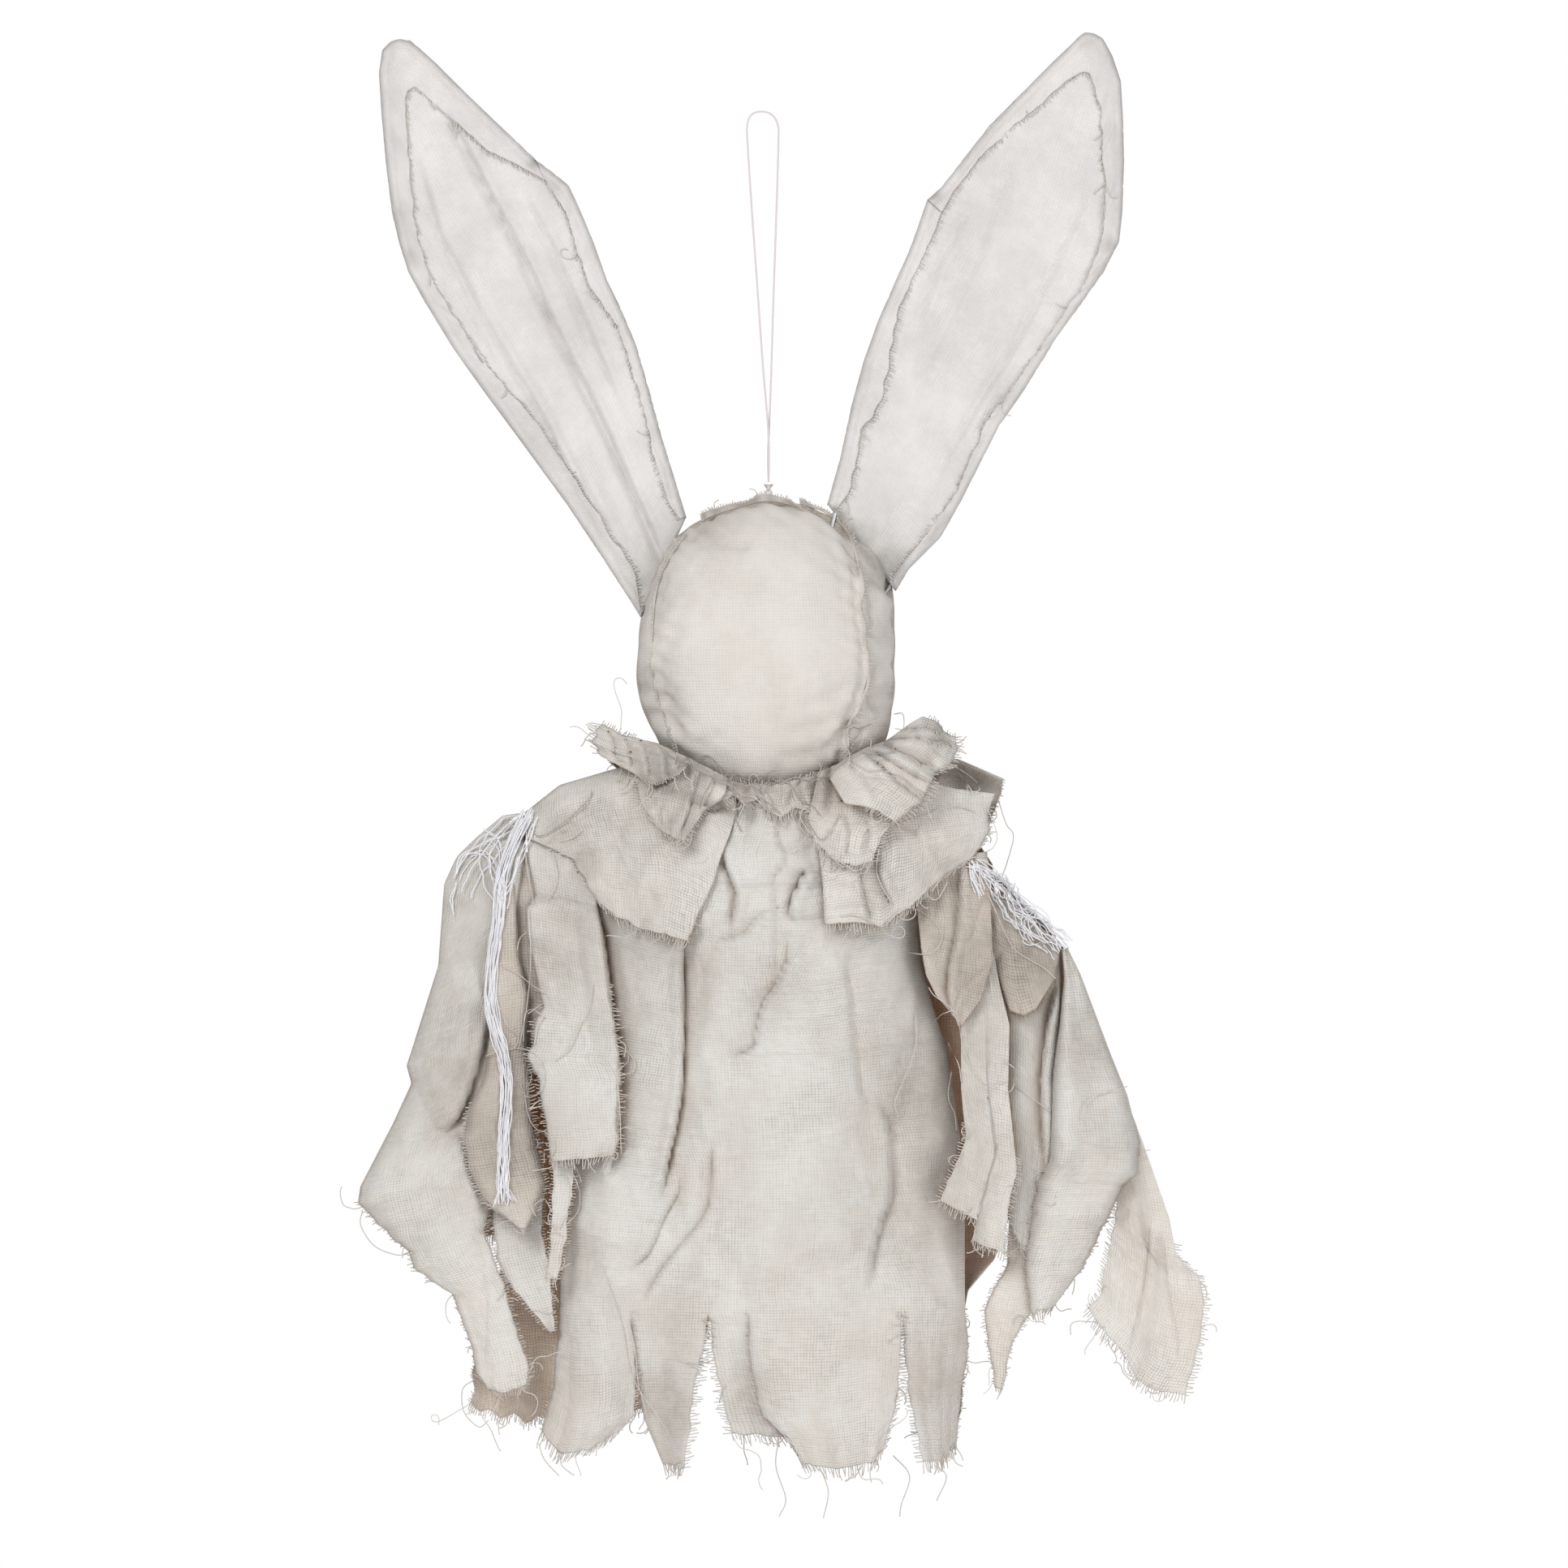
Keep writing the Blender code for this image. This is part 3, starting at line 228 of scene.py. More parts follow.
def makeMuslin(name, look):
    # unbleached cotton muslin, plain woven and dipped in thin stain: dull, slubby, and painted browner down in its
    # folds, partly stain and partly painted shade
    material, tree, shader = newMaterial(name)
    uv = addNode(tree, "ShaderNodeUVMap", {"uv_map": "cloth"}).outputs[0]
    place = addNode(tree, "ShaderNodeTexCoord").outputs["Object"]
    shadeAndStain, inside, greyShadeAndDirt = [addNode(tree, "ShaderNodeAttribute", {"attribute_name": layer}).outputs["Fac"]
                            for layer in ("shadeAndStain", "inside", "greyShadeAndDirt")]
    split = addNode(tree, "ShaderNodeSeparateXYZ", inputs={0: uv}).outputs
    sines = [mathNode(tree, "SINE", mathNode(tree, "MULTIPLY", split[axis], math.pi / weave[pitch]))
             for axis, pitch in enumerate(("warp", "weft"))]
    knuckle = mathNode(tree, "POWER", mathNode(tree, "ABSOLUTE", mathNode(tree, "MULTIPLY", *sines)), 0.5)
    lengthwise = (1 / weave["slubLength"], 1 / weave["slubWidth"], 1)
    slubs = []
    for stretch in (lengthwise, (lengthwise[1], lengthwise[0], 1)):
        placed = addNode(tree, "ShaderNodeMapping", {"vector_type": "POINT"}, {"Vector": uv, "Scale": stretch})
        slubs.append(noiseNode(tree, placed.outputs[0], 1.0, {"noise_dimensions": "2D"}, Detail=2.0).outputs[0])
    slack = mathNode(tree, "MULTIPLY", mathNode(tree, "ADD", *slubs), weave["slack"])
    height = mathNode(tree, "MULTIPLY_ADD", knuckle, weave["relief"], slack)
    bump = addNode(tree, "ShaderNodeBump", inputs={"Strength": look["bump"], "Distance": weave["depth"],
                                                   "Height": height})
    cloud = noiseNode(tree, place, stains["cloud"], Detail=5.0, Roughness=0.68).outputs[0]
    base = mixNode(tree, rangeNode(tree, cloud, 0.40, 0.60), linear(look["colour"]), linear(look["pale"]))
    # recesses and the faces that look into the figure are painted browner: partly stain, partly painted shade
    normal = addNode(tree, "ShaderNodeNewGeometry").outputs["Normal"]
    facing = addNode(tree, "ShaderNodeSeparateXYZ", inputs={0: normal}).outputs[1]
    inwardShadeAndStain = mathNode(tree, "MULTIPLY", mathNode(tree, "LESS_THAN", facing, 0.1), inside)
    withShadeAndStain = mixNode(tree, mathNode(tree, "MAXIMUM", shadeAndStain, inwardShadeAndStain), base, linear(look["shadeAndStainBrown"]))
    # grey smudges: partly dirt, partly painted shade in folds, creases and under overlaps
    grit = noiseNode(tree, place, stains["grit"], Detail=3.0).outputs[0]
    amount = mathNode(tree, "MULTIPLY", greyShadeAndDirt, rangeNode(tree, grit, 0.3, 0.7, 0.55, 1.0), use_clamp=True)
    withShadeAndDirt = mixNode(tree, amount, withShadeAndStain, linear(look["shadeAndDirtGrey"]))
    # painted shade in the gaps between the threads; the weave shows more where the cloth is worn
    rub = noiseNode(tree, place, stains["rub"], Detail=3.0).outputs[0]
    deep = mathNode(tree, "MULTIPLY", rangeNode(tree, rub, 0.4, 0.62, 0.45, 1.0), look["weaveGapShade"])
    lack = rangeNode(tree, height, 0.35, 1.0, 1.0, 0.0)
    weaveGapShading = mathNode(tree, "SUBTRACT", 1.04, mathNode(tree, "MULTIPLY", lack, deep))
    setInputs(tree, shader, {
        "Base Color": mixNode(tree, 1.0, withShadeAndDirt, weaveGapShading, "MULTIPLY"), "Normal": bump.outputs[0],
        "Roughness": 0.95, "Specular IOR Level": 0.15, "Sheen Weight": 0.08, "Sheen Roughness": 0.6,
        "Subsurface Weight": look["through"], "Subsurface Radius": (1.0, 0.72, 0.5), "Subsurface Scale": 0.0012})
    return material


strandLooks = {
    "yarn": {"colour": "FFFFFF", "shade": "E9E8F0", "scale": 700.0, "rough": 0.9, "sheen": 0.2},
    "fray": {"colour": "E2DCD6", "shade": "D2CAC2", "scale": 300.0, "rough": 0.9, "sheen": 0.1},
    # the neck's threads: a darker grey, partly their own and partly painted shade of the neck
    "shadedNeckThread": {"colour": "BDB5AE", "shade": "A39B94", "scale": 300.0, "rough": 0.9, "sheen": 0.0},
    "thread": {"colour": "E4DBDB", "shade": "DDD4D4", "scale": 60.0, "rough": 0.5, "sheen": 0.0}}


def makeStrand(name, look):
    # spun thread: a dull ground with darker flecks along the twist
    material, tree, shader = newMaterial(name)
    place = addNode(tree, "ShaderNodeTexCoord").outputs["Object"]
    fleck = noiseNode(tree, place, look["scale"]).outputs[0]
    bump = addNode(tree, "ShaderNodeBump", inputs={"Strength": 0.3, "Distance": 0.0002, "Height": fleck})
    setInputs(tree, shader, {
        "Base Color": mixNode(tree, fleck, linear(look["shade"]), linear(look["colour"])), "Normal": bump.outputs[0],
        "Roughness": look["rough"], "Specular IOR Level": 0.2, "Sheen Weight": look["sheen"]})
    return material


def makeSteel():
    # drawn steel wire: a grey metal with fine lines from the die
    material, tree, shader = newMaterial("drawn_steel_wire")
    place = addNode(tree, "ShaderNodeTexCoord").outputs["Object"]
    lines = noiseNode(tree, place, 900.0, Detail=4.0).outputs[0]
    setInputs(tree, shader, {"Roughness": rangeNode(tree, lines, 0, 1, 0.3, 0.5), "Base Color": linear("A8A8AA"),
                             "Metallic": 1.0})
    return material


muslin = {key: makeMuslin("plain_woven_muslin_" + key, look) for key, look in muslins.items()}
strands = {key: makeStrand("spun_cotton_" + key, look) for key, look in strandLooks.items()}
steel = makeSteel()
for nodeName in ("ear_wire_left", "ear_wire_right", "shoulder_wire"):
    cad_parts[nodeName].data.materials.clear()
    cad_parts[nodeName].data.materials.append(steel)
print("materials made")


# Hanging loop: one thin thread, tied on top of the head
loopSettings = {
    "route": [
        (0.0034, -0.0007, -0.1740), (0.0036, -0.0007, -0.1600), (0.0030, -0.0007, -0.1460),
        (0.0008, -0.0005, -0.1200), (-0.0019, 0.0, -0.0820), (-0.0046, 0.0, -0.0440),
        (-0.0064, 0.0, -0.0160), (-0.0066, 0.0, -0.0070), (-0.0046, 0.0, -0.0020),
        (0.0, 0.0, -0.0005), (0.0050, 0.0, -0.0020), (0.0078, 0.0, -0.0070),
        (0.0080, 0.0, -0.0160), (0.0072, 0.0, -0.0440), (0.0057, 0.0, -0.0880),
        (0.0046, 0.0005, -0.1250), (0.0038, 0.0007, -0.1460), (0.0032, 0.0007, -0.1600),
        (0.0034, 0.0007, -0.1740)],
    "points": 160, "diameter": 0.0009}


def threadCurve(name, lines, radius, material, resolution=1):
    curve = bpy.data.curves.new(name, "CURVE")
    curve.dimensions = "3D"
    curve.bevel_depth = radius
    curve.bevel_resolution = resolution
    curve.use_fill_caps = True
    for line in lines:
        spline = curve.splines.new("POLY")
        spline.points.add(len(line) - 1)
        spline.points.foreach_set("co", np.c_[line, np.ones(len(line))].ravel())
    curve.materials.append(material)
    return bpy.data.objects.new(name, curve)


def asMesh(obj):
    # the evaluated object as a plain mesh, in place of what it was made from
    depsgraph = bpy.context.evaluated_depsgraph_get()
    name = obj.name
    mesh = bpy.data.meshes.new_from_object(obj.evaluated_get(depsgraph))
    bpy.data.objects.remove(obj)
    made = bpy.data.objects.new(name, mesh)
    mesh.name = name
    mesh.shade_smooth()
    return made


def makeLoop():
    line = smoothPath(loopSettings["route"], loopSettings["points"])
    cord = threadCurve("loop_thread", [line], loopSettings["diameter"] / 2, strands["thread"], 3)
    finished(cord, ["hanging_loop"])
    knot = makeKnot()


def makeKnot():
    # two interlocked turns of the thread with short cut tails
    low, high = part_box("loop_knot")
    centre = (Vector(low) + Vector(high)) / 2
    size = (high[2] - low[2]) / 2
    turns = np.linspace(0, 2 * math.pi, 40)
    knotLine = np.stack([centre.x + size * 0.75 * np.sin(turns) + size * 0.35 * np.sin(2 * turns),
                         centre.y + size * 0.7 * np.cos(3 * turns),
                         centre.z + size * 0.75 * np.cos(turns) - size * 0.35 * np.cos(2 * turns)], 1)
    tails = [[(centre.x, centre.y, centre.z), (centre.x + sign * size * 0.5, centre.y - size * 0.4, low[2]),
              (centre.x + sign * size * 0.9, centre.y - size * 0.6, low[2] - size * 1.4)] for sign in (-1, 1)]
    lines = [knotLine] + [smoothPath(tail, 8) for tail in tails]
    knot = asMesh(linked(threadCurve("loop_knot_thread", lines, loopSettings["diameter"] / 2, strands["thread"])))
    return finished(knot, ["loop_knot"])


def linked(obj):
    bpy.context.scene.collection.objects.link(obj)
    bpy.context.view_layer.update()
    return obj


makeLoop()
print("hanging loop made")


# Relief of each side, on which cloth is laid: front is side -1, back is side 1
relief = {side: np.full((reliefMap["columns"], reliefMap["rows"]), -0.2) for side in (-1, 1)}


def reliefCells(x, z):
    i = np.clip(((x - reliefMap["left"]) / reliefMap["cell"]).astype(int), 0, reliefMap["columns"] - 1)
    j = np.clip(((reliefMap["top"] - z) / reliefMap["cell"]).astype(int), 0, reliefMap["rows"] - 1)
    return i, j


def stamp(points, lift=0.0):
    i, j = reliefCells(points[..., 0], points[..., 2])
    for side in (-1, 1):
        np.maximum.at(relief[side], (i, j), side * points[..., 1] + lift)


def refined(grid, times):
    # the same surface with more points, so that no relief cell under it stays empty
    for axis in (0, 1):
        count = grid.shape[axis]
        spots = np.linspace(0, count - 1, (count - 1) * times + 1)
        first = np.minimum(spots.astype(int), count - 2)
        share = (spots - first).reshape([-1, 1, 1] if axis == 0 else [1, -1, 1])
        grid = np.take(grid, first, axis) * (1 - share) + np.take(grid, first + 1, axis) * share
    return grid


def grown(field, steps):
    for _ in range(steps):
        padded = np.pad(field, 1, mode="edge")
        field = np.maximum.reduce([field, padded[:-2, 1:-1], padded[2:, 1:-1], padded[1:-1, :-2], padded[1:-1, 2:]])
    return field


def blurred(field, steps):
    for _ in range(steps):
        padded = np.pad(field, 1, mode="edge")
        field = (field * 2 + padded[:-2, 1:-1] + padded[2:, 1:-1] + padded[1:-1, :-2] + padded[1:-1, 2:]) / 6
    return field


# Stuffed head: a bag swelled by cloth simulation, then its seams
headSettings = {
    "outline": [(944, 611), (985, 618), (1012, 627), (1046, 645), (1078, 675), (1100, 712), (1105, 760),
                (1106, 800), (1107, 836), (1104, 880), (1096, 914), (1080, 945), (1030, 985), (944, 996),
                (870, 984), (830, 950), (811, 919), (798, 890), (784, 856), (781, 832), (784, 805),
                (785, 780), (792, 745), (803, 705), (822, 668), (850, 641), (880, 626), (912, 615)],
    "centre": (944, 800), "depth": 0.046, "roundness": 2.5, "voxel": 0.0054, "pressure": 3.0,
    "frames": 14, "cap": 0.004, "shrunk": 0.985, "mass": 0.3, "ridgeHeight": 0.0030, "ridgeRows": 5,
    "puckerReach": 0.008, "lumps": 0.0009, "dents": 0.0005,
    "ridgeSunk": 0.0012, "halfSizes": (0.062, 0.046, 0.07), "ridgeLean": 0.9, "ridgeCurl": 0.5}
headSeams = [
    {"path": [(852, 655), (866, 636), (900, 622), (945, 615), (985, 622), (1015, 634), (1040, 655), (1056, 695),
         (1058, 745), (1065, 790), (1068, 838), (1052, 880), (1042, 915), (1030, 960)],
     "groove": 0.0016, "width": 0.0026, "pucker": 0.0014, "pitch": 0.0085, "side": -1},
    {"path": [(852, 655), (826, 690), (812, 730), (808, 780), (808, 830), (820, 880), (836, 922), (850, 960)],
     "groove": 0.0005, "width": 0.0026, "pucker": 0.0012, "pitch": 0.0095, "side": -1},
    {"path": [(944, 615), (944, 700), (946, 800), (943, 900), (944, 985)], "groove": 0.0016, "width": 0.0022,
     "pucker": 0.0008, "pitch": 0.01, "side": 1}]
headFolds = [
    ([(1030, 632), (1046, 650), (1062, 682), (1085, 708), (1104, 730)], 3.5, 3.0),
    ([(1076, 715), (1082, 745), (1078, 780)], 2.2, 3.0), ([(1096, 820), (1084, 840), (1088, 870)], 2.4, 3.4),
    ([(1068, 850), (1082, 858), (1098, 852)], 2.2, 3.2), ([(815, 700), (806, 740), (800, 780)], 1.2, 3.4),
    ([(790, 850), (806, 862), (824, 866)], 1.6, 3.2), ([(806, 880), (822, 886), (836, 900)], 2.0, 3.0),
    ([(1020, 925), (1040, 905), (1058, 895)], 1.6, 3.2), ([(850, 940), (862, 920), (880, 910)], 1.2, 4.0),
    ([(800, 835), (815, 855), (828, 880)], 2.6, 5.0), ([(1098, 760), (1085, 800), (1090, 850)], 2.0, 5.0),
    ([(1062, 700), (1080, 725), (1085, 760)], 1.6, 4.0), ([(1085, 870), (1066, 885), (1050, 912)], 3.0, 5.5),
    ([(1000, 868), (1025, 862), (1050, 845)], 1.4, 4.0), ([(975, 905), (1010, 895), (1040, 885)], 1.2, 4.5),
    ([(865, 652), (885, 668), (915, 672)], 1.8, 3.5), ([(1015, 650), (1035, 690), (1040, 730)], 1.2, 4.0),
    ([(835, 780), (820, 800), (815, 830)], 1.4, 4.5), ([(960, 950), (970, 935), (1000, 930)], 1.2, 4.0)]
headRidges = [
    {"path": [(866, 644), (880, 636), (912, 626), (945, 619), (972, 623), (988, 630)],
     "height": 1.2, "fray": 0.9, "seed": 3},
    {"path": [(986, 622), (1015, 631), (1040, 652), (1052, 680), (1057, 705)],
     "height": 0.45, "fray": 1.2, "seed": 4},
    {"path": [(1057, 700), (1059, 725), (1056, 745), (1061, 768), (1064, 795), (1068, 838), (1061, 860), (1050, 880),
         (1041, 900), (1040, 925), (1034, 945)],
     "height": 0.75, "fray": 1.8, "seed": 5},
    {"path": [(846, 660), (824, 692), (810, 730), (805, 780), (805, 830), (818, 880), (830, 905), (838, 930)],
     "height": 0.28, "fray": 1.0, "seed": 8}]


def headRing(share, bearings):
    outline = np.array([onGrid(*p) for p in headSettings["outline"]])
    closed = np.vstack([outline, outline[:1]])
    centre = np.array(onGrid(*headSettings["centre"]))
    smooth = smoothPath(closed, 240) - centre
    angles = np.unwrap(np.arctan2(smooth[:, 0], smooth[:, 1]))
    order = np.argsort(angles)
    radii = np.interp(bearings, angles[order], np.hypot(smooth[:, 0], smooth[:, 1])[order], period=2 * math.pi)
    return centre[0] + share * radii * np.sin(bearings), centre[1] + share * radii * np.cos(bearings)


def headBag():
    bearings = np.linspace(0, 2 * math.pi, 64, endpoint=False)
    n = headSettings["roundness"]
    bm = bmesh.new()
    rings = []
    for share in np.sin(np.linspace(0.06, math.pi - 0.06, 33)):
        side = -1 if len(rings) < 17 else 1
        x, z = headRing(share * headSettings["shrunk"], bearings)
        y = side * headSettings["depth"] * (1 - min(share, 1) ** n) ** (1 / n)
        rings.append([bm.verts.new((a, y, b)) for a, b in zip(x, z)])
    for first, second in zip(rings, rings[1:]):
        for k in range(len(first)):
            after = (k + 1) % len(first)
            bm.faces.new((first[k], first[after], second[after], second[k]))
    bm.faces.new(rings[0][::-1])
    bm.faces.new(rings[-1])
    bmesh.ops.recalc_face_normals(bm, faces=bm.faces)
    mesh = bpy.data.meshes.new("stuffed_head")
    bm.to_mesh(mesh)
    bm.free()
    return linked(bpy.data.objects.new("stuffed_head", mesh))


def withModifier(obj, name, kind, **values):
    modifier = obj.modifiers.new(name, kind)
    for key, value in values.items():
        setattr(modifier, key, value)
    return modifier


def swell(obj, settings):
    withModifier(obj, "Voxels", "REMESH", mode="VOXEL", voxel_size=settings["voxel"], use_smooth_shade=True)
    name = obj.name
    obj = linked(asMesh(obj))
    obj.name = name
    before = np.array([v.co for v in obj.data.vertices])
    cloth = withModifier(obj, "Stuffing", "CLOTH")
    cloth.settings.use_pressure = True
    cloth.settings.uniform_pressure_force = settings["pressure"]
    cloth.settings.mass = settings["mass"]
    cloth.settings.effector_weights.gravity = 0
    cloth.settings.quality = 5
    scene = bpy.context.scene
    cloth.point_cache.frame_end = settings["frames"]
    for number in range(1, settings["frames"] + 1):
        scene.frame_set(number)
    depsgraph = bpy.context.evaluated_depsgraph_get()
    after = np.array([v.co for v in obj.evaluated_get(depsgraph).data.vertices])
    obj.modifiers.remove(cloth)
    scene.frame_set(1)
    move = after - before
    length = np.linalg.norm(move, axis=1, keepdims=True)
    before = before + move * np.minimum(1, settings["cap"] / np.maximum(length, 1e-9))
    obj.data.vertices.foreach_set("co", before.ravel())
    withModifier(obj, "Smooth cover", "SUBSURF", levels=2, render_levels=2)
    return linked(asMesh(obj))


def sewHead(obj):
    count = len(obj.data.vertices)
    points = np.zeros(count * 3)
    normals = np.zeros(count * 3)
    obj.data.vertices.foreach_get("co", points)
    obj.data.vertices.foreach_get("normal", normals)
    points, normals = points.reshape(-1, 3), normals.reshape(-1, 3)
    shift = np.zeros(count)
    for number, seam in enumerate(headSeams):
        path = [onGrid(*p) for p in seam["path"]]
        distance = pathDistance(points[:, 0], points[:, 2], path)
        here = points[:, 1] * seam["side"] > 0
        along = points[:, 2] + 0.6 * points[:, 0]
        wave = 0.5 + 0.5 * np.cos(along * 2 * math.pi / seam["pitch"] + number)
        pull = np.exp(-distance / headSettings["puckerReach"]) * wave
        shift -= here * seam["groove"] * np.exp(-(distance / seam["width"]) ** 2)
        shift -= here * seam["pucker"] * pull
    for path, drop, width in headFolds:
        distance = pathDistance(points[:, 0], points[:, 2], [onGrid(*p) for p in path])
        shift -= (points[:, 1] < 0) * drop * 0.001 * np.exp(-(distance / (width * 0.001)) ** 2)
    shift += headSettings["lumps"] * valueNoise(points[:, 0] / 0.018, points[:, 2] / 0.024, 5)
    shift += headSettings["dents"] * valueNoise(points[:, 0] / 0.007, points[:, 2] / 0.010 + points[:, 1] / 0.01, 6)
    points = points + normals * shift[:, None]
    obj.data.vertices.foreach_set("co", points.ravel())
    obj.data.update()
    return points


def paintCloth(mesh, points, side, softness=1.0, inside=1.0):
    # painted shade with some stain: browner where the surface lies behind its surroundings; grey smudges, partly dirt
    # and partly painted shade, are where the photograph has them
    shadeAndStain = np.zeros(len(points))
    for face in (side,) if side else (-1, 1):
        outer = relief[face]
        known = outer > -0.15
        total = blurred(np.where(known, outer, 0.0), shadeAndStainSettings["reach"])
        weight = blurred(known.astype(float), shadeAndStainSettings["reach"])
        around = np.where(weight > 0.02, total / np.maximum(weight, 0.02), outer)
        i, j = reliefCells(points[:, 0], points[:, 2])
        behind = np.maximum(around[i, j], outer[i, j] - shadeAndStainSettings["margin"]) - face * points[:, 1]
        deep = np.clip((behind - shadeAndStainSettings["margin"]) / shadeAndStainSettings["depth"], 0, 1)
        deep = deep * shadeAndStainSettings["most"] * softness
        shadeAndStain = np.where(face * points[:, 1] > (-0.02 if side else 0), deep, shadeAndStain)
    # painted shade with some stain on the faces that look into the figure, less of it towards the open hem
    if side > 0:
        height = np.clip((points[:, 2] - onGrid(0, 1730)[1]) / 0.07, 0.15, 1)
        setLayer(mesh, "inside", (shadeAndStainSettings["inside"] * inside * height).astype(np.float32))
    greyShadeAndDirt = np.zeros(len(points))
    front = points[:, 1] < 0.002
    for x, y, radius, strength in greyShadeAndDirtSpots[side or -1]:
        cx, cz = onGrid(x, y)
        distance = np.hypot(points[:, 0] - cx, points[:, 2] - cz) / (radius * gridStep)
        greyShadeAndDirt = np.maximum(greyShadeAndDirt, strength * np.exp(-distance ** 2) * (1 if side else np.where(front, 1, 0.3)))
    for path, radius, strength in greyShadeAndDirtLines if side <= 0 else []:
        distance = pathDistance(points[:, 0], points[:, 2], [onGrid(*p) for p in path]) / (radius * gridStep)
        greyShadeAndDirt = np.maximum(greyShadeAndDirt, strength * np.exp(-distance ** 2) * front)
    setLayer(mesh, "shadeAndStain", shadeAndStain.astype(np.float32))
    setLayer(mesh, "greyShadeAndDirt", greyShadeAndDirt.astype(np.float32))


# painted shade and stain: how far behind its surroundings a surface browns, how much, and how brown the inward faces
# are
shadeAndStainSettings = {"depth": 0.009, "most": 0.8, "inside": 0.6, "reach": 6, "margin": 0.0006}
# grey smudges, partly dirt and partly painted shade in folds and under overlaps: grid x, y, radius and strength
greyShadeAndDirtSpots = {
    -1: [(792, 840, 26, 0.6), (820, 862, 30, 0.4), (1098, 780, 22, 0.3), (1075, 700, 26, 0.4),
        (870, 655, 30, 0.35), (1070, 880, 34, 0.35), (1000, 945, 50, 0.25), (690, 1030, 40, 0.4),
        (690, 1180, 40, 0.35), (735, 995, 26, 0.3), (725, 1060, 24, 0.55), (705, 1130, 40, 0.3),
        (640, 1020, 30, 0.3), (580, 1320, 60, 0.45), (560, 1270, 60, 0.3), (545, 1310, 34, 0.35),
        (590, 1075, 34, 0.4), (625, 1060, 24, 0.4), (585, 1160, 50, 0.2), (560, 1380, 40, 0.3), (620, 1400, 60, 0.5),
        (560, 1110, 30, 0.3), (790, 1040, 50, 0.25), (840, 1020, 40, 0.4), (800, 1090, 50, 0.2),
        (850, 960, 30, 0.35), (815, 960, 34, 0.7), (1150, 900, 40, 0.35), (1010, 970, 34, 0.45),
        (1080, 1090, 30, 0.35), (970, 975, 40, 0.4), (1010, 1050, 30, 0.2), (1150, 1110, 40, 0.15),
        (1190, 1190, 60, 0.35), (1260, 1180, 60, 0.6), (1210, 1290, 40, 0.3), (1340, 1280, 50, 0.3),
        (1370, 1400, 40, 0.3), (845, 1200, 50, 0.3), (800, 1180, 60, 0.25), (780, 1240, 50, 0.25),
        (940, 1230, 40, 0.25), (1120, 1340, 80, 0.4), (1150, 1450, 60, 0.35), (1110, 1500, 60, 0.3),
        (1040, 1480, 60, 0.15), (825, 1720, 60, 0.45), (820, 1620, 40, 0.2), (915, 1720, 36, 0.35),
        (1150, 1700, 60, 0.3), (1190, 1650, 30, 0.3), (740, 1140, 30, 0.3), (480, 84, 20, 0.15), (500, 318, 12, 0.6),
        (475, 170, 14, 0.25), (486, 262, 12, 0.35), (660, 199, 9, 0.9), (680, 230, 14, 0.25), (1148, 240, 11, 0.9),
        (1180, 205, 10, 0.4), (1240, 130, 16, 0.2), (1370, 303, 11, 0.7), (1378, 160, 14, 0.2), (1340, 50, 20, 0.25),
        (1092, 700, 30, 0.8), (1060, 668, 22, 0.6), (800, 720, 30, 0.4), (778, 755, 20, 0.6), (640, 545, 40, 0.2),
        (740, 420, 40, 0.15)],
    1: [(850, 700, 60, 0.3), (1040, 760, 60, 0.3), (944, 930, 80, 0.35), (760, 1050, 70, 0.3),
        (1120, 1060, 70, 0.3), (640, 1350, 60, 0.3), (1240, 1300, 60, 0.3), (900, 1500, 80, 0.2),
        (503, 315, 26, 0.7), (1368, 303, 22, 0.7), (1150, 235, 24, 0.7)]}

# darkened lines along ear rims, creases, seams, folds and the neck, painted shade with some dirt: grid path, radius
# and strength
greyShadeAndDirtLines = [
    ([(790, 760), (740, 682), (640, 540), (560, 430), (525, 373), (504, 335), (493, 300), (477, 205), (471, 140),
      (468, 90), (472, 62), (492, 49), (515, 59), (578, 120), (658, 196), (700, 229), (713, 257), (747, 345),
      (783, 425), (815, 540), (845, 638)],
     5, 0.45),
    ([(1020, 622), (1050, 500), (1083, 395), (1130, 285), (1143, 247), (1185, 200), (1260, 115), (1322, 54),
      (1337, 41), (1358, 48), (1380, 100), (1384, 200), (1378, 298), (1340, 362), (1260, 482), (1183, 618),
      (1120, 700), (1103, 728)],
     5, 0.4),
    ([(556, 150), (600, 238), (640, 310), (680, 400), (710, 460), (745, 530), (775, 600), (800, 655), (820, 700)], 5,
     0.28),
    ([(516, 200), (540, 290), (600, 400), (660, 500), (720, 620), (770, 700)], 5, 0.14),
    ([(1028, 630), (1045, 648), (1062, 680), (1085, 708), (1104, 730)], 9, 0.9),
    ([(845, 640), (835, 668), (815, 705), (792, 758)], 6, 0.5),
    ([(792, 758), (785, 800), (782, 836), (798, 890), (812, 918)], 7, 0.42),
    ([(1104, 740), (1106, 800), (1104, 880), (1094, 915)], 7, 0.38),
    ([(1064, 700), (1066, 760), (1074, 830), (1066, 880), (1048, 915)], 6, 0.35),
    ([(866, 634), (900, 621), (945, 613), (985, 622), (1012, 628)], 6, 0.5),
    ([(820, 925), (860, 950), (900, 962), (944, 967), (1000, 960), (1050, 936), (1090, 918)], 12, 0.45),
    ([(520, 1300), (540, 1360), (560, 1395)], 12, 0.4), ([(600, 1260), (590, 1320), (560, 1390)], 14, 0.5)]


def setLayer(mesh, name, values, kind="FLOAT"):
    field = "vector" if kind == "FLOAT_VECTOR" else "value"
    mesh.attributes.new(name, kind, "POINT").data.foreach_set(field, np.ravel(values))


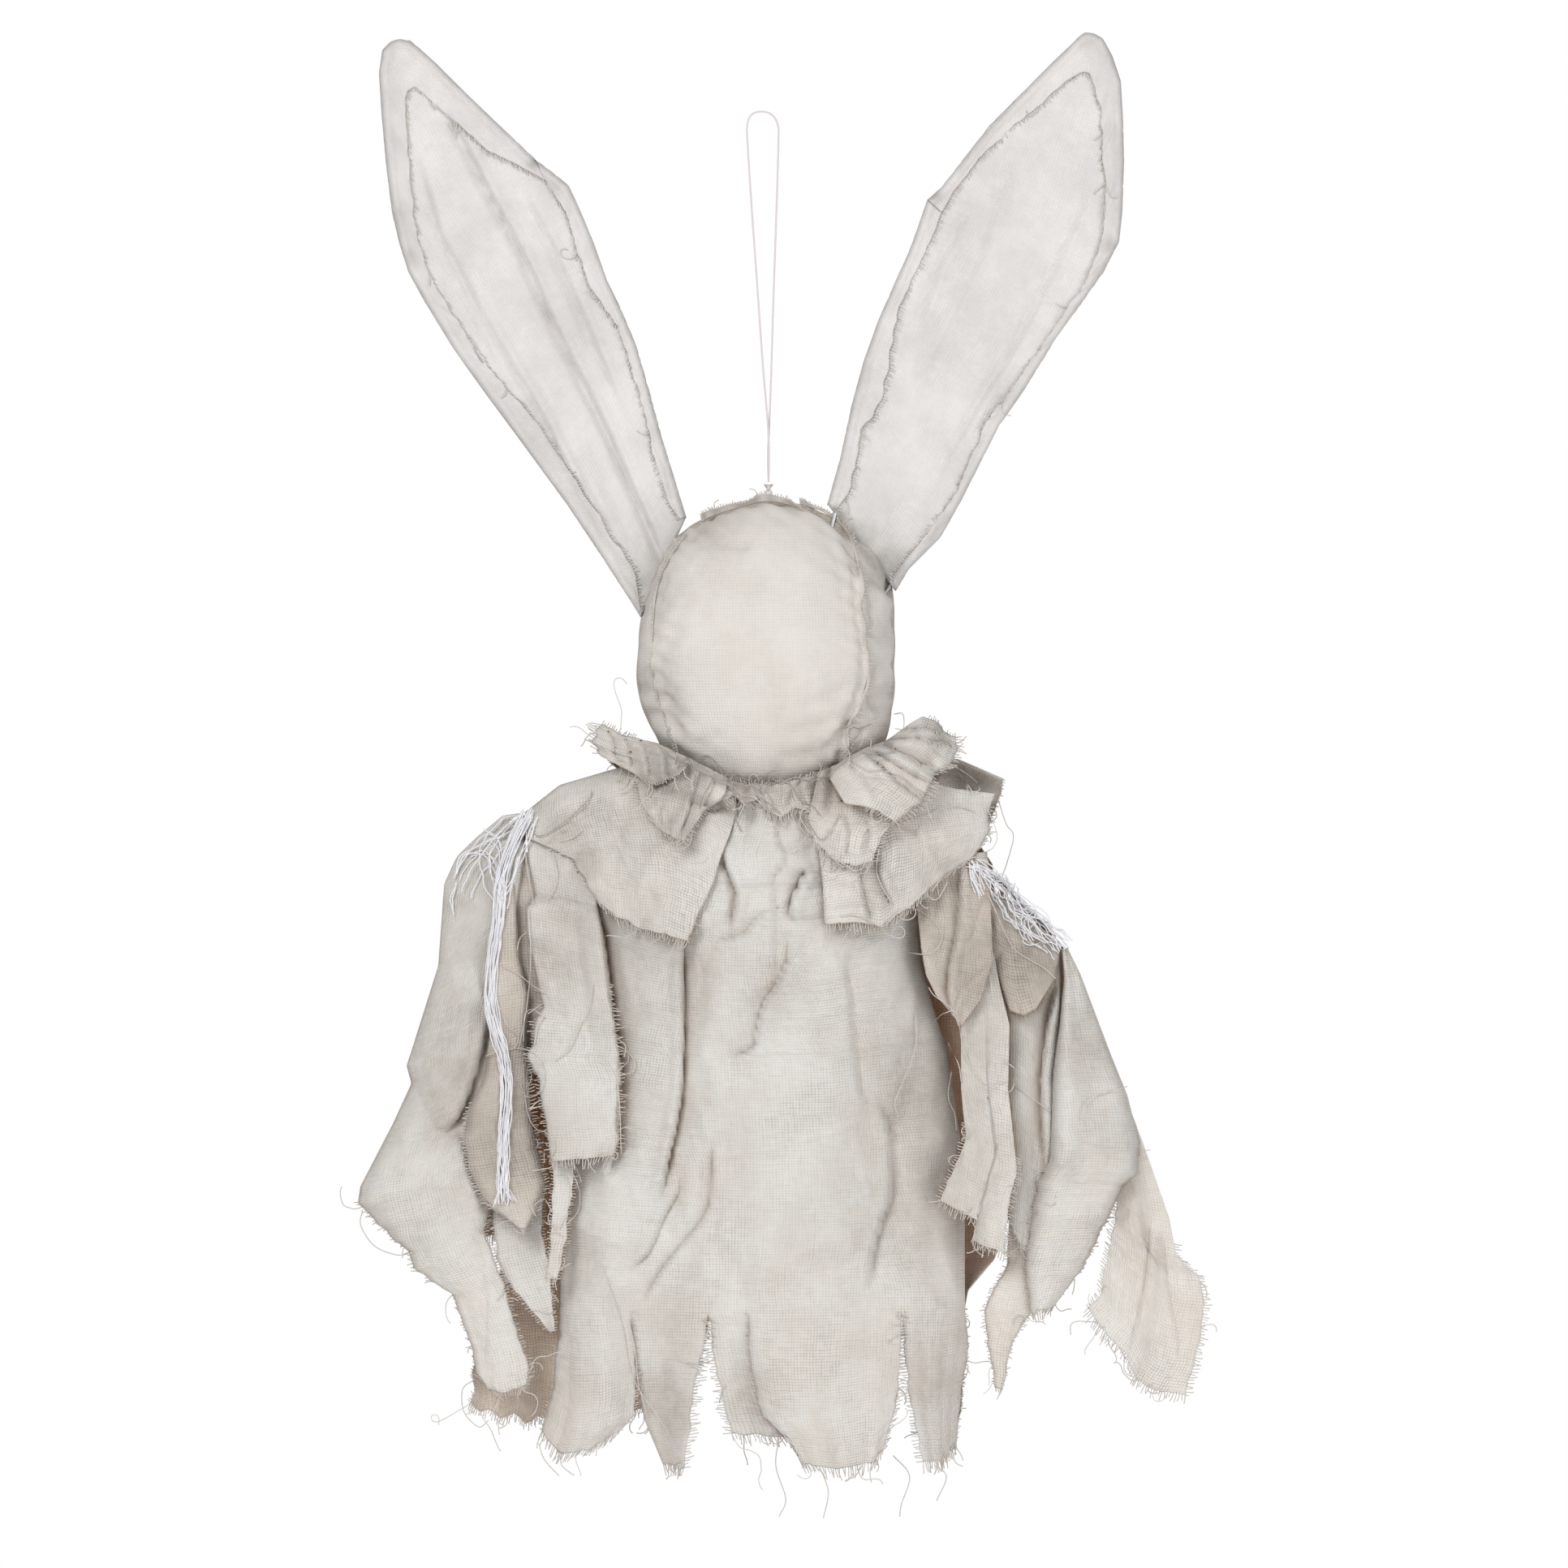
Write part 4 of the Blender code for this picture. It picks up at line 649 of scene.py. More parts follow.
def setClothMap(mesh, coordinates):
    layer = mesh.uv_layers.new(name="cloth")
    corners = np.zeros(len(mesh.loops), int)
    mesh.loops.foreach_get("vertex_index", corners)
    layer.data.foreach_set("uv", coordinates[corners].ravel().astype(np.float32))


def makeHead():
    head = swell(headBag(), headSettings)
    points = sewHead(head)
    centre = onGrid(*headSettings["centre"])
    angle = np.arctan2(points[:, 0] - centre[0], -points[:, 1])
    setClothMap(head.data, np.stack([angle * headSettings["depth"] * 1.15, points[:, 2]], 1))
    head.data.materials.clear()
    head.data.materials.append(muslin["head"])
    stamp(points)
    return head


head = makeHead()
print("head made:", len(head.data.vertices), "points")


# Cloth

def tornLine(points, amount, seed):
    # a torn edge wanders by a few threads, its corners stay
    steps = np.gradient(points, axis=0)
    normals = np.stack([-steps[:, 1], steps[:, 0]], 1) / np.maximum(np.hypot(*steps.T), 1e-9)[:, None]
    along = np.concatenate([[0], np.cumsum(np.linalg.norm(np.diff(points, axis=0), axis=1))])
    wander = valueNoise(along / 0.006, along * 0 + 0.5, seed) + 0.5 * valueNoise(along / 0.0022, along * 0, seed + 1)
    share = along / max(along[-1], 1e-9)
    fade = np.minimum(1, np.minimum(share, 1 - share) * 10)
    return points + normals * (amount * wander * fade)[:, None]


def frayedLine(points, fray, seed):
    # only the frayed stretch of an edge wanders
    if not fray:
        return points
    _, first, last = fray if isinstance(fray, tuple) else (fray, 0.0, 1.0)
    a, b = round(first * (len(points) - 1)), round(last * (len(points) - 1)) + 1
    return np.concatenate([points[:a], tornLine(points[a:b], clothSettings["wander"], seed), points[b:]])


def coonsPatch(left, right, top, low, s, t):
    ss, tt = s[None, :, None], t[:, None, None]
    across = left[:, None] * (1 - ss) + right[:, None] * ss
    down = top[None] * (1 - tt) + low[None] * tt
    corners = (left[0] * (1 - ss) + right[0] * ss) * (1 - tt) + (left[-1] * (1 - ss) + right[-1] * ss) * tt
    patch = across + down - corners
    return patch[..., 0], patch[..., 1]


def pieceOutline(piece, s, t, seed):
    left = [onGrid(*p) for p in piece["left"]]
    right = [onGrid(*p) for p in piece["right"]]
    top = [left[0]] + [onGrid(*p) for p in piece.get("top", [])] + [right[0]]
    low = [left[-1]] + [onGrid(*p) for p in piece.get("bottom", [])] + [right[-1]]
    edges = []
    for k, (name, line, shares) in enumerate((("left", left, t), ("right", right, t), ("top", top, s),
                                              ("bottom", low, s))):
        edges.append(frayedLine(resample(line, shares), piece.get("frayed", {}).get(name), seed + 10 * k))
    return coonsPatch(*edges, s, t)


def clothDepth(piece, s, t, x, z, seed):
    topLeft, topRight, lowLeft, lowRight = [d * 0.001 for d in piece["depth"]]
    ss, tt = s[None, :], t[:, None]
    depth = (topLeft * (1 - ss) + topRight * ss) * (1 - tt) + (lowLeft * (1 - ss) + lowRight * ss) * tt
    topBulge, lowBulge = [b * 0.001 for b in piece.get("bulge", (0, 0))]
    bulge = topBulge + (lowBulge - topBulge) * np.minimum(1.0, tt * 2.5)
    bulge = bulge * (1 - 0.85 * np.clip((tt - piece.get("flatFrom", 2)) * 6, 0, 1))
    depth = depth + bulge * np.sqrt(np.clip(1 - (2 * ss - 1) ** 2, 0, 1))
    pleats, height = piece.get("pleats", (0, 0))
    if pleats:
        wave = 0.5 - 0.5 * np.cos(2 * math.pi * pleats * (ss + 0.03 * np.sin(5 * ss + seed)))
        depth = depth + height * 0.001 * wave ** 1.5 * (0.25 + 0.75 * tt)
    for path, drop, width in piece.get("folds", []):
        distance = pathDistance(x, z, [onGrid(*p) for p in path])
        depth = depth - drop * 0.001 * np.exp(-(distance / (width * 0.001)) ** 2)
    for path, drop, width in piece.get("creases", []):
        distance = pathDistance(x, z, [onGrid(*p) for p in path])
        depth = depth - drop * 0.001 * np.exp(-distance / (width * 0.001))
    for path, drop, width, low in piece.get("laps", []):
        # one side of the line overlaps the other, which runs back under it
        distance, side, share = pathFrame(x, z, [onGrid(*p) for p in path])
        drop = drop * 0.001 * np.clip(np.minimum(share, 1 - share) * 7, 0, 1)
        under = np.exp(-distance / (width * 0.001))
        hollow = np.exp(-((distance - lapSettings["hollowFrom"]) / lapSettings["hollowWide"]) ** 2)
        lip = np.exp(-(distance / lapSettings["lipWide"]) ** 2) - lapSettings["hollow"] * hollow
        depth = depth - drop * np.where(side * low > 0, under, lip)
    count, height, reach = piece.get("gathers", (0, 0, 1))
    if count:
        across = ss + 0.25 / count * valueNoise(ss * count * 0.7, tt * 3, seed + 9)
        tuck = np.abs(np.cos(math.pi * count * across)) ** 3
        depth = depth - height * 0.001 * tuck * np.exp(-tt / reach)
    crumple = piece.get("crumple", 1.0)
    ridge = 1 - np.abs(valueNoise(x / 0.014 + z / 0.05, z / 0.034, seed + 3))
    pinch = 1 - np.abs(valueNoise(x / 0.009 - z / 0.03, z / 0.013, seed + 6))
    depth = depth + crumple * (wrinkles["broad"] * valueNoise(x / 0.016, z / 0.050, seed)
                               + wrinkles["ridges"] * ridge ** 4
                               + wrinkles["pinches"] * pinch ** 6 * valueNoise(x / 0.02, z / 0.02, seed + 8)
                               + wrinkles["small"] * valueNoise(x / 0.0055, z / 0.009, seed + 1)
                               + wrinkles["fine"] * valueNoise(x / 0.0024, z / 0.0034, seed + 2))
    curl = piece.get("curl", 2.5) * 0.001
    depth = depth + curl * tt ** 3 * valueNoise(x / 0.012 + 7, z / 0.02, seed + 4)
    # an edge sewn to the piece behind lies flat
    away = {"left": ss, "right": 1 - ss, "top": tt}
    for edge in piece.get("sewn", ()):
        flat = (1 - np.clip(away[edge] * 9, 0, 1)) ** 2
        depth = depth * (1 - flat) + clothSettings["sewnLift"] * flat
    return depth


def laidOver(side, x, z, depth):
    # cloth bridges smoothly over what it meets
    under = grown(relief[side], clothSettings["feel"])
    i, j = reliefCells(x, z)
    excess = np.maximum(under[i, j] + clothSettings["gap"] - depth, 0)
    return np.maximum(depth + blurred(grown(excess, 2), 3), clothSettings["gap"])


def mapCoordinates(grid, uStart=None, vStart=0.0):
    across = np.linalg.norm(np.diff(grid, axis=1), axis=2)
    down = np.linalg.norm(np.diff(grid, axis=0), axis=2)
    u = np.concatenate([np.zeros((len(grid), 1)), np.cumsum(across, axis=1)], axis=1)
    u = u - u[:, u.shape[1] // 2, None] if uStart is None else np.repeat(uStart[None], len(grid), 0)
    v = np.concatenate([np.zeros((1, grid.shape[1])), np.cumsum(down, axis=0)], axis=0).mean(axis=1)
    return np.stack([u, np.repeat(v[:, None], grid.shape[1], 1) + vStart], axis=-1)


laidCloth = {}
frayEdges = []


def noteFray(piece, grid):
    lines = {"left": (grid[:, 0], grid[:, 1]), "right": (grid[:, -1], grid[:, -2]),
             "top": (grid[0], grid[1]), "bottom": (grid[-1], grid[-2])}
    for name, fray in piece.get("frayed", {}).items():
        length, first, last = fray if isinstance(fray, tuple) else (fray, 0.0, 1.0)
        edge, inner = [line[round(first * (len(line) - 1)):round(last * (len(line) - 1)) + 1] for line in lines[name]]
        out = edge - inner
        out = out / np.maximum(np.linalg.norm(out, axis=1, keepdims=True), 1e-9)
        out[:, 1] += 0.35 * piece["side"]
        frayEdges.append({"line": edge, "out": out, "length": length * 0.001, "group": piece["group"],
                          "side": piece["side"], "edge": name})


def cellCount(*lines):
    lengths = [sum(math.dist(onGrid(*a), onGrid(*b)) for a, b in zip(line, line[1:])) for line in lines]
    return max(6, round(max(lengths) / clothSettings["cell"]))


def closeTo(grid, x, z):
    # height of a surface at other points, from its four nearest points
    tree = KDTree(grid[..., 0].size)
    for number, (a, _, b) in enumerate(grid.reshape(-1, 3)):
        tree.insert((a, 0, b), number)
    tree.balance()
    heights = grid[..., 1].ravel()
    result = []
    for a, b in zip(x.ravel(), z.ravel()):
        found = tree.find_n((a, 0, b), 4)
        result.append(sum(heights[f[1]] / (f[2] + 1e-5) for f in found) / sum(1 / (f[2] + 1e-5) for f in found))
    return np.reshape(result, x.shape)


def layCloth(name, piece, seed):
    top = [piece["left"][0]] + piece.get("top", []) + [piece["right"][0]]
    low = [piece["left"][-1]] + piece.get("bottom", []) + [piece["right"][-1]]
    s = np.linspace(0, 1, piece.get("across", cellCount(top, low)) + 1)
    t = np.linspace(0, 1, cellCount(piece["left"], piece["right"]) + 1)
    x, z = pieceOutline(piece, s, t, seed)
    depth = clothDepth(piece, s, t, x, z, seed)
    if "close" in piece:
        depth = np.maximum(depth, -0.00015) + piece["side"] * closeTo(piece["close"], x, z)
    else:
        depth = laidOver(piece["side"], x, z, depth)
    grid = np.stack([x, piece["side"] * depth, z], axis=-1)
    stamp(refined(grid, 3), clothSettings["thickness"])
    laidCloth[name] = {"piece": piece, "grids": [grid], "maps": [mapCoordinates(grid)]}
    noteFray(piece, grid)
    return grid


def layGown(name, panel, seed):
    marks = np.array(panel["columns"], float)
    parts = panel["between"]
    fine = np.concatenate([np.linspace(a, b, parts, endpoint=False) for a, b in zip(marks, marks[1:])] + [marks[-1:]])
    s = (fine - marks[0]) / (marks[-1] - marks[0])
    t = np.linspace(0, 1, cellCount(panel["left"], panel["right"]) + 1)
    x, z = pieceOutline(panel, s, t, seed)
    depth = laidOver(panel["side"], x, z, clothDepth(panel, s, t, x, z, seed))
    body = np.stack([x, panel["side"] * depth, z], axis=-1)
    bodyMap = mapCoordinates(body)
    grids, maps = [body], [bodyMap]
    for number, tongue in enumerate(panel["tongues"]):
        first, last = tongue["span"]
        edge = body[-1, first * parts:last * parts + 1]
        localS = np.linspace(0, 1, len(edge))
        localT = np.linspace(0, 1, cellCount(tongue["left"], tongue["right"]) + 1)
        tx, tz = pieceOutline(tongue, localS, localT, seed + 31 * number)
        fade = (1 - localT)[:, None] ** 2
        tx = tx + (edge[:, 0] - tx[0])[None] * fade
        tz = tz + (edge[:, 2] - tz[0])[None] * fade
        flare = tongue.get("flare", (0, 0))
        tt = localT[:, None]
        own = panel["side"] * edge[:, 1][None] + tt * 0.001 * (flare[0] * (1 - localS) + flare[1] * localS)[None]
        own = own + wrinkles["tongueSway"] * tt ** 1.5 * valueNoise(tx / 0.014, tz / 0.03, seed + number)
        own = own + (wrinkles["tongueFine"] * np.minimum(1, tt * 5)
                     * valueNoise(tx / 0.005, tz / 0.01, seed + number + 1))
        own = laidOver(panel["side"], tx, tz, own)
        own[0] = panel["side"] * edge[:, 1]
        grid = np.stack([tx, panel["side"] * own, tz], axis=-1)
        grids.append(grid)
        maps.append(mapCoordinates(grid, bodyMap[-1, first * parts:last * parts + 1, 0], bodyMap[-1, 0, 1]))
        noteFray({**tongue, "group": panel["group"], "side": panel["side"]}, grid)
    for grid in grids:
        stamp(refined(grid, 3), clothSettings["thickness"])
    laidCloth[name] = {"piece": panel, "grids": grids, "maps": maps}
    noteFray(panel, body)


def gridQuads(grid, start=0):
    rows, columns = grid.shape[:2]
    index = start + np.arange(rows * columns).reshape(rows, columns)
    return np.stack([index[:-1, :-1], index[1:, :-1], index[1:, 1:], index[:-1, 1:]], axis=-1).reshape(-1, 4)


def turnedQuads(quads):
    # the same quads seen from the other side, each from its same first corner
    return np.roll(quads[:, ::-1], 1, axis=1)


def paintedObject(name, points, faces, coordinates, finish, paint, merge, closed=False):
    # a mesh with its cloth map, its painted shade and stains, and its finish; points nearer than merge become one
    mesh = bpy.data.meshes.new(name)
    mesh.from_pydata(points.tolist(), [], faces.tolist())
    setClothMap(mesh, coordinates)
    paintCloth(mesh, points, *paint)
    if merge:
        bm = bmesh.new()
        bm.from_mesh(mesh)
        bmesh.ops.remove_doubles(bm, verts=bm.verts, dist=merge)
        bmesh.ops.dissolve_degenerate(bm, edges=bm.edges, dist=1e-6)
        if closed:
            bmesh.ops.holes_fill(bm, edges=[e for e in bm.edges if e.is_boundary])
            bmesh.ops.recalc_face_normals(bm, faces=bm.faces)
        bm.to_mesh(mesh)
        bm.free()
    mesh.shade_smooth()
    mesh.materials.append(muslin[finish])
    return bpy.data.objects.new(name, mesh)


def clothObject(name, laid):
    piece = laid["piece"]
    faces, start = [], 0
    for grid in laid["grids"]:
        quads = gridQuads(grid, start)
        faces.append(quads if piece["side"] < 0 else quads[:, ::-1])
        start += grid.shape[0] * grid.shape[1]
    points = np.concatenate([grid.reshape(-1, 3) for grid in laid["grids"]])
    flat = np.concatenate([coordinate.reshape(-1, 2) for coordinate in laid["maps"]])
    paint = (piece["side"], piece.get("shadeAndStain", 1.0), piece.get("inside", 1.0))
    obj = paintedObject(name + "_cloth", points, np.concatenate(faces), flat, piece["muslin"], paint, 1e-6)
    withModifier(obj, "Cloth thickness", "SOLIDIFY", thickness=clothSettings["thickness"], offset=1.0)
    replaced = [n for n in [name] + piece.get("stands", []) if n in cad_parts]
    finished(obj, replaced)
    return obj


gownFront = {
    "side": -1, "group": "gown", "muslin": "gown", "between": 7, "depth": (0.4, 0.4, 0.4, 0.4), "bulge": (31, 45),
    "crumple": 1.05, "restsOn": ["shoulder_wire"], "gathers": (16, 3.2, 0.07),
    "left": [(812, 925), (760, 965), (722, 1010), (712, 1080), (708, 1200), (702, 1300), (697, 1430), (692, 1530),
        (690, 1612)],
    "top": [(850, 945), (892, 964), (944, 968), (1005, 960), (1050, 938)],
    "right": [(1092, 925), (1135, 975), (1148, 1040), (1134, 1110), (1134, 1180), (1147, 1235), (1165, 1290),
        (1182, 1400), (1188, 1500), (1188, 1612)],
    "columns": [690, 700, 724, 750, 778, 800, 825, 850, 873, 898, 923, 960, 1000, 1040, 1075, 1110, 1140, 1168, 1181,
        1188],
    "folds": [([(848, 1150), (850, 1330), (832, 1420), (815, 1500)], 4, 11), ([(945, 1200), (925, 1320)], 3, 9),
        ([(1100, 1390), (1102, 1460), (1085, 1540), (1080, 1612)], 4, 10),
        ([(1130, 1300), (1150, 1450)], 4, 14), ([(890, 1420), (870, 1500), (820, 1590)], 3, 8),
        ([(820, 1612), (828, 1500)], 3, 12), ([(905, 1612), (925, 1520)], 3, 12)],
    "laps": [([(843, 1140), (843, 1200), (844, 1260), (843, 1310), (841, 1350), (835, 1385), (827, 1420),
          (814, 1478)],
         9, 4.5, 1),
        ([(839, 1440), (836, 1468), (820, 1495), (808, 1525), (799, 1542), (775, 1564)], 3.5, 4, 1),
        ([(881, 1395), (879, 1440), (876, 1480), (866, 1500), (845, 1525), (820, 1555), (788, 1608)], 4, 4.5, -1),
        ([(960, 985), (957, 1020), (960, 1040), (969, 1052), (965, 1065), (955, 1078), (953, 1100), (956, 1120),
          (957, 1150), (955, 1180), (952, 1205), (944, 1225)],
         2.6, 1.8, 1),
        ([(950, 1215), (940, 1235), (933, 1262), (931, 1285), (918, 1294), (898, 1302)], 4.5, 3.2, -1),
        ([(994, 1068), (986, 1084), (979, 1098), (974, 1112), (974, 1136)], 9, 2.8, -1),
        ([(973, 1150), (972, 1178), (963, 1196), (955, 1214), (945, 1232)], 5, 2.6, -1),
        ([(876, 1160), (900, 1154), (916, 1149), (925, 1140), (932, 1130), (942, 1122), (957, 1119), (974, 1116)],
         3.2, 3.5, 1),
        ([(889, 1048), (895, 1068), (902, 1085), (908, 1101), (906, 1118), (900, 1142)], 7, 4, -1),
        ([(1042, 1172), (1046, 1220), (1050, 1250), (1052, 1280), (1055, 1310), (1058, 1340), (1068, 1358),
          (1074, 1374)],
         2.8, 5, 1),
        ([(1082, 1352), (1091, 1378), (1097, 1395), (1098, 1420), (1099, 1450), (1096, 1480), (1086, 1500),
          (1078, 1530), (1072, 1560), (1070, 1590)],
         6, 4.5, 1),
        ([(732, 1100), (745, 1150), (753, 1210), (758, 1260), (766, 1310), (764, 1400), (750, 1450)], 13, 6, 1),
        ([(884, 985), (888, 1010), (882, 1040)], 4, 3, 1), ([(918, 985), (921, 1030), (915, 1060)], 1.6, 3, 1),
        ([(985, 990), (996, 1030), (1004, 1080)], 2.2, 3.5, -1),
        ([(1012, 1040), (1020, 1120), (1018, 1180)], 2, 5, 1), ([(860, 1170), (868, 1200), (858, 1240)], 1.6, 4, 1)],
    "creases": [([(866, 1150), (880, 1165), (870, 1195)], 1.2, 1.6),
        ([(925, 1600), (923, 1640), (926, 1690)], 0.6, 1.0)],
    "tongues": [{
            "span": (0, 4), "frayed": {"left": 2.6, "right": 1.8, "bottom": 3.4}, "flare": (2, 2),
            "left": [(690, 1612), (688, 1660), (681, 1720), (668, 1762)],
            "right": [(778, 1612), (785, 1690), (783, 1738), (766, 1757)], "bottom": [(690, 1789), (725, 1784)]},
        {
            "span": (4, 8), "frayed": {"right": 3.0, "bottom": 3.8}, "flare": (-4, 3),
            "left": [(778, 1612), (786, 1690), (796, 1745), (818, 1798)],
            "right": [(873, 1612), (866, 1660), (855, 1710), (850, 1760), (844, 1800)],
            "bottom": []},
        {
            "span": (8, 10), "frayed": {"left": 2.6, "bottom": 3.2}, "flare": (-3, -5),
            "left": [(873, 1612), (880, 1660), (888, 1710), (902, 1760)],
            "right": [(923, 1612), (945, 1690), (976, 1766)]},
        {
            "span": (10, 15), "frayed": {"left": 1.8, "right": 2.6, "bottom": 3.8}, "flare": (2, 4),
            "left": [(923, 1612), (926, 1680), (938, 1735), (962, 1756), (980, 1778)],
            "right": [(1110, 1612), (1108, 1680), (1102, 1730), (1088, 1780)],
            "bottom": [(986, 1796), (1030, 1802), (1075, 1796)]},
        {
            "span": (15, 19), "frayed": {"left": 2.2, "right": 2.8, "bottom": 3.8}, "flare": (-3, 0),
            "left": [(1110, 1612), (1116, 1680), (1124, 1740), (1136, 1795)],
            "right": [(1188, 1612), (1192, 1660), (1183, 1720), (1178, 1775)], "bottom": [(1158, 1797)]}]}

gownBack = {
    "side": 1, "group": "gown", "muslin": "worn", "between": 5, "depth": (0.4, 0.4, 0.4, 0.4), "bulge": (31, 40),
    "crumple": 1.2, "restsOn": ["shoulder_wire"], "shadeAndStain": 0.7,
    "left": [(812, 925), (720, 985), (655, 1045), (630, 1200), (615, 1350), (604, 1470), (618, 1535), (618, 1562),
        (602, 1612)],
    "top": [(860, 925), (944, 922), (1040, 925)],
    "right": [(1092, 925), (1170, 985), (1222, 1065), (1236, 1200), (1240, 1400), (1234, 1530), (1224, 1552),
        (1202, 1578), (1192, 1590), (1188, 1612)],
    "columns": [602, 616, 650, 690, 735, 780, 830, 878, 920, 960, 1010, 1060, 1112, 1150, 1176, 1188],
    "folds": [([(860, 960), (800, 1150), (780, 1400), (790, 1612)], 8, 10),
        ([(944, 960), (930, 1200), (945, 1400), (930, 1612)], 8, 10),
        ([(1030, 960), (1070, 1150), (1085, 1400), (1060, 1612)], 8, 10),
        ([(740, 1050), (700, 1250), (690, 1450), (690, 1612)], 6, 9),
        ([(1140, 1050), (1165, 1250), (1160, 1450), (1150, 1612)], 6, 9)],
    "creases": [([(880, 1100), (850, 1250), (870, 1400), (850, 1560)], 1.8, 2.2),
        ([(1000, 1080), (1015, 1260), (990, 1420), (1010, 1560)], 1.8, 2.2)],
    "tongues": [{
            "span": (0, 3), "frayed": {"left": 1.6, "right": 1.4, "bottom": 2.6},
            "left": [(602, 1612), (590, 1660), (583, 1690), (586, 1712), (580, 1728)],
            "right": [(690, 1612), (697, 1680), (690, 1740)],
            "bottom": [(588, 1742), (604, 1738), (616, 1752), (634, 1744), (648, 1760), (662, 1748), (678, 1756)]},
        {
            "span": (3, 7), "frayed": {"right": 1.6, "bottom": 2.6}, "left": [(690, 1612), (703, 1680), (706, 1738)],
            "right": [(878, 1612), (866, 1660), (846, 1740)], "bottom": [(760, 1750), (800, 1738)]},
        {
            "span": (7, 12), "frayed": {"left": 1.6, "right": 1.4, "bottom": 2.6},
            "left": [(878, 1612), (893, 1660), (912, 1740)], "right": [(1112, 1612), (1108, 1670), (1090, 1750)],
            "bottom": [(980, 1752), (1040, 1745)]},
        {
            "span": (12, 15), "frayed": {"left": 1.4, "right": 1.8, "bottom": 2.8},
            "left": [(1112, 1612), (1122, 1680), (1134, 1750)],
            "right": [(1188, 1612), (1187, 1650), (1186, 1700), (1183, 1740), (1176, 1762)],
            "bottom": [(1170, 1765)]}]}

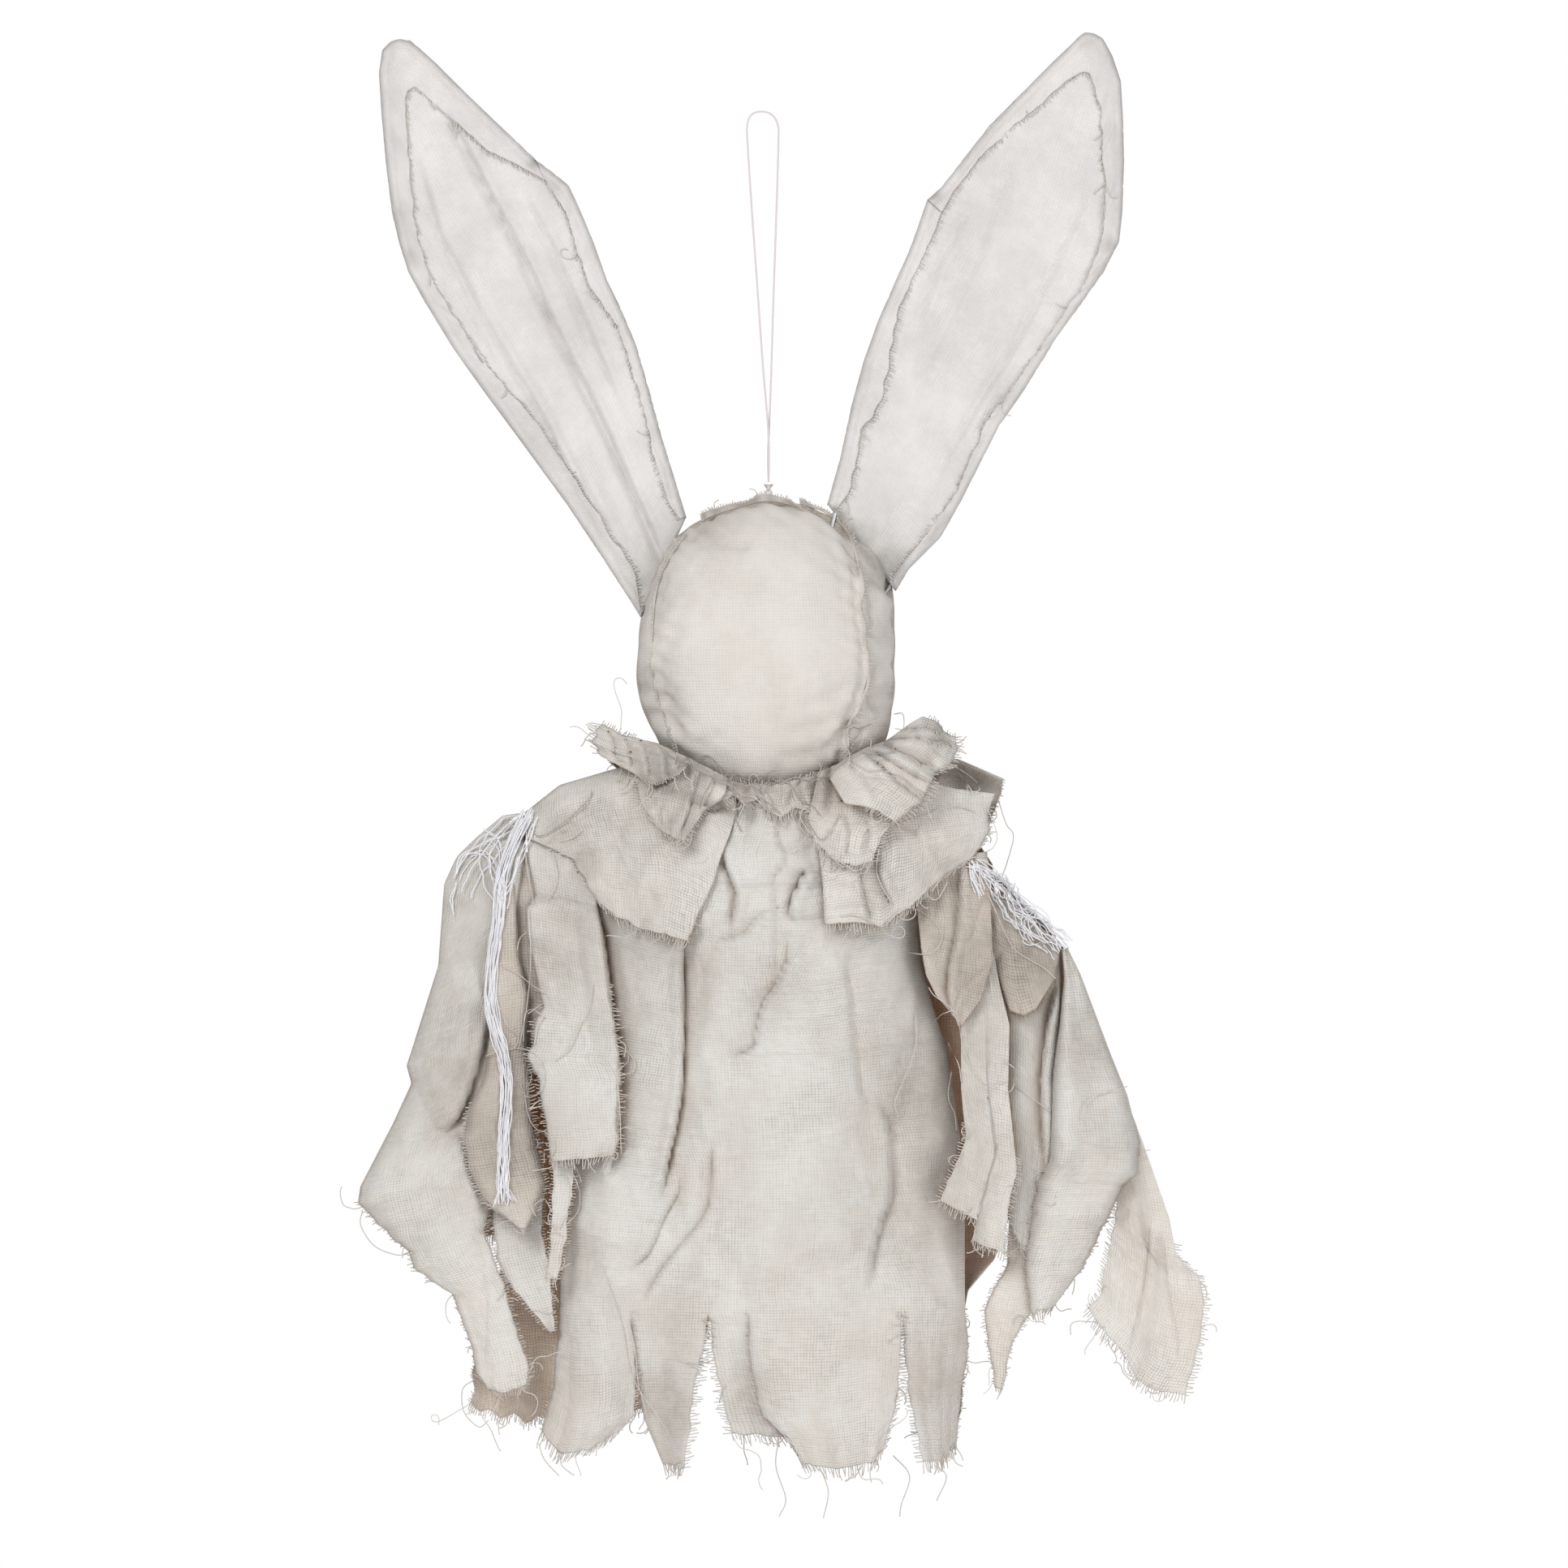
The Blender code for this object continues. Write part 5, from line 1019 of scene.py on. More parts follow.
# Sleeves and torn strips from the innermost outwards
sleeveDefaults = {"side": -1, "muslin": "gown", "restsOn": ["shoulder_wire"]}
sleevePieces = {
    "sleeve_left_back": {
        "side": 1, "group": "left", "muslin": "worn", "depth": (0.4, 0.4, 0.4, 4), "bulge": (4, 20), "pleats": (2, 4),
        "frayed": {"bottom": 2.6}, "sewn": ["left", "top"],
        "left": [(563, 1056), (548, 1090), (541, 1190), (508, 1295), (502, 1313), (508, 1335), (485, 1385),
            (446, 1474)],
        "top": [(590, 1030), (620, 1005)],
        "right": [(648, 1003), (645, 1100), (632, 1300), (622, 1440), (612, 1520)],
        "bottom": [(490, 1520), (520, 1500), (560, 1560), (590, 1530)]},
    "sleeve_right_back": {
        "side": 1, "group": "right", "muslin": "worn", "depth": (0.4, 0.4, 4, 0.4), "bulge": (4, 20),
        "frayed": {"bottom": 2.6}, "sewn": ["right", "top"],
        "left": [(1230, 1095), (1236, 1200), (1244, 1400), (1245, 1480)],
        "right": [(1312, 1167), (1330, 1200), (1368, 1300), (1388, 1350), (1402, 1405), (1400, 1448)],
        "bottom": [(1290, 1530), (1330, 1490)]},
    "sleeve_left_inner": {
        "group": "left", "muslin": "worn", "depth": (3, 6, 8, 10), "shadeAndStain": 0.5,
        "left": [(604, 1050), (606, 1150), (608, 1260), (610, 1320)],
        "right": [(662, 1050), (664, 1120), (668, 1170), (674, 1212), (672, 1262), (656, 1330)]},
    "gown_inner_strip": {
        "group": "left", "depth": (2, 6, 8, 12), "restsOn": ["gown_back_cloth"],
        "frayed": {"left": 1.4, "right": 1.8}, "shadeAndStain": 0.5,
        "folds": [([(640, 1480), (655, 1560), (672, 1620)], 3, 6)],
        "left": [(614, 1440), (606, 1505), (612, 1545), (622, 1572), (645, 1602), (666, 1626), (679, 1640)],
        "right": [(668, 1440), (668, 1510), (677, 1560), (680, 1600), (684, 1638)]},
    "sleeve_right_low_strip": {
        "group": "right", "depth": (2, 1, 10, 6), "pleats": (1, 5), "shadeAndStain": 0.5,
        "frayed": {"left": (2.4, 0.5, 1.0), "right": (2.2, 0.5, 1.0), "bottom": 3.0},
        "restsOn": ["sleeve_right_front_cloth"],
        "laps": [([(1432, 1520), (1441, 1600), (1450, 1640), (1453, 1680)], 1.8, 4, 1),
            ([(1418, 1500), (1412, 1570), (1402, 1620), (1388, 1670)], 3.0, 5, -1)],
        "left": [(1345, 1330), (1376, 1480), (1368, 1530), (1360, 1560), (1355, 1592), (1340, 1610)],
        "right": [(1383, 1342), (1408, 1408), (1440, 1500), (1449, 1545), (1478, 1575), (1484, 1600), (1479, 1645),
            (1460, 1718)],
        "bottom": [(1362, 1642), (1385, 1665), (1398, 1700), (1432, 1714)]},
    "torn_strip_right_pointed": {
        "group": "right", "depth": (3, 3, 12, 12), "shadeAndStain": 0.5, "bulge": (2, 3),
        "frayed": {"left": (1.8, 0.4, 1.0), "right": (1.8, 0.4, 1.0), "bottom": 2.0},
        "restsOn": ["sleeve_right_inner_cloth"],
        "left": [(1240, 1420), (1244, 1500), (1240, 1560), (1213, 1612), (1218, 1655), (1226, 1708)],
        "right": [(1290, 1420), (1276, 1500), (1272, 1590), (1268, 1616), (1246, 1650), (1234, 1710)]},
    "sleeve_right_inner": {
        "group": "right", "depth": (3, 3, 10, 9), "bulge": (4, 5),
        "laps": [([(1303, 1200), (1290, 1260), (1282, 1330), (1284, 1400), (1288, 1450)], 9, 5, -1)],
        "frayed": {"bottom": 1.6}, "left": [(1225, 1130), (1238, 1250), (1240, 1400), (1242, 1500)],
        "right": [(1306, 1168), (1306, 1250), (1300, 1400), (1282, 1500), (1274, 1545)],
        "bottom": [(1258, 1538)]},
    "sleeve_right_front": {
        "group": "right", "depth": (0.4, 0.4, 16, 6), "bulge": (4, 13), "shadeAndStain": 0.7,
        "frayed": {"left": (1.8, 0.6, 1.0), "right": (2.4, 0.55, 1.0), "bottom": 3.0},
        "folds": [([(1350, 1260), (1345, 1360), (1330, 1460), (1310, 1560)], 3, 8)],
        "sewn": ["right"],
        "laps": [([(1303, 1430), (1318, 1440), (1340, 1490), (1372, 1505)], 1.4, 3, -1)],
        "creases": [([(1312, 1380), (1350, 1420), (1370, 1470)], 1.0, 2.0)],
        "left": [(1308, 1168), (1311, 1205), (1306, 1260), (1298, 1320), (1295, 1400), (1293, 1430), (1280, 1455),
            (1267, 1530), (1263, 1562), (1270, 1616)],
        "right": [(1314, 1168), (1330, 1200), (1368, 1300), (1388, 1350), (1402, 1405), (1398, 1445), (1380, 1462),
            (1364, 1498), (1335, 1560), (1300, 1606)]},
    "sleeve_left_front": {
        "group": "left", "depth": (0.4, 0.4, 8, 12), "bulge": (4, 20), "shadeAndStain": 0.8, "flatFrom": 0.6,
        "sewn": ["left", "top"], "frayed": {"left": (3.0, 0.61, 1.0), "bottom": 2.8, "right": (2.2, 0.62, 1.0)},
        "stands": ["sleeve_left_low_strip"], "crumple": 1.1,
        "folds": [([(602, 1180), (596, 1260), (586, 1320), (556, 1390)], 5, 8), ([(530, 1400), (520, 1470)], 4, 9),
            ([(575, 1130), (560, 1230), (545, 1290)], 3, 8), ([(600, 1560), (604, 1640)], 2, 8)],
        "laps": [([(606, 1250), (597, 1290), (588, 1320), (578, 1352), (568, 1375), (548, 1396)], 8, 4.5, 1),
            ([(560, 1385), (572, 1410), (584, 1450), (600, 1500)], 3, 5, 1),
            ([(508, 1300), (520, 1345), (540, 1385), (560, 1402)], 1.6, 5, -1),
            ([(598, 1480), (594, 1540), (602, 1600), (600, 1680)], 1.4, 4, -1)],
        "left": [(563, 1056), (548, 1090), (541, 1190), (508, 1295), (502, 1313), (508, 1335), (485, 1385),
            (445, 1462), (442, 1482), (462, 1502), (480, 1520), (504, 1540), (510, 1560), (532, 1578), (558, 1592),
            (565, 1615), (576, 1640), (583, 1665), (587, 1690), (600, 1706)],
        "top": [(590, 1030), (620, 1005)],
        "right": [(648, 1001), (645, 1060), (632, 1150), (622, 1300), (616, 1440), (603, 1490), (597, 1515),
            (607, 1545), (617, 1572), (632, 1622), (641, 1655), (653, 1682), (649, 1704)],
        "bottom": [(622, 1714)]},
    "torn_strip_left_grey": {
        "group": "left", "muslin": "worn", "depth": (6, 8, 20, 22), "bulge": (2, 4), "shadeAndStain": 0.6,
        "frayed": {"left": (1.8, 0.6, 1.0), "right": (2.2, 0.5, 1.0), "bottom": 2.4},
        "restsOn": ["sleeve_left_front_cloth"],
        "laps": [([(640, 1290), (642, 1360), (640, 1440), (632, 1480)], 2.2, 4, -1)],
        "left": [(612, 1090), (606, 1180), (605, 1280), (597, 1330), (578, 1370), (575, 1405), (583, 1445),
            (606, 1484), (640, 1508)],
        "right": [(634, 1090), (640, 1180), (652, 1225), (650, 1280), (652, 1340), (662, 1415), (672, 1455),
            (664, 1482), (650, 1510)]},
    "torn_rag_left": {
        "group": "left", "depth": (24, 26, 26, 28), "restsOn": ["gown_front_cloth"],
        "frayed": {"left": 1.2, "right": 1.6, "bottom": 2.4},
        "left": [(682, 1395), (683, 1480), (680, 1530), (676, 1572)],
        "right": [(712, 1395), (706, 1470), (698, 1530), (688, 1572)]},
    "torn_strip_left_front": {
        "group": "left", "depth": (4, 12, 32, 36), "bulge": (4, 6), "shadeAndStain": 0.6,
        "frayed": {"left": (2.4, 0.5, 1.0), "right": (2.8, 0.45, 1.0), "bottom": 3.4},
        "restsOn": ["gown_front_cloth"],
        "folds": [([(656, 1165), (680, 1182), (704, 1205)], 2.6, 5),
            ([(700, 1130), (725, 1180), (735, 1240)], 1.6, 6)],
        "laps": [([(644, 1124), (662, 1109), (692, 1106), (740, 1119)], 2.4, 4, 1),
            ([(655, 1160), (668, 1185), (678, 1205)], 1.6, 2.5, 1)],
        "creases": [([(690, 1240), (712, 1290), (745, 1310)], 0.8, 1.8)],
        "left": [(650, 1010), (652, 1060), (661, 1104), (650, 1118), (651, 1150), (658, 1180), (671, 1240),
            (662, 1262), (660, 1285), (652, 1298), (668, 1335), (672, 1370), (677, 1400), (682, 1428)],
        "right": [(740, 1040), (738, 1080), (737, 1115), (743, 1150), (748, 1200), (752, 1230), (757, 1255),
            (763, 1290), (765, 1330), (760, 1370), (764, 1400), (757, 1420)]},
    "sleeve_right_cap": {
        "group": "right", "muslin": "worn", "depth": (5, 1.5, 18, 12), "bulge": (3, 6), "sewn": ["top"], "shadeAndStain": 0.4,
        "crumple": 2.0,
        "laps": [([(1226, 1120), (1240, 1145), (1262, 1150), (1285, 1172)], 2.0, 4, 1),
            ([(1224, 1190), (1236, 1170), (1246, 1160)], 1.4, 2, 1)],
        "left": [(1205, 1085), (1222, 1180), (1243, 1244)], "right": [(1304, 1160), (1303, 1180), (1297, 1206)],
        "bottom": [(1260, 1250), (1275, 1242)]},
    "torn_patch_right": {
        "group": "right", "depth": (20, 20, 30, 26), "pleats": (1, 2), "shadeAndStain": 0.6, "crumple": 1.6,
        "frayed": {"left": (2.0, 0.7, 1.0), "right": (2.2, 0.7, 1.0), "bottom": 2.8}, "restsOn": ["gown_front_cloth"],
        "creases": [([(1240, 1310), (1222, 1345), (1205, 1380)], 1.2, 1.4)],
        "left": [(1182, 1150), (1183, 1262), (1183, 1340), (1189, 1400), (1172, 1440), (1157, 1476)],
        "right": [(1218, 1150), (1232, 1220), (1243, 1262), (1241, 1340), (1252, 1442), (1240, 1490), (1236, 1542)],
        "bottom": [(1202, 1500), (1197, 1526)]},
    "torn_strip_right_shoulder": {
        "group": "right", "muslin": "worn", "depth": (22, 16, 32, 30), "pleats": (1, 2), "shadeAndStain": 0.5, "crumple": 1.7,
        "restsOn": ["gown_front_cloth"], "gathers": (4, 3, 0.3),
        "laps": [([(1180, 1060), (1182, 1110), (1177, 1150), (1168, 1190), (1166, 1220), (1170, 1246)], 6, 3.5, -1),
            ([(1213, 1090), (1205, 1120), (1198, 1145), (1190, 1165)], 2.4, 2.5, 1),
            ([(1224, 1182), (1200, 1202), (1182, 1218), (1172, 1245)], 2.2, 3.0, -1)],
        "left": [(1112, 1050), (1128, 1110), (1134, 1165), (1140, 1200), (1152, 1225), (1168, 1243)],
        "right": [(1215, 1050), (1219, 1100), (1222, 1180), (1208, 1228), (1183, 1262)]}}

# Capes and collars from the innermost outwards
capeDefaults = {"side": -1, "group": "collar", "muslin": "collar", "restsOn": ["gown_front_cloth"]}
capePieces = {
    "cape_back": {
        "side": 1, "depth": (0.4, 0.4, 30, 30), "bulge": (31, 12), "frayed": {"bottom": 2.0, "right": 1.6},
        "restsOn": ["gown_back_cloth"], "crumple": 1.4, "gathers": (14, 2.5, 0.3), "inside": 0.1,
        "sewn": ["left", "top"],
        "folds": [([(850, 960), (800, 1120)], 4, 6), ([(1040, 960), (1080, 1120)], 4, 6),
            ([(944, 960), (944, 1120)], 4, 6)],
        "left": [(648, 1001), (650, 1032), (684, 1047), (705, 1085)],
        "top": [(690, 968), (758, 948), (820, 934), (944, 925), (1092, 930), (1180, 936)],
        "right": [(1236, 960), (1232, 980), (1214, 1030), (1180, 1075)],
        "bottom": [(780, 1140), (850, 1120), (960, 1150), (1060, 1125), (1120, 1140)]},
    "cape_left": {
        "depth": (0.4, 30, 28, 44), "bulge": (0, 4),
        "frayed": {"left": (2.0, 0.4, 1.0), "bottom": 3.0, "right": (1.0, 0.7, 1.0)}, "shadeAndStain": 0.7, "crumple": 1.7,
        "sewn": ["top"],
        "folds": [([(770, 1095), (800, 1040), (835, 1005)], 3.0, 6),
            ([(690, 1040), (720, 1000), (748, 975)], 2.2, 6), ([(850, 1010), (862, 1060), (850, 1120)], 2.0, 7)],
        "laps": [([(664, 1050), (684, 1032), (706, 1020)], 1.6, 3, -1),
            ([(706, 1005), (730, 990), (760, 985)], 1.4, 4, -1), ([(866, 1000), (880, 1000), (897, 996)], 3.0, 3, 1)],
        "left": [(648, 1001), (650, 1032), (684, 1047), (708, 1060), (722, 1085), (736, 1106)],
        "top": [(690, 968), (758, 948), (820, 940), (880, 960)],
        "right": [(904, 977), (908, 1000), (899, 1030), (889, 1054), (880, 1085), (864, 1122), (848, 1158)],
        "bottom": [(760, 1129), (792, 1143), (822, 1150)]},
    "cape_right": {
        "depth": (30, 0.4, 46, 22), "bulge": (0, 6), "frayed": {"bottom": 3.2, "right": (2.2, 0.2, 1.0)}, "shadeAndStain": 0.5,
        "crumple": 1.6,
        "folds": [([(1100, 1020), (1130, 1045), (1170, 1050)], 2.2, 6), ([(1045, 1000), (1040, 1100)], 2.2, 7)],
        "laps": [([(1054, 1058), (1060, 1085), (1065, 1108), (1073, 1140)], 5, 4.5, 1),
            ([(1078, 1035), (1080, 1070), (1088, 1095), (1100, 1120)], 5, 3.5, -1),
            ([(1098, 1010), (1112, 1018), (1128, 1030)], 2.2, 3, 1)],
        "left": [(1000, 985), (1008, 1040), (1014, 1090), (1016, 1138)],
        "top": [(1040, 962), (1092, 948), (1178, 972)],
        "right": [(1226, 978), (1216, 1002), (1218, 1024), (1204, 1046), (1194, 1058)],
        "bottom": [(1050, 1134), (1085, 1141), (1098, 1130), (1122, 1116), (1163, 1078)]},
    "collar_back": {
        "side": 1, "depth": (0.4, 0.4, 38, 38), "bulge": (31, 14), "pleats": (9, 5),
        "frayed": {"bottom": 2.6, "left": 2.0, "right": 2.0}, "restsOn": ["stuffed_head"], "held": "gathered",
        "gathers": (18, 3, 0.4), "left": [(735, 900), (740, 925), (765, 955)],
        "top": [(813, 917), (860, 912), (944, 910), (1040, 912), (1092, 915)],
        "right": [(1177, 908), (1176, 930), (1140, 975)], "bottom": [(830, 1010), (944, 1030), (1050, 1015)]},
    "collar_centre": {
        "depth": (32, 32, 36, 36), "gathers": (5, 3, 1.2), "frayed": {"bottom": 3.0, "top": 1.4}, "held": "gathered",
        "crumple": 2.4,
        "laps": [([(915, 950), (920, 975), (914, 992)], 2.5, 2.5, 1),
            ([(942, 952), (938, 975), (948, 1000)], 3, 2.5, -1), ([(966, 950), (974, 970), (968, 998)], 2.5, 2.5, 1),
            ([(990, 948), (984, 970), (992, 996)], 3, 2.5, -1)],
        "left": [(872, 950), (880, 972), (892, 986)],
        "top": [(885, 957), (900, 962), (925, 966), (950, 966), (975, 962), (1000, 956)],
        "right": [(1018, 948), (1008, 968), (1002, 1002)],
        "bottom": [(905, 980), (918, 990), (935, 986), (950, 1000), (962, 1008), (980, 996)]},
    "collar_left": {
        "depth": (10, 32, 38, 46), "held": "gathered",
        "frayed": {"left": (2.6, 0.2, 1.0), "bottom": 3.0, "right": (2.4, 0.5, 1.0)}, "restsOn": ["cape_left_cloth"],
        "shadeAndStain": 0.8, "gathers": (4, 3, 0.5),
        "folds": [([(850, 960), (835, 985), (815, 1008)], 3, 5), ([(880, 965), (865, 990)], 2.5, 4)],
        "laps": [([(842, 944), (826, 962), (806, 972), (794, 985)], 4, 4, -1),
            ([(866, 948), (856, 975), (850, 1000), (838, 1030)], 4.5, 4, 1),
            ([(884, 952), (878, 972), (868, 996)], 3.5, 3, 1), ([(820, 985), (815, 1002), (818, 1020)], 2, 3, -1)],
        "left": [(775, 925), (784, 945), (786, 968), (791, 990), (812, 1020)], "top": [(813, 921), (845, 932)],
        "right": [(897, 958), (895, 976), (888, 986), (866, 1001), (843, 1036)],
        "bottom": [(828, 1032)]},
    "collar_left_flap": {
        "depth": (4, 34, 16, 50), "held": "gathered", "bulge": (1, 3),
        "frayed": {"left": 4.0, "top": (1.6, 0.0, 0.4), "bottom": 1.0}, "restsOn": ["collar_left_cloth"], "shadeAndStain": 0.4,
        "laps": [([(745, 896), (756, 912), (760, 936)], 4.5, 3, 1), ([(764, 903), (776, 920), (780, 948)], 5, 3, 1),
            ([(786, 908), (798, 928), (802, 960)], 5, 3, 1), ([(808, 914), (820, 932), (826, 962)], 4.5, 3, 1),
            ([(826, 922), (836, 934), (840, 950)], 3, 2.5, 1)],
        "left": [(742, 893), (733, 899), (736, 907), (729, 913), (737, 921), (741, 930), (756, 934)],
        "top": [(752, 896), (765, 905), (790, 911), (813, 917)], "right": [(845, 933), (850, 938), (846, 946)],
        "bottom": [(770, 943), (786, 956), (806, 966), (830, 960)]},
    "collar_right": {
        "depth": (34, 34, 38, 46), "held": "gathered",
        "frayed": {"left": (1.8, 0.5, 1.0), "right": (2.2, 0.4, 1.0), "bottom": 3.2}, "restsOn": ["cape_right_cloth"],
        "gathers": (5, 3, 0.4), "shadeAndStain": 0.8,
        "laps": [([(1020, 955), (1030, 976), (1042, 992)], 4, 3, -1),
            ([(1030, 996), (1062, 994), (1098, 1010)], 2, 4, -1),
            ([(1040, 1000), (1046, 1025), (1040, 1056)], 3, 4, 1),
            ([(1066, 1004), (1070, 1025), (1062, 1050)], 3, 3, -1)],
        "left": [(1008, 952), (1002, 980), (994, 1008), (1003, 1036)], "top": [(1030, 942), (1060, 926)],
        "right": [(1094, 940), (1102, 985), (1100, 1012), (1085, 1030), (1078, 1046), (1074, 1060)],
        "bottom": [(1018, 1050), (1035, 1062), (1056, 1066)]},
    "collar_right_ruffle": {
        "depth": (36, 8, 46, 44), "held": "gathered",
        "frayed": {"right": 3.4, "bottom": (2.0, 0.6, 1.0), "top": (1.8, 0.6, 1.0)},
        "restsOn": ["collar_right_cloth"], "shadeAndStain": 0.8, "crumple": 0.8, "bulge": (0, 5),
        "laps": [([(1064, 930), (1085, 945), (1105, 965), (1125, 979), (1142, 982)], 7, 4, 1),
            ([(1086, 918), (1110, 928), (1130, 940), (1156, 948)], 7, 4, 1),
            ([(1098, 912), (1125, 910), (1150, 914), (1182, 918)], 5, 3.5, 1),
            ([(1074, 924), (1096, 937), (1118, 952), (1148, 966)], 4, 3, -1),
            ([(1108, 900), (1130, 898), (1152, 900), (1172, 904)], 3.5, 3, 1),
            ([(1124, 896), (1132, 906), (1128, 916)], 2, 2.5, 1),
            ([(1040, 940), (1062, 958), (1080, 985)], 1.8, 4, 1)],
        "left": [(1090, 914), (1065, 923), (1040, 936), (1026, 948), (1022, 960)],
        "top": [(1120, 892), (1136, 883), (1150, 889), (1163, 902)],
        "right": [(1177, 908), (1179, 925), (1165, 946), (1150, 955), (1141, 974), (1138, 985), (1120, 998),
            (1101, 1013)],
        "bottom": [(1040, 990), (1062, 993), (1082, 999)]}}


# Ears: muslin pockets over a wire, with a turned hem on the front
earSettings = {"roll": 0.0022, "skin": 0.0005, "rows": 165, "columns": 74, "shadeAndStain": 0.35, "tipRows": 1.15,
               "wireEdge": 1.6, "wireStep": 0.0010, "stepReach": 0.0022, "flatRim": 0.003, "flatReach": 0.006,
               "creaseHigh": 1.4, "creaseWide": 0.0016, "ridgeFrom": 0.0030, "ridgeWide": 0.0022}
ears = {
    "left": {
        "outer": [(790, 760), (773, 733), (740, 682), (700, 622), (640, 540), (600, 486), (560, 430), (525, 373),
            (504, 335), (493, 300), (484, 262), (477, 205), (471, 140), (468, 90), (472, 62)],
        "tip": [(482, 52), (492, 49), (503, 51)],
        "inner": [(845, 638), (832, 595), (815, 540), (800, 484), (783, 425), (763, 378), (747, 345), (731, 300),
            (713, 257), (700, 229), (680, 213), (658, 196), (620, 160), (578, 120), (537, 79), (515, 59)],
        "folds": [([(560, 160), (600, 240), (640, 310), (680, 400), (710, 460), (745, 530), (775, 600), (800, 655),
              (820, 698)],
             1.8, 4.0),
            ([(520, 240), (560, 320), (640, 430), (690, 510), (740, 620), (775, 690)], 1.4, 4.5),
            ([(640, 235), (680, 300), (720, 400)], 1.2, 3.0), ([(600, 180), (690, 340), (770, 520)], 0.9, 3.0),
            ([(500, 180), (540, 330), (600, 430)], 0.8, 3.5)],
        "creases": [([(556, 150), (600, 238), (640, 310), (680, 400), (710, 460), (745, 530), (775, 600), (800, 655),
              (822, 705)],
             2.0),
            ([(516, 200), (540, 290), (600, 400), (660, 500), (720, 620), (770, 700)], 1.2),
            ([(640, 560), (700, 640), (740, 690), (778, 725)], 1.1),
            ([(640, 235), (676, 300), (720, 400), (762, 500)], 1.0)],
        "hems": [{
                "name": "outer", "edge": "left", "outline": [("outer", 0, 15), ("tip", 0, 3), ("inner", 16, 10)],
                "line": [(790, 757), (782, 705), (745, 648), (715, 600), (660, 520), (600, 450), (560, 390),
                    (527, 335), (512, 280), (505, 210), (502, 165), (500, 130), (502, 112), (512, 106), (530, 124),
                    (560, 150), (600, 185), (640, 205), (672, 222)]},
            {
                "name": "inner", "edge": "right", "outline": [("inner", 0, 12)],
                "line": [(838, 640), (825, 620), (808, 572), (795, 510), (772, 430), (757, 395), (735, 365),
                    (718, 330), (700, 270), (672, 222)]}]},
    "right": {
        "outer": [(1020, 622), (1036, 565), (1050, 500), (1065, 445), (1083, 395), (1105, 345), (1120, 312),
            (1130, 285), (1143, 247), (1160, 232), (1185, 200), (1220, 155), (1260, 115), (1300, 75), (1322, 54)],
        "tip": [(1331, 45), (1337, 41), (1347, 42)],
        "inner": [(1103, 728), (1120, 700), (1158, 662), (1183, 618), (1230, 525), (1260, 482), (1300, 418),
            (1340, 362), (1358, 337), (1378, 298), (1382, 260), (1384, 200), (1383, 150), (1380, 100), (1370, 70),
            (1358, 48)],
        "folds": [([(1330, 240), (1290, 340), (1250, 420), (1210, 480), (1165, 560), (1130, 620)], 1.3, 5.0),
            ([(1190, 260), (1150, 330), (1120, 430)], 1.0, 4.0), ([(1240, 190), (1190, 330), (1120, 500)], 0.7, 4.0)],
        "creases": [([(1336, 240), (1290, 345), (1250, 425), (1208, 490), (1150, 590)], 1.0),
            ([(1195, 255), (1155, 330), (1130, 400)], 0.9), ([(1250, 190), (1200, 330), (1120, 500)], 0.7)],
        "hems": [{
                "name": "outer", "edge": "left", "outline": [("outer", 0, 9)],
                "line": [(1030, 628), (1045, 608), (1054, 570), (1062, 530), (1085, 495), (1095, 450), (1105, 385),
                    (1140, 310), (1160, 262)]},
            {
                "name": "inner", "edge": "right", "outline": [("inner", 0, 16), ("tip", 2, -1), ("outer", 14, 7)],
                "line": [(1100, 722), (1102, 708), (1145, 655), (1180, 605), (1215, 520), (1275, 440), (1335, 350),
                    (1360, 290), (1362, 225), (1358, 190), (1356, 140), (1350, 108), (1342, 92), (1330, 90),
                    (1310, 104), (1280, 130), (1250, 155), (1215, 185), (1175, 235), (1160, 262)]}]}}


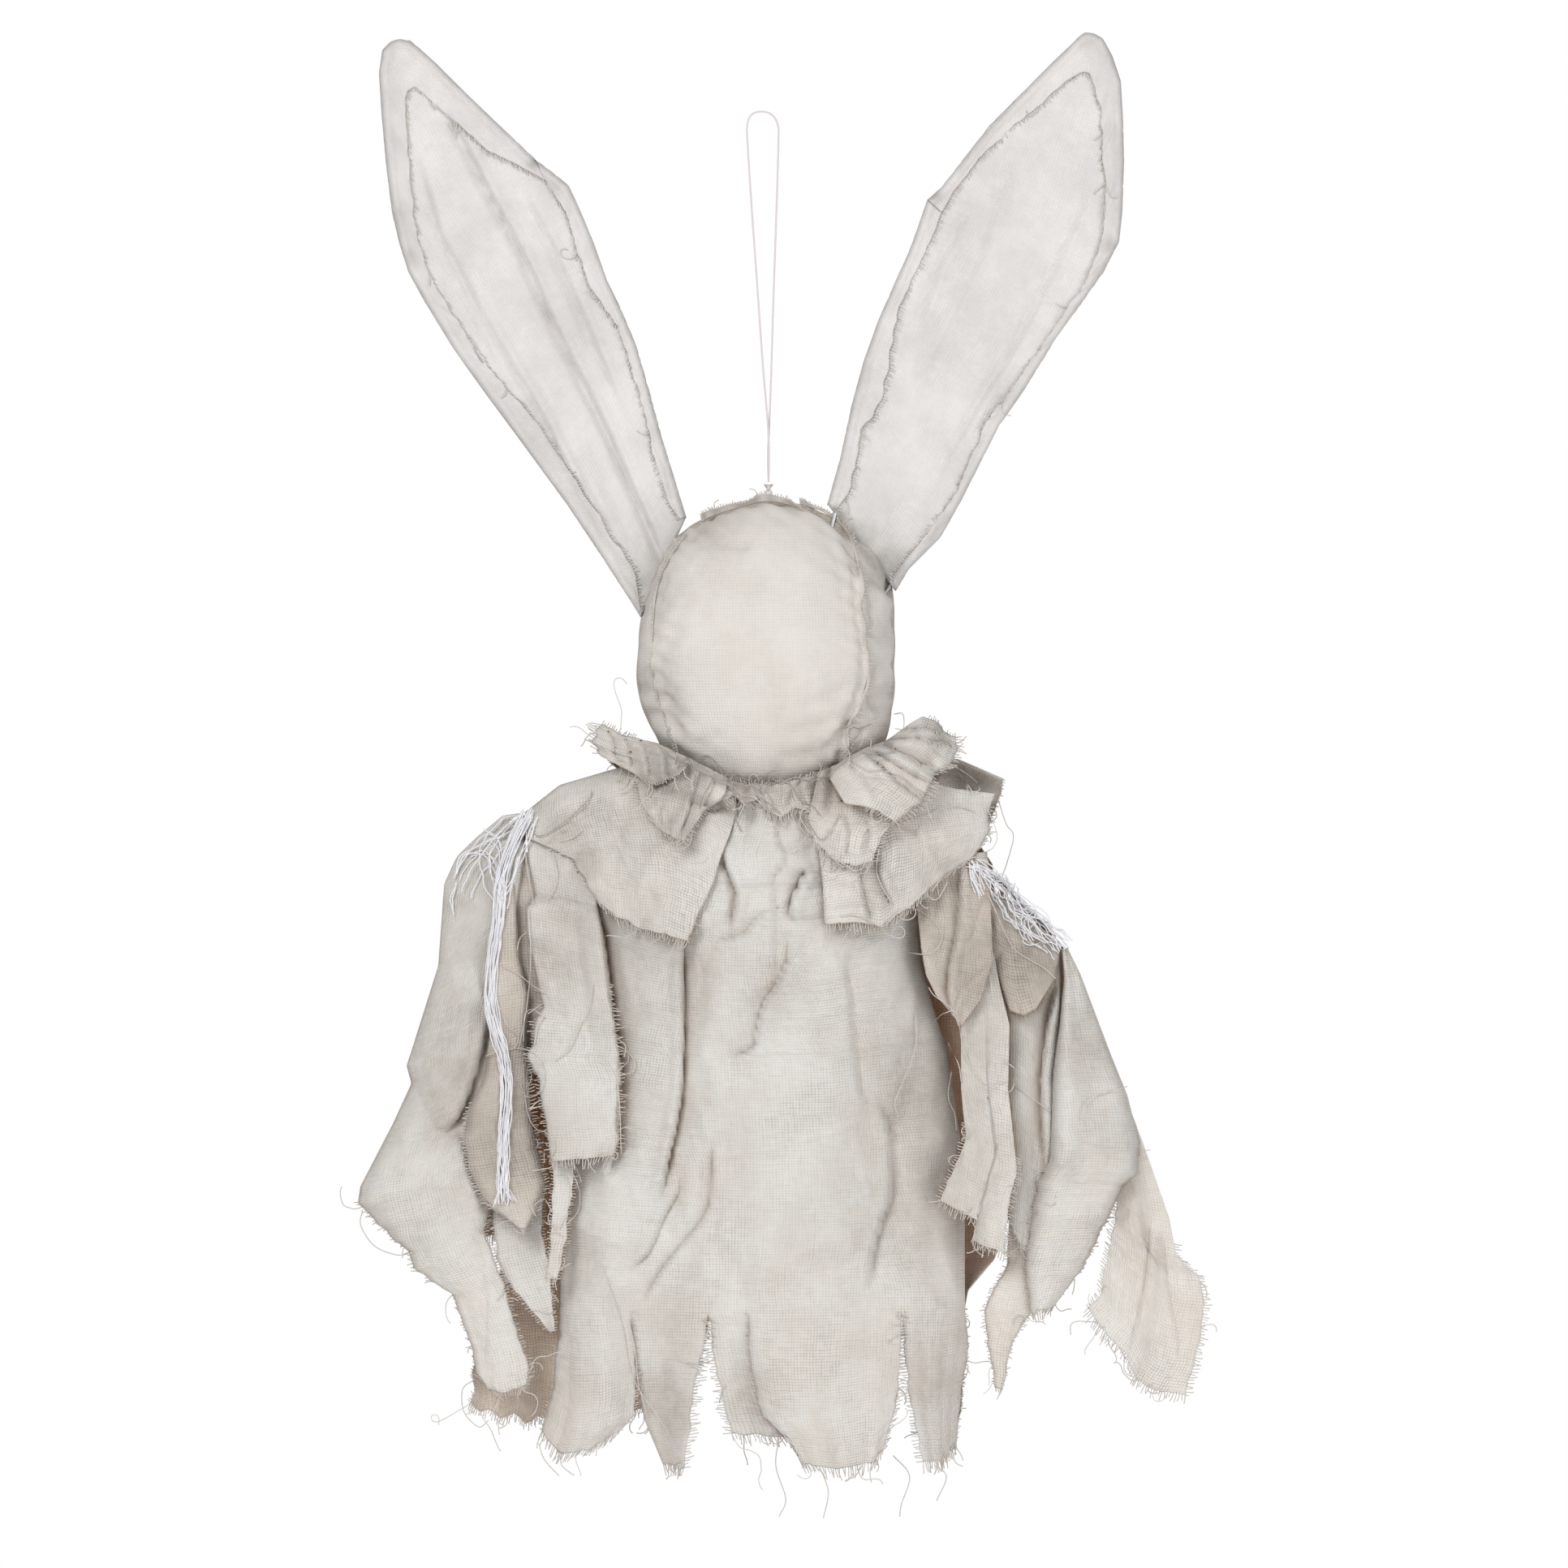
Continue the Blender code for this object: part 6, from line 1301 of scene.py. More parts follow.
def makeEar(name, ear, seed):
    outerLine = [onGrid(*p) for p in ear["outer"] + ear["tip"][:2]]
    innerLine = [onGrid(*p) for p in ear["inner"] + ear["tip"][:0:-1]]
    t = 1 - (1 - np.linspace(0, 1, earSettings["rows"])) ** earSettings["tipRows"]
    s = 0.5 - 0.5 * np.cos(np.linspace(0, math.pi, earSettings["columns"]))
    left, right = resample(outerLine, t), resample(innerLine, t)
    patch = left[:, None] * (1 - s[None, :, None]) + right[:, None] * s[None, :, None]
    x, z = patch[..., 0], patch[..., 1]
    rim = pathDistance(x, z, outerLine + innerLine[::-1])
    roll = earSettings["roll"]
    depth = np.sqrt(np.clip(roll ** 2 - (rim - roll) ** 2, 0, None))
    edge = earSettings["wireEdge"] * roll
    step = np.exp(-np.maximum(rim - edge, 0) / earSettings["stepReach"])
    inside = earSettings["skin"] + earSettings["wireStep"] * step
    depth = np.where(rim > edge, inside, depth)
    depth = np.maximum(depth, np.minimum(rim, earSettings["skin"]))
    ripple = (wrinkles["earBroad"] * valueNoise(x / 0.010 + z / 0.03, z / 0.03, seed)
              + wrinkles["earFine"] * valueNoise(x / 0.003, z / 0.004, seed))
    middle = np.clip((rim - earSettings["flatRim"]) / earSettings["flatReach"], 0, 1)
    sway = np.zeros_like(x)
    for path, drop, width in ear["folds"]:
        distance = pathDistance(x, z, [onGrid(*p) for p in path])
        sway += drop * 0.001 * np.exp(-(distance / (width * 0.001)) ** 2)
    for path, drop in ear["creases"]:
        distance, side, share = pathFrame(x, z, [onGrid(*p) for p in path])
        rise = drop * (earSettings["creaseHigh"] * 0.001) * np.clip(np.minimum(share, 1 - share) * 8, 0, 1)
        away = (distance - earSettings["ridgeFrom"]) / earSettings["ridgeWide"]
        ridgeAway = np.where(side > 0, 0.9, 0.35) * np.exp(-away ** 2)
        sway += rise * (np.exp(-distance / earSettings["creaseWide"]) - ridgeAway)
    lift = middle * (sway * 1.3 + ripple * 1.6)
    wobble = wrinkles["earWobble"] * valueNoise(x / 0.006, z / 0.006, seed + 1) * np.clip(rim / 0.001, 0, 1)
    front = np.stack([x, lift - depth - np.abs(wobble), z], axis=-1)
    back = np.stack([x, lift + depth + np.abs(wobble), z], axis=-1)
    stamp(refined(front, 2))
    stamp(refined(back, 2))
    hemNames = []
    for number, hem in enumerate(ear["hems"]):
        outline = []
        for key, first, last in hem["outline"]:
            outline += ear[key][first:last] if first <= last else ear[key][:last:-1] if last >= 0 else ear[key][::-1]
        edges = (outline, hem["line"]) if hem["edge"] == "left" else (hem["line"], outline)
        band = {"side": -1, "group": "ears", "muslin": "ear", "depth": (0.4, 0.4, 0.4, 0.4), "crumple": 0.55,
                "curl": 0, "frayed": {"right" if hem["edge"] == "left" else "left": 1.7}, "held": "stretched",
                "restsOn": ["ear_%s_cover" % name], "shadeAndStain": 0.3, "close": front, "across": 18,
                "left": edges[0][::-1], "right": edges[1][::-1]}
        hemName = "ear_%s_hem_%s" % (name, hem["name"])
        layCloth(hemName, band, seed + 40 + number)
        hemNames.append(hemName)
    return {"front": front, "back": back, "hems": hemNames, "map": mapCoordinates(front)}


def earObject(name, laid):
    front, back = laid["front"], laid["back"]
    quads = turnedQuads(gridQuads(front))
    points = np.concatenate([front.reshape(-1, 3), back.reshape(-1, 3)])
    faces = np.concatenate([quads, quads[:, ::-1] + len(points) // 2])
    flat = laid["map"].reshape(-1, 2)
    obj = paintedObject("ear_%s_cover" % name, points, faces, np.concatenate([flat, flat]), "ear",
                        (-1, earSettings["shadeAndStain"]), 2e-5, closed=True)
    finished(obj, ["ear_cover_" + name])


def makeRidge(ridge):
    # raw seam allowance standing up from the head's cover
    line = [onGrid(*p) for p in ridge["path"]]
    count = round(sum(math.dist(a, b) for a, b in zip(line, line[1:])) / clothSettings["cell"])
    line = smoothPath(line, count)
    i, j = reliefCells(line[:, 0], line[:, 1])
    depth = np.clip(grown(relief[-1], 1)[i, j], 0, None)
    for _ in range(8):
        depth[1:-1] = (depth[:-2] + depth[1:-1] * 2 + depth[2:]) / 4
    depth = depth - headSettings["ridgeSunk"]
    base = np.stack([line[:, 0], -depth, line[:, 1]], 1)
    cx, cz = onGrid(*headSettings["centre"])
    wide, deep, tall = headSettings["halfSizes"]
    out = np.stack([(line[:, 0] - cx) / wide ** 2, -depth / deep ** 2, (line[:, 1] - cz) / tall ** 2], 1)
    out /= np.linalg.norm(out, axis=1, keepdims=True)
    along = np.gradient(base, axis=0)
    aside = np.cross(out, along / np.maximum(np.linalg.norm(along, axis=1, keepdims=True), 1e-9))
    spot = np.arange(count) * clothSettings["cell"]
    lean = headSettings["ridgeLean"] * valueNoise(spot / 0.011, spot * 0, ridge["seed"])
    lean = lean + headSettings["ridgeCurl"] * valueNoise(spot / 0.004, spot * 0, 9)
    height = headSettings["ridgeHeight"] * ridge["height"] * (1 + 0.35 * valueNoise(spot / 0.009, spot * 0, 2))
    rows = []
    for share in np.linspace(0, 1, headSettings["ridgeRows"]):
        rise = out * (height * share)[:, None] + aside * (height * lean * share ** 1.5)[:, None]
        rows.append(base + rise)
    grid = np.stack(rows)
    stamp(refined(grid, 2))
    outward = (grid[-1] - grid[0]) / np.linalg.norm(grid[-1] - grid[0], axis=1)[:, None]
    frayEdges.append({"line": grid[-1], "out": outward, "length": ridge["fray"] * 0.001, "group": "head",
                      "side": -1, "edge": "top"})
    return grid


def ridgeObject(number, grid):
    points = grid.reshape(-1, 3)
    obj = paintedObject("head_seam_edge_%d" % number, points, turnedQuads(gridQuads(grid)),
                        mapCoordinates(grid).reshape(-1, 2), "head", (-1, 0.5), None)
    withModifier(obj, "Cloth thickness", "SOLIDIFY", thickness=clothSettings["thickness"] * 1.5, offset=0.0)
    finished(obj)


print("laying cloth")
ridgeGrids = [makeRidge(ridge) for ridge in headRidges]
earGrids = {name: makeEar(name, ear, 100 + 50 * k) for k, (name, ear) in enumerate(ears.items())}
layGown("gown_back", gownBack, 200)
layGown("gown_front", gownFront, 300)
pieces = {name: {**sleeveDefaults, **piece} for name, piece in sleevePieces.items()}
pieces.update({name: {**capeDefaults, **piece} for name, piece in capePieces.items()})
for number, (name, piece) in enumerate(pieces.items()):
    layCloth(name, piece, 400 + 17 * number)
print("cloth laid:", len(laidCloth), "pieces")

paintCloth(head.data, np.array([v.co for v in head.data.vertices]), 0, 0.8)
finished(head, ["head"])
for number, grid in enumerate(ridgeGrids):
    ridgeObject(number, grid)
for name, laid in earGrids.items():
    earObject(name, laid)
for name, laid in laidCloth.items():
    clothObject(name, laid)
print("cloth pieces finished")


# Fringe of short thread ends along every torn edge
fringeSettings = {"spacing": 0.0014, "radius": 0.00028, "bend": 0.0003, "lengthen": 1.35}


def newTree(name, inputs, result):
    tree = bpy.data.node_groups.new(name, "GeometryNodeTree")
    for label, kind, default in inputs:
        socket = tree.interface.new_socket(label, in_out="INPUT", socket_type="NodeSocket" + kind)
        if default is not None:
            socket.default_value = default
    tree.interface.new_socket(result, in_out="OUTPUT", socket_type="NodeSocketGeometry")
    return tree, addNode(tree, "NodeGroupInput").outputs


def attributeNode(tree, name, kind="FLOAT"):
    return addNode(tree, "GeometryNodeInputNamedAttribute", {"data_type": kind}, {"Name": name}).outputs[0]


def sweptStrands(tree, curve, sides, radius):
    ring = addNode(tree, "GeometryNodeCurvePrimitiveCircle", inputs={"Resolution": sides, "Radius": radius})
    return addNode(tree, "GeometryNodeCurveToMesh",
                   inputs={"Curve": curve, "Profile Curve": ring.outputs[0], "Fill Caps": True}).outputs[0]


def finishTree(tree, geometry, finish):
    real = addNode(tree, "GeometryNodeRealizeInstances", inputs={0: geometry})
    done = addNode(tree, "GeometryNodeSetMaterial", inputs={"Geometry": real.outputs[0], "Material": finish})
    addNode(tree, "NodeGroupOutput", inputs={0: done.outputs[0]})
    return tree


def grownFrom(name, points, links, layers, tree, inputs):
    # strands grown by a tree from guide lines, as a plain mesh
    mesh = bpy.data.meshes.new(name)
    mesh.from_pydata(points, links, [])
    for layer, kind, values in layers:
        setLayer(mesh, layer, values, kind)
    guide = linked(bpy.data.objects.new(name, mesh))
    modifier = guide.modifiers.new("Strands", "NODES")
    modifier.node_group = tree
    for item in tree.interface.items_tree:
        if item.in_out == "INPUT" and item.name in inputs:
            modifier[item.identifier] = inputs[item.name]
    grownMesh = asMesh(guide)
    print(name, len(grownMesh.data.polygons), "faces")
    return grownMesh


def makeFringeTree():
    tree, given = newTree("fringe of thread ends", (
        ("Edge", "Geometry", None), ("Spacing", "Float", fringeSettings["spacing"]),
        ("Radius", "Float", fringeSettings["radius"]), ("Bend", "Float", fringeSettings["bend"]),
        ("Seed", "Int", 1), ("Finish", "Material", None)), "Fringe")
    line = addNode(tree, "GeometryNodeMeshToCurve", inputs={"Mesh": given["Edge"]})
    spots = addNode(tree, "GeometryNodeResampleCurve", {"mode": "LENGTH"},
                    {"Curve": line.outputs[0], "Length": given["Spacing"]})
    stray = addNode(tree, "FunctionNodeRandomValue", {"data_type": "FLOAT_VECTOR"},
                    {0: (-0.22, -0.35, -0.22), 1: (0.22, 0.35, 0.22), "Seed": given["Seed"]})
    aim = vectorNode(tree, "ADD", attributeNode(tree, "outward", "FLOAT_VECTOR"), stray.outputs[0])
    turned = addNode(tree, "FunctionNodeAlignRotationToVector", {"axis": "Z"}, {"Vector": aim})
    roll, vary = [addNode(tree, "FunctionNodeRandomValue", {"data_type": "FLOAT"},
                          {2: low, 3: high, "Seed": given["Seed"]}).outputs[1]
                  for low, high in ((0.0, 2 * math.pi), (0.5, 1.3))]
    rollAxis = addNode(tree, "FunctionNodeAxisAngleToRotation", inputs={"Axis": (0, 0, 1), "Angle": roll})
    rotation = addNode(tree, "FunctionNodeRotateRotation", {"rotation_space": "LOCAL"},
                       {0: turned.outputs[0], 1: rollAxis.outputs[0]})
    long = mathNode(tree, "MULTIPLY", attributeNode(tree, "reach"), vary)
    scale = addNode(tree, "ShaderNodeCombineXYZ", inputs={0: 1.0, 1: 1.0, 2: long})
    knee = addNode(tree, "ShaderNodeCombineXYZ", inputs={0: given["Bend"], 1: 0.0, 2: 0.6})
    hair = addNode(tree, "GeometryNodeCurveQuadraticBezier",
                   inputs={"Resolution": 2, "Start": (0, 0, -0.3), "Middle": knee.outputs[0], "End": (0, 0, 1)})
    placed = addNode(tree, "GeometryNodeInstanceOnPoints",
                     inputs={"Points": spots.outputs[0], "Rotation": rotation.outputs[0], "Scale": scale.outputs[0],
                             "Instance": sweptStrands(tree, hair.outputs[0], 3, given["Radius"])})
    return finishTree(tree, placed.outputs[0], given["Finish"])


def makeFringe(group, tree, seed):
    edges = [e for e in frayEdges if e["group"] == group]
    reach = np.concatenate([np.full(len(e["line"]), e["length"]) for e in edges]) * fringeSettings["lengthen"]
    links, start = [], 0
    for e in edges:
        links += [(start + k, start + k + 1) for k in range(len(e["line"]) - 1)]
        start += len(e["line"])
    layers = (("outward", "FLOAT_VECTOR", np.concatenate([e["out"] for e in edges])), ("reach", "FLOAT", reach))
    inputs = {"Spacing": fringeSettings["spacing"], "Radius": fringeSettings["radius"],
              "Bend": fringeSettings["bend"], "Seed": seed, "Finish": strands["fray"]}
    points = np.concatenate([e["line"] for e in edges]).tolist()
    finished(grownFrom("fray_" + group, points, links, layers, tree, inputs))


fringeTree = makeFringeTree()
for number, group in enumerate(("gown", "left", "right", "collar", "ears", "head")):
    makeFringe(group, fringeTree, 11 + number)
print("fringes made")


# Loose threads: random curly ones at the torn hems, and those that the photograph shows
looseSettings = {"radius": 0.00024, "step": 0.0011, "every": 0.0065, "lowest": 1868, "shortest": 0.004,
                 "longest": 0.035, "scatter": 0.0048, "sparse": 0.12, "seed": 77, "spring": 0.86, "curl": 0.42,
                 "fall": 0.10, "clear": 0.0005, "share": {"bottom": 0.9, "left": 0.22, "right": 0.22, "top": 0.2}}
threadPaths = [
    [(447, 1490), (445, 1510), (462, 1535), (490, 1546), (510, 1542)],
    [(960, 1765), (956, 1800), (968, 1840), (960, 1862)], [(1010, 1800), (1020, 1830), (1014, 1862)],
    [(1100, 1790), (1120, 1815), (1110, 1850), (1108, 1865)], [(1150, 1800), (1165, 1815), (1153, 1845)],
    [(665, 1775), (672, 1795), (690, 1815)], [(584, 1700), (570, 1712), (572, 1740), (590, 1758), (602, 1750)],
    [(742, 1553), (750, 1575), (768, 1630), (780, 1690), (812, 1740), (836, 1775)],
    [(776, 1620), (784, 1660), (788, 1700), (800, 1740)],
    [(1213, 990), (1222, 1010), (1228, 1030), (1222, 1045), (1205, 1052)],
    [(1230, 985), (1240, 1015), (1249, 1030), (1242, 1060), (1235, 1080)],
    [(1120, 1173), (1140, 1174), (1155, 1165), (1160, 1150), (1148, 1132), (1124, 1117)],
    [(1082, 1045), (1079, 1070), (1085, 1090), (1098, 1112)],
    [(1035, 1128), (1050, 1126), (1068, 1132), (1085, 1140), (1098, 1130), (1108, 1120), (1122, 1117)],
    [(1045, 1140), (1050, 1155), (1062, 1150), (1058, 1136)],
    [(1128, 1250), (1127, 1290), (1112, 1330), (1102, 1355), (1106, 1374)],
    [(1101, 880), (1112, 880), (1112, 898), (1102, 898)], [(1040, 900), (1055, 893), (1085, 887)],
    [(1042, 895), (1040, 912), (1046, 930), (1044, 944)], [(1060, 918), (1064, 911), (1072, 912), (1072, 920)],
    [(1150, 948), (1175, 945), (1200, 960), (1207, 972), (1198, 975), (1190, 962)],
    [(1166, 960), (1180, 952), (1190, 966), (1193, 978)],
    [(1112, 1012), (1140, 1004), (1160, 995), (1180, 993), (1200, 999)],
    [(1300, 1205), (1285, 1192), (1268, 1182), (1250, 1170), (1238, 1150), (1224, 1118), (1216, 1100)],
    [(1292, 1146), (1282, 1160), (1266, 1160), (1254, 1132), (1246, 1118)],
    [(1180, 1262), (1170, 1240), (1150, 1225), (1143, 1215)],
    [(1150, 1258), (1168, 1244), (1178, 1250), (1186, 1290), (1200, 1320), (1215, 1335), (1240, 1330)],
    [(1236, 1305), (1250, 1318), (1246, 1340), (1236, 1346)], [(1250, 1338), (1275, 1355), (1292, 1368)],
    [(1330, 1380), (1335, 1360), (1345, 1350), (1370, 1343), (1388, 1338)],
    [(1168, 1285), (1180, 1310), (1183, 1330)], [(1172, 1320), (1168, 1350), (1176, 1372), (1178, 1392)],
    [(648, 1050), (652, 1080), (658, 1112)], [(682, 1050), (688, 1075), (684, 1095), (674, 1108)],
    [(638, 1170), (642, 1155), (650, 1148)], [(652, 1120), (655, 1180), (650, 1240), (640, 1292)],
    [(600, 1300), (615, 1293), (634, 1290), (640, 1276), (627, 1262), (617, 1240)],
    [(620, 1190), (640, 1200), (655, 1212), (672, 1222)],
    [(634, 1290), (655, 1293), (668, 1305), (672, 1325), (665, 1345), (650, 1350), (642, 1334)],
    [(646, 1282), (648, 1250), (658, 1243), (672, 1252)], [(660, 1285), (664, 1262), (672, 1250)],
    [(646, 1310), (648, 1350), (655, 1380), (670, 1400), (672, 1430)],
    [(760, 1285), (772, 1292), (775, 1305), (765, 1315), (762, 1322), (780, 1318), (783, 1305), (770, 1290)],
    [(762, 1325), (765, 1360), (767, 1420)], [(690, 1432), (705, 1440), (715, 1465), (713, 1490), (700, 1505)],
    [(696, 1435), (703, 1460), (700, 1490), (690, 1510)], [(660, 1482), (672, 1475), (682, 1490)],
    [(656, 1484), (665, 1500), (680, 1506)], [(685, 1305), (702, 1292), (715, 1265), (728, 1235), (732, 1210)],
    [(690, 1036), (705, 1032), (718, 1022)]]


neckThreads = [
    [(860, 933), (875, 932), (888, 948), (893, 960), (905, 975), (908, 1000)],
    [(893, 956), (905, 953), (918, 957), (932, 957)], [(940, 958), (950, 952), (958, 950)],
    [(853, 948), (857, 960), (852, 975), (846, 981)], [(880, 960), (868, 980), (863, 996)],
    [(864, 1002), (885, 988), (900, 980), (912, 985), (916, 1002)],
    [(925, 955), (928, 970), (935, 980), (948, 990), (962, 1002)],
    [(900, 962), (912, 972), (925, 968), (940, 975), (950, 965)],
    [(960, 960), (975, 968), (985, 985), (1000, 992), (1010, 1004)],
    [(990, 1000), (1000, 1020), (1012, 1034), (1025, 1020), (1034, 1002)],
    [(845, 937), (856, 945), (866, 952), (880, 957), (894, 961), (910, 958), (924, 962)],
    [(1020, 957), (1030, 944), (1045, 934), (1060, 927), (1075, 921), (1088, 917)],
    [(1000, 950), (1012, 962), (1020, 980), (1016, 996)],
    [(930, 962), (946, 958), (962, 964), (980, 958), (1000, 962), (1016, 956)],
    [(868, 946), (884, 962), (900, 968), (914, 980), (930, 984)],
    [(905, 948), (902, 966), (912, 984), (906, 1004), (914, 1024)], [(950, 955), (944, 972), (952, 990), (946, 1010)],
    [(820, 925), (832, 934), (850, 940)], [(826, 896), (822, 904), (828, 912), (838, 918)],
    [(1034, 900), (1046, 896), (1060, 898), (1074, 892)], [(1062, 896), (1056, 908), (1048, 916), (1042, 930)],
    [(650, 1010), (665, 1030), (700, 1010), (726, 985), (730, 975)]]


def threadLine(points, ease=6):
    # a thread lies just in front of what is behind it
    line = smoothPath([onGrid(*p) for p in points], 12 * len(points))
    under = grown(relief[-1], 2)
    i, j = reliefCells(line[:, 0], line[:, 1])
    depth = under[i, j]
    known = depth > -0.1
    depth = np.where(known, depth, np.interp(np.arange(len(depth)), np.flatnonzero(known), depth[known])
                     if known.any() else 0.02)
    for _ in range(ease):
        depth[1:-1] = np.maximum(depth[1:-1], (depth[:-2] + depth[2:]) / 2 * 0.999)
    return np.stack([line[:, 0], -(depth + 0.0006), line[:, 1]], 1)


def curlyThread(start, out, side, length, rng):
    # a pulled thread springs into uneven curls and falls
    steps = max(5, int(length / looseSettings["step"]))
    heading = math.atan2(out[2], out[0]) + rng.uniform(-0.9, 0.9)
    bend = rng.uniform(-1, 1)
    tilt = rng.uniform(-0.5, 0.3)
    point = np.array(start)
    line = [point.copy()]
    lowest = onGrid(0, looseSettings["lowest"])[1]
    for _ in range(steps):
        bend = looseSettings["spring"] * bend + rng.normal(0, 0.34)
        heading += bend * looseSettings["curl"]
        heading += looseSettings["fall"] * math.sin(-math.pi / 2 - heading)
        step = np.array([math.cos(heading), side * abs(tilt) * 0.3 * rng.uniform(-0.4, 1), math.sin(heading)])
        point = point + step * looseSettings["step"]
        point[2] = max(point[2], lowest)
        line.append(point.copy())
    line = np.array(line)
    under = relief[side]
    i, j = reliefCells(line[:, 0], line[:, 2])
    line[:, 1] = side * np.maximum(side * line[:, 1], under[i, j] + looseSettings["clear"])
    return line


def makeLooseThreads():
    groups = {}
    rng = np.random.RandomState(looseSettings["seed"])
    for edge in frayEdges:
        sparse = edge["group"] in ("ears", "head")
        share = looseSettings["sparse"] if sparse else looseSettings["share"][edge["edge"]]
        span = np.linalg.norm(np.diff(edge["line"], axis=0), axis=1).sum()
        for _ in range(int(span / looseSettings["every"] * share + rng.rand())):
            k = rng.randint(len(edge["line"]))
            length = looseSettings["shortest"] + rng.gamma(1.5, looseSettings["scatter"]) * (0.5 if sparse else 1.0)
            length = min(length, looseSettings["longest"])
            line = curlyThread(edge["line"][k], edge["out"][k], edge["side"], length, rng)
            groups.setdefault(edge["group"], []).append(line)
    groups["drawn"] = [threadLine(path) for path in threadPaths]
    groups["neck"] = [threadLine(path) for path in neckThreads]
    for group, lines in groups.items():
        # the neck's threads take the darker grey, partly painted shade
        look = strands["shadedNeckThread" if group == "neck" else "fray"]
        obj = asMesh(linked(threadCurve("loose_threads_" + group, lines, looseSettings["radius"], look, 0)))
        print("loose threads", group, len(lines))
        finished(obj)


makeLooseThreads()


# Yarn hanks of many strands: grid path, strands, spread and wave in metres
yarnStrand = {"radius": 0.0003, "sides": 4, "wave": 0.012, "apart": 19.0, "ease": 60, "lift": 0.0006}
yarnGuides = {
    "yarn_hank_left": [([(652, 1002), (634, 1040), (618, 1092), (616, 1130), (608, 1190), (606, 1232), (613, 1270),
          (622, 1300), (626, 1345), (623, 1400), (622, 1450), (622, 1476)],
         22, 0.0026, 0.0008),
        ([(574, 1052), (596, 1048), (612, 1070), (618, 1100), (612, 1150)], 3, 0.0024, 0.001),
        ([(600, 1028), (618, 1042), (622, 1075), (616, 1110)], 3, 0.0028, 0.001),
        ([(648, 1001), (640, 1020), (600, 1040), (566, 1058), (556, 1085)], 2, 0.0022, 0.001),
        ([(660, 1010), (645, 1048), (630, 1082), (622, 1120)], 4, 0.0024, 0.001),
        ([(644, 1004), (622, 1012), (598, 1032), (574, 1056), (562, 1080)], 2, 0.0034, 0.0012),
        ([(650, 1006), (628, 1026), (606, 1052), (590, 1072), (578, 1098)], 2, 0.0036, 0.0012),
        ([(630, 1010), (606, 1036), (596, 1062), (604, 1090), (614, 1112)], 3, 0.0034, 0.0012),
        ([(560, 1090), (555, 1108), (558, 1128)], 2, 0.001, 0.001),
        ([(622, 1450), (618, 1466), (612, 1480)], 4, 0.002, 0.001),
        ([(622, 1450), (628, 1466), (636, 1478)], 4, 0.002, 0.001)],
    "yarn_bundle_right": [([(1196, 1063), (1236, 1089), (1253, 1109), (1283, 1133), (1311, 1163)], 10, 0.0022,
         0.0022),
        ([(1197, 1066), (1201, 1082), (1208, 1102)], 9, 0.0024, 0.0014),
        ([(1205, 1070), (1225, 1095), (1240, 1125), (1262, 1150)], 6, 0.0032, 0.0026),
        ([(1240, 1094), (1250, 1122), (1280, 1150), (1306, 1172)], 6, 0.003, 0.0026),
        ([(1270, 1125), (1262, 1145), (1285, 1165)], 5, 0.0026, 0.002)]}


def makeYarnTree():
    tree, given = newTree("strands of a hank", (
        ("Guide", "Geometry", None), ("Radius", "Float", yarnStrand["radius"]), ("Finish", "Material", None)), "Hank")
    line = addNode(tree, "GeometryNodeMeshToCurve", inputs={"Mesh": given["Guide"]})
    copies = addNode(tree, "GeometryNodeDuplicateElements", {"domain": "SPLINE"},
                     {"Geometry": line.outputs[0], "Amount": attributeNode(tree, "strands", "INT")})
    scatter = addNode(tree, "FunctionNodeRandomValue", {"data_type": "FLOAT_VECTOR"},
                      {0: (-1, -0.35, -1), 1: (1, 0.35, 1), "Seed": 4})
    own = addNode(tree, "GeometryNodeCaptureAttribute", {"domain": "CURVE"}, {"Geometry": copies.outputs[0]})
    own.capture_items.new("VECTOR", "Scatter")
    tree.links.new(scatter.outputs[0], own.inputs["Scatter"])
    offset = own.outputs["Scatter"]
    aside = vectorNode(tree, "SCALE", offset, Scale=attributeNode(tree, "spread"))
    place = addNode(tree, "GeometryNodeInputPosition").outputs[0]
    somewhere = vectorNode(tree, "ADD", vectorNode(tree, "SCALE", place, Scale=1 / yarnStrand["wave"]),
                           vectorNode(tree, "SCALE", offset, Scale=yarnStrand["apart"]))
    noise = noiseNode(tree, somewhere, 1.0, Detail=1.0).outputs["Color"]
    sway = vectorNode(tree, "SCALE", vectorNode(tree, "SUBTRACT", noise, (0.5, 0.5, 0.5)),
                      Scale=attributeNode(tree, "wave"))
    move = vectorNode(tree, "ADD", aside, vectorNode(tree, "MULTIPLY", sway, (4, 1.2, 4)))
    shaped = addNode(tree, "GeometryNodeSetPosition", inputs={"Geometry": own.outputs[0], "Offset": move})
    solid = sweptStrands(tree, shaped.outputs[0], yarnStrand["sides"], given["Radius"])
    return finishTree(tree, solid, given["Finish"])


def makeYarn(name, guides, tree):
    points, links, own = [], [], []
    for path, count, spread, wave in guides:
        line = threadLine(path, yarnStrand["ease"])
        line[:, 1] -= yarnStrand["lift"]
        links += [(len(points) + k, len(points) + k + 1) for k in range(len(line) - 1)]
        points += line.tolist()
        own += [(count, spread, wave)] * len(line)
    counts, spreads, waves = zip(*own)
    layers = (("strands", "INT", counts), ("spread", "FLOAT", spreads), ("wave", "FLOAT", waves))
    inputs = {"Radius": yarnStrand["radius"], "Finish": strands["yarn"]}
    finished(grownFrom(name + "_strands", points, links, layers, tree, inputs), [name])


yarnTree = makeYarnTree()
for name, guides in yarnGuides.items():
    makeYarn(name, guides, yarnTree)
print("yarn made")


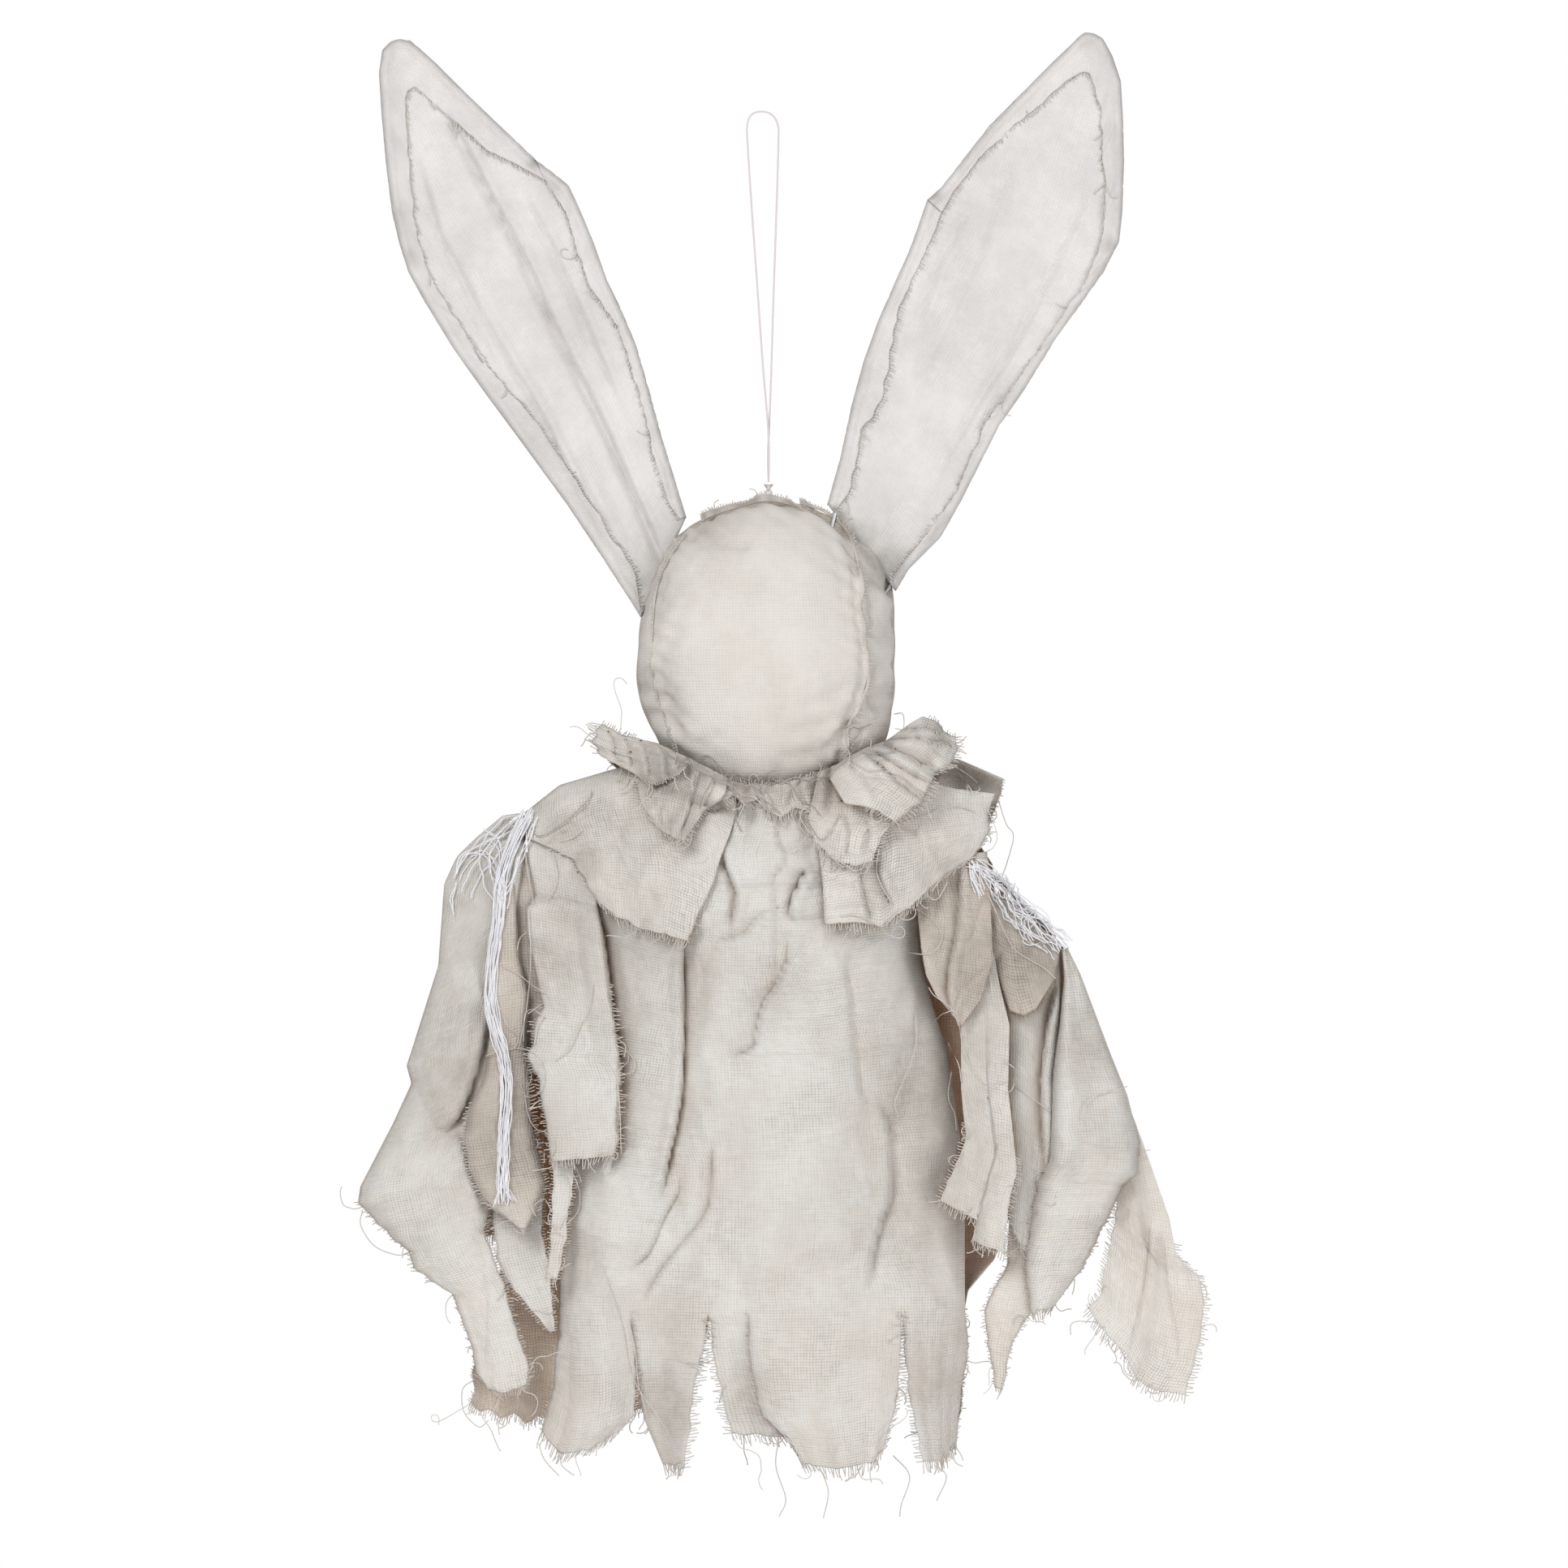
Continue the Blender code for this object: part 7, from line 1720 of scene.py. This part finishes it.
# Floor, world and lamps
stageSettings = {"floorDrop": -0.95, "floorSize": 4.0, "floor": "F4F3F1", "ambient": 0.40}
lamps = {
    "key": {"place": (-1.3, -2.8, 1.2), "size": 1.2, "power": 50},
    "fill": {"place": (2.0, -2.4, -0.5), "size": 2.2, "power": 34},
    "back": {"place": (0.4, 2.6, 1.2), "size": 2.2, "power": 36}}


def makeStage():
    mesh = bpy.data.meshes.new("studio_floor")
    half, drop = stageSettings["floorSize"] / 2, stageSettings["floorDrop"]
    mesh.from_pydata([(-half, -half, drop), (half, -half, drop), (half, half, drop), (-half, half, drop)], [],
                     [(0, 1, 2, 3)])
    floor = linked(bpy.data.objects.new("studio_floor", mesh))
    paint, tree, shader = newMaterial("matt_floor_paint")
    setInputs(tree, shader, {"Base Color": linear(stageSettings["floor"]), "Roughness": 0.9})
    mesh.materials.append(paint)


def makeWorld():
    world = bpy.data.worlds.new("studio")
    world.use_nodes = True
    tree = world.node_tree
    tree.nodes.clear()
    rays = addNode(tree, "ShaderNodeLightPath")
    seen = mathNode(tree, "MAXIMUM", rays.outputs["Is Camera Ray"], rays.outputs["Is Glossy Ray"])
    lit = addNode(tree, "ShaderNodeBackground", inputs={"Color": (1, 1, 1, 1), "Strength": stageSettings["ambient"]})
    white = addNode(tree, "ShaderNodeBackground", inputs={"Color": (1, 1, 1, 1), "Strength": 1.0})
    either = addNode(tree, "ShaderNodeMixShader", inputs={0: seen, 1: lit.outputs[0], 2: white.outputs[0]})
    addNode(tree, "ShaderNodeOutputWorld", inputs={0: either.outputs[0]})
    bpy.context.scene.world = world


def makeLamps():
    target = Vector((*onGrid(944, 1000), 0)).xzy
    for name, lamp in lamps.items():
        data = bpy.data.lights.new(name, "AREA")
        data.size = lamp["size"]
        data.energy = lamp["power"]
        obj = bpy.data.objects.new(name, data)
        obj.location = lamp["place"]
        obj.rotation_euler = (target - obj.location).to_track_quat("-Z", "Y").to_euler()
        bpy.context.scene.collection.objects.link(obj)


makeStage()
makeWorld()
makeLamps()
bpy.context.scene.view_settings.view_transform = "Standard"
print("stage and lamps made")

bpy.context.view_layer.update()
shown = [o.evaluated_get(bpy.context.evaluated_depsgraph_get()) for o in bpy.context.scene.objects if o.type == "MESH"]
print("triangles:", sum(len(p.vertices) - 2 for o in shown for p in o.data.polygons))
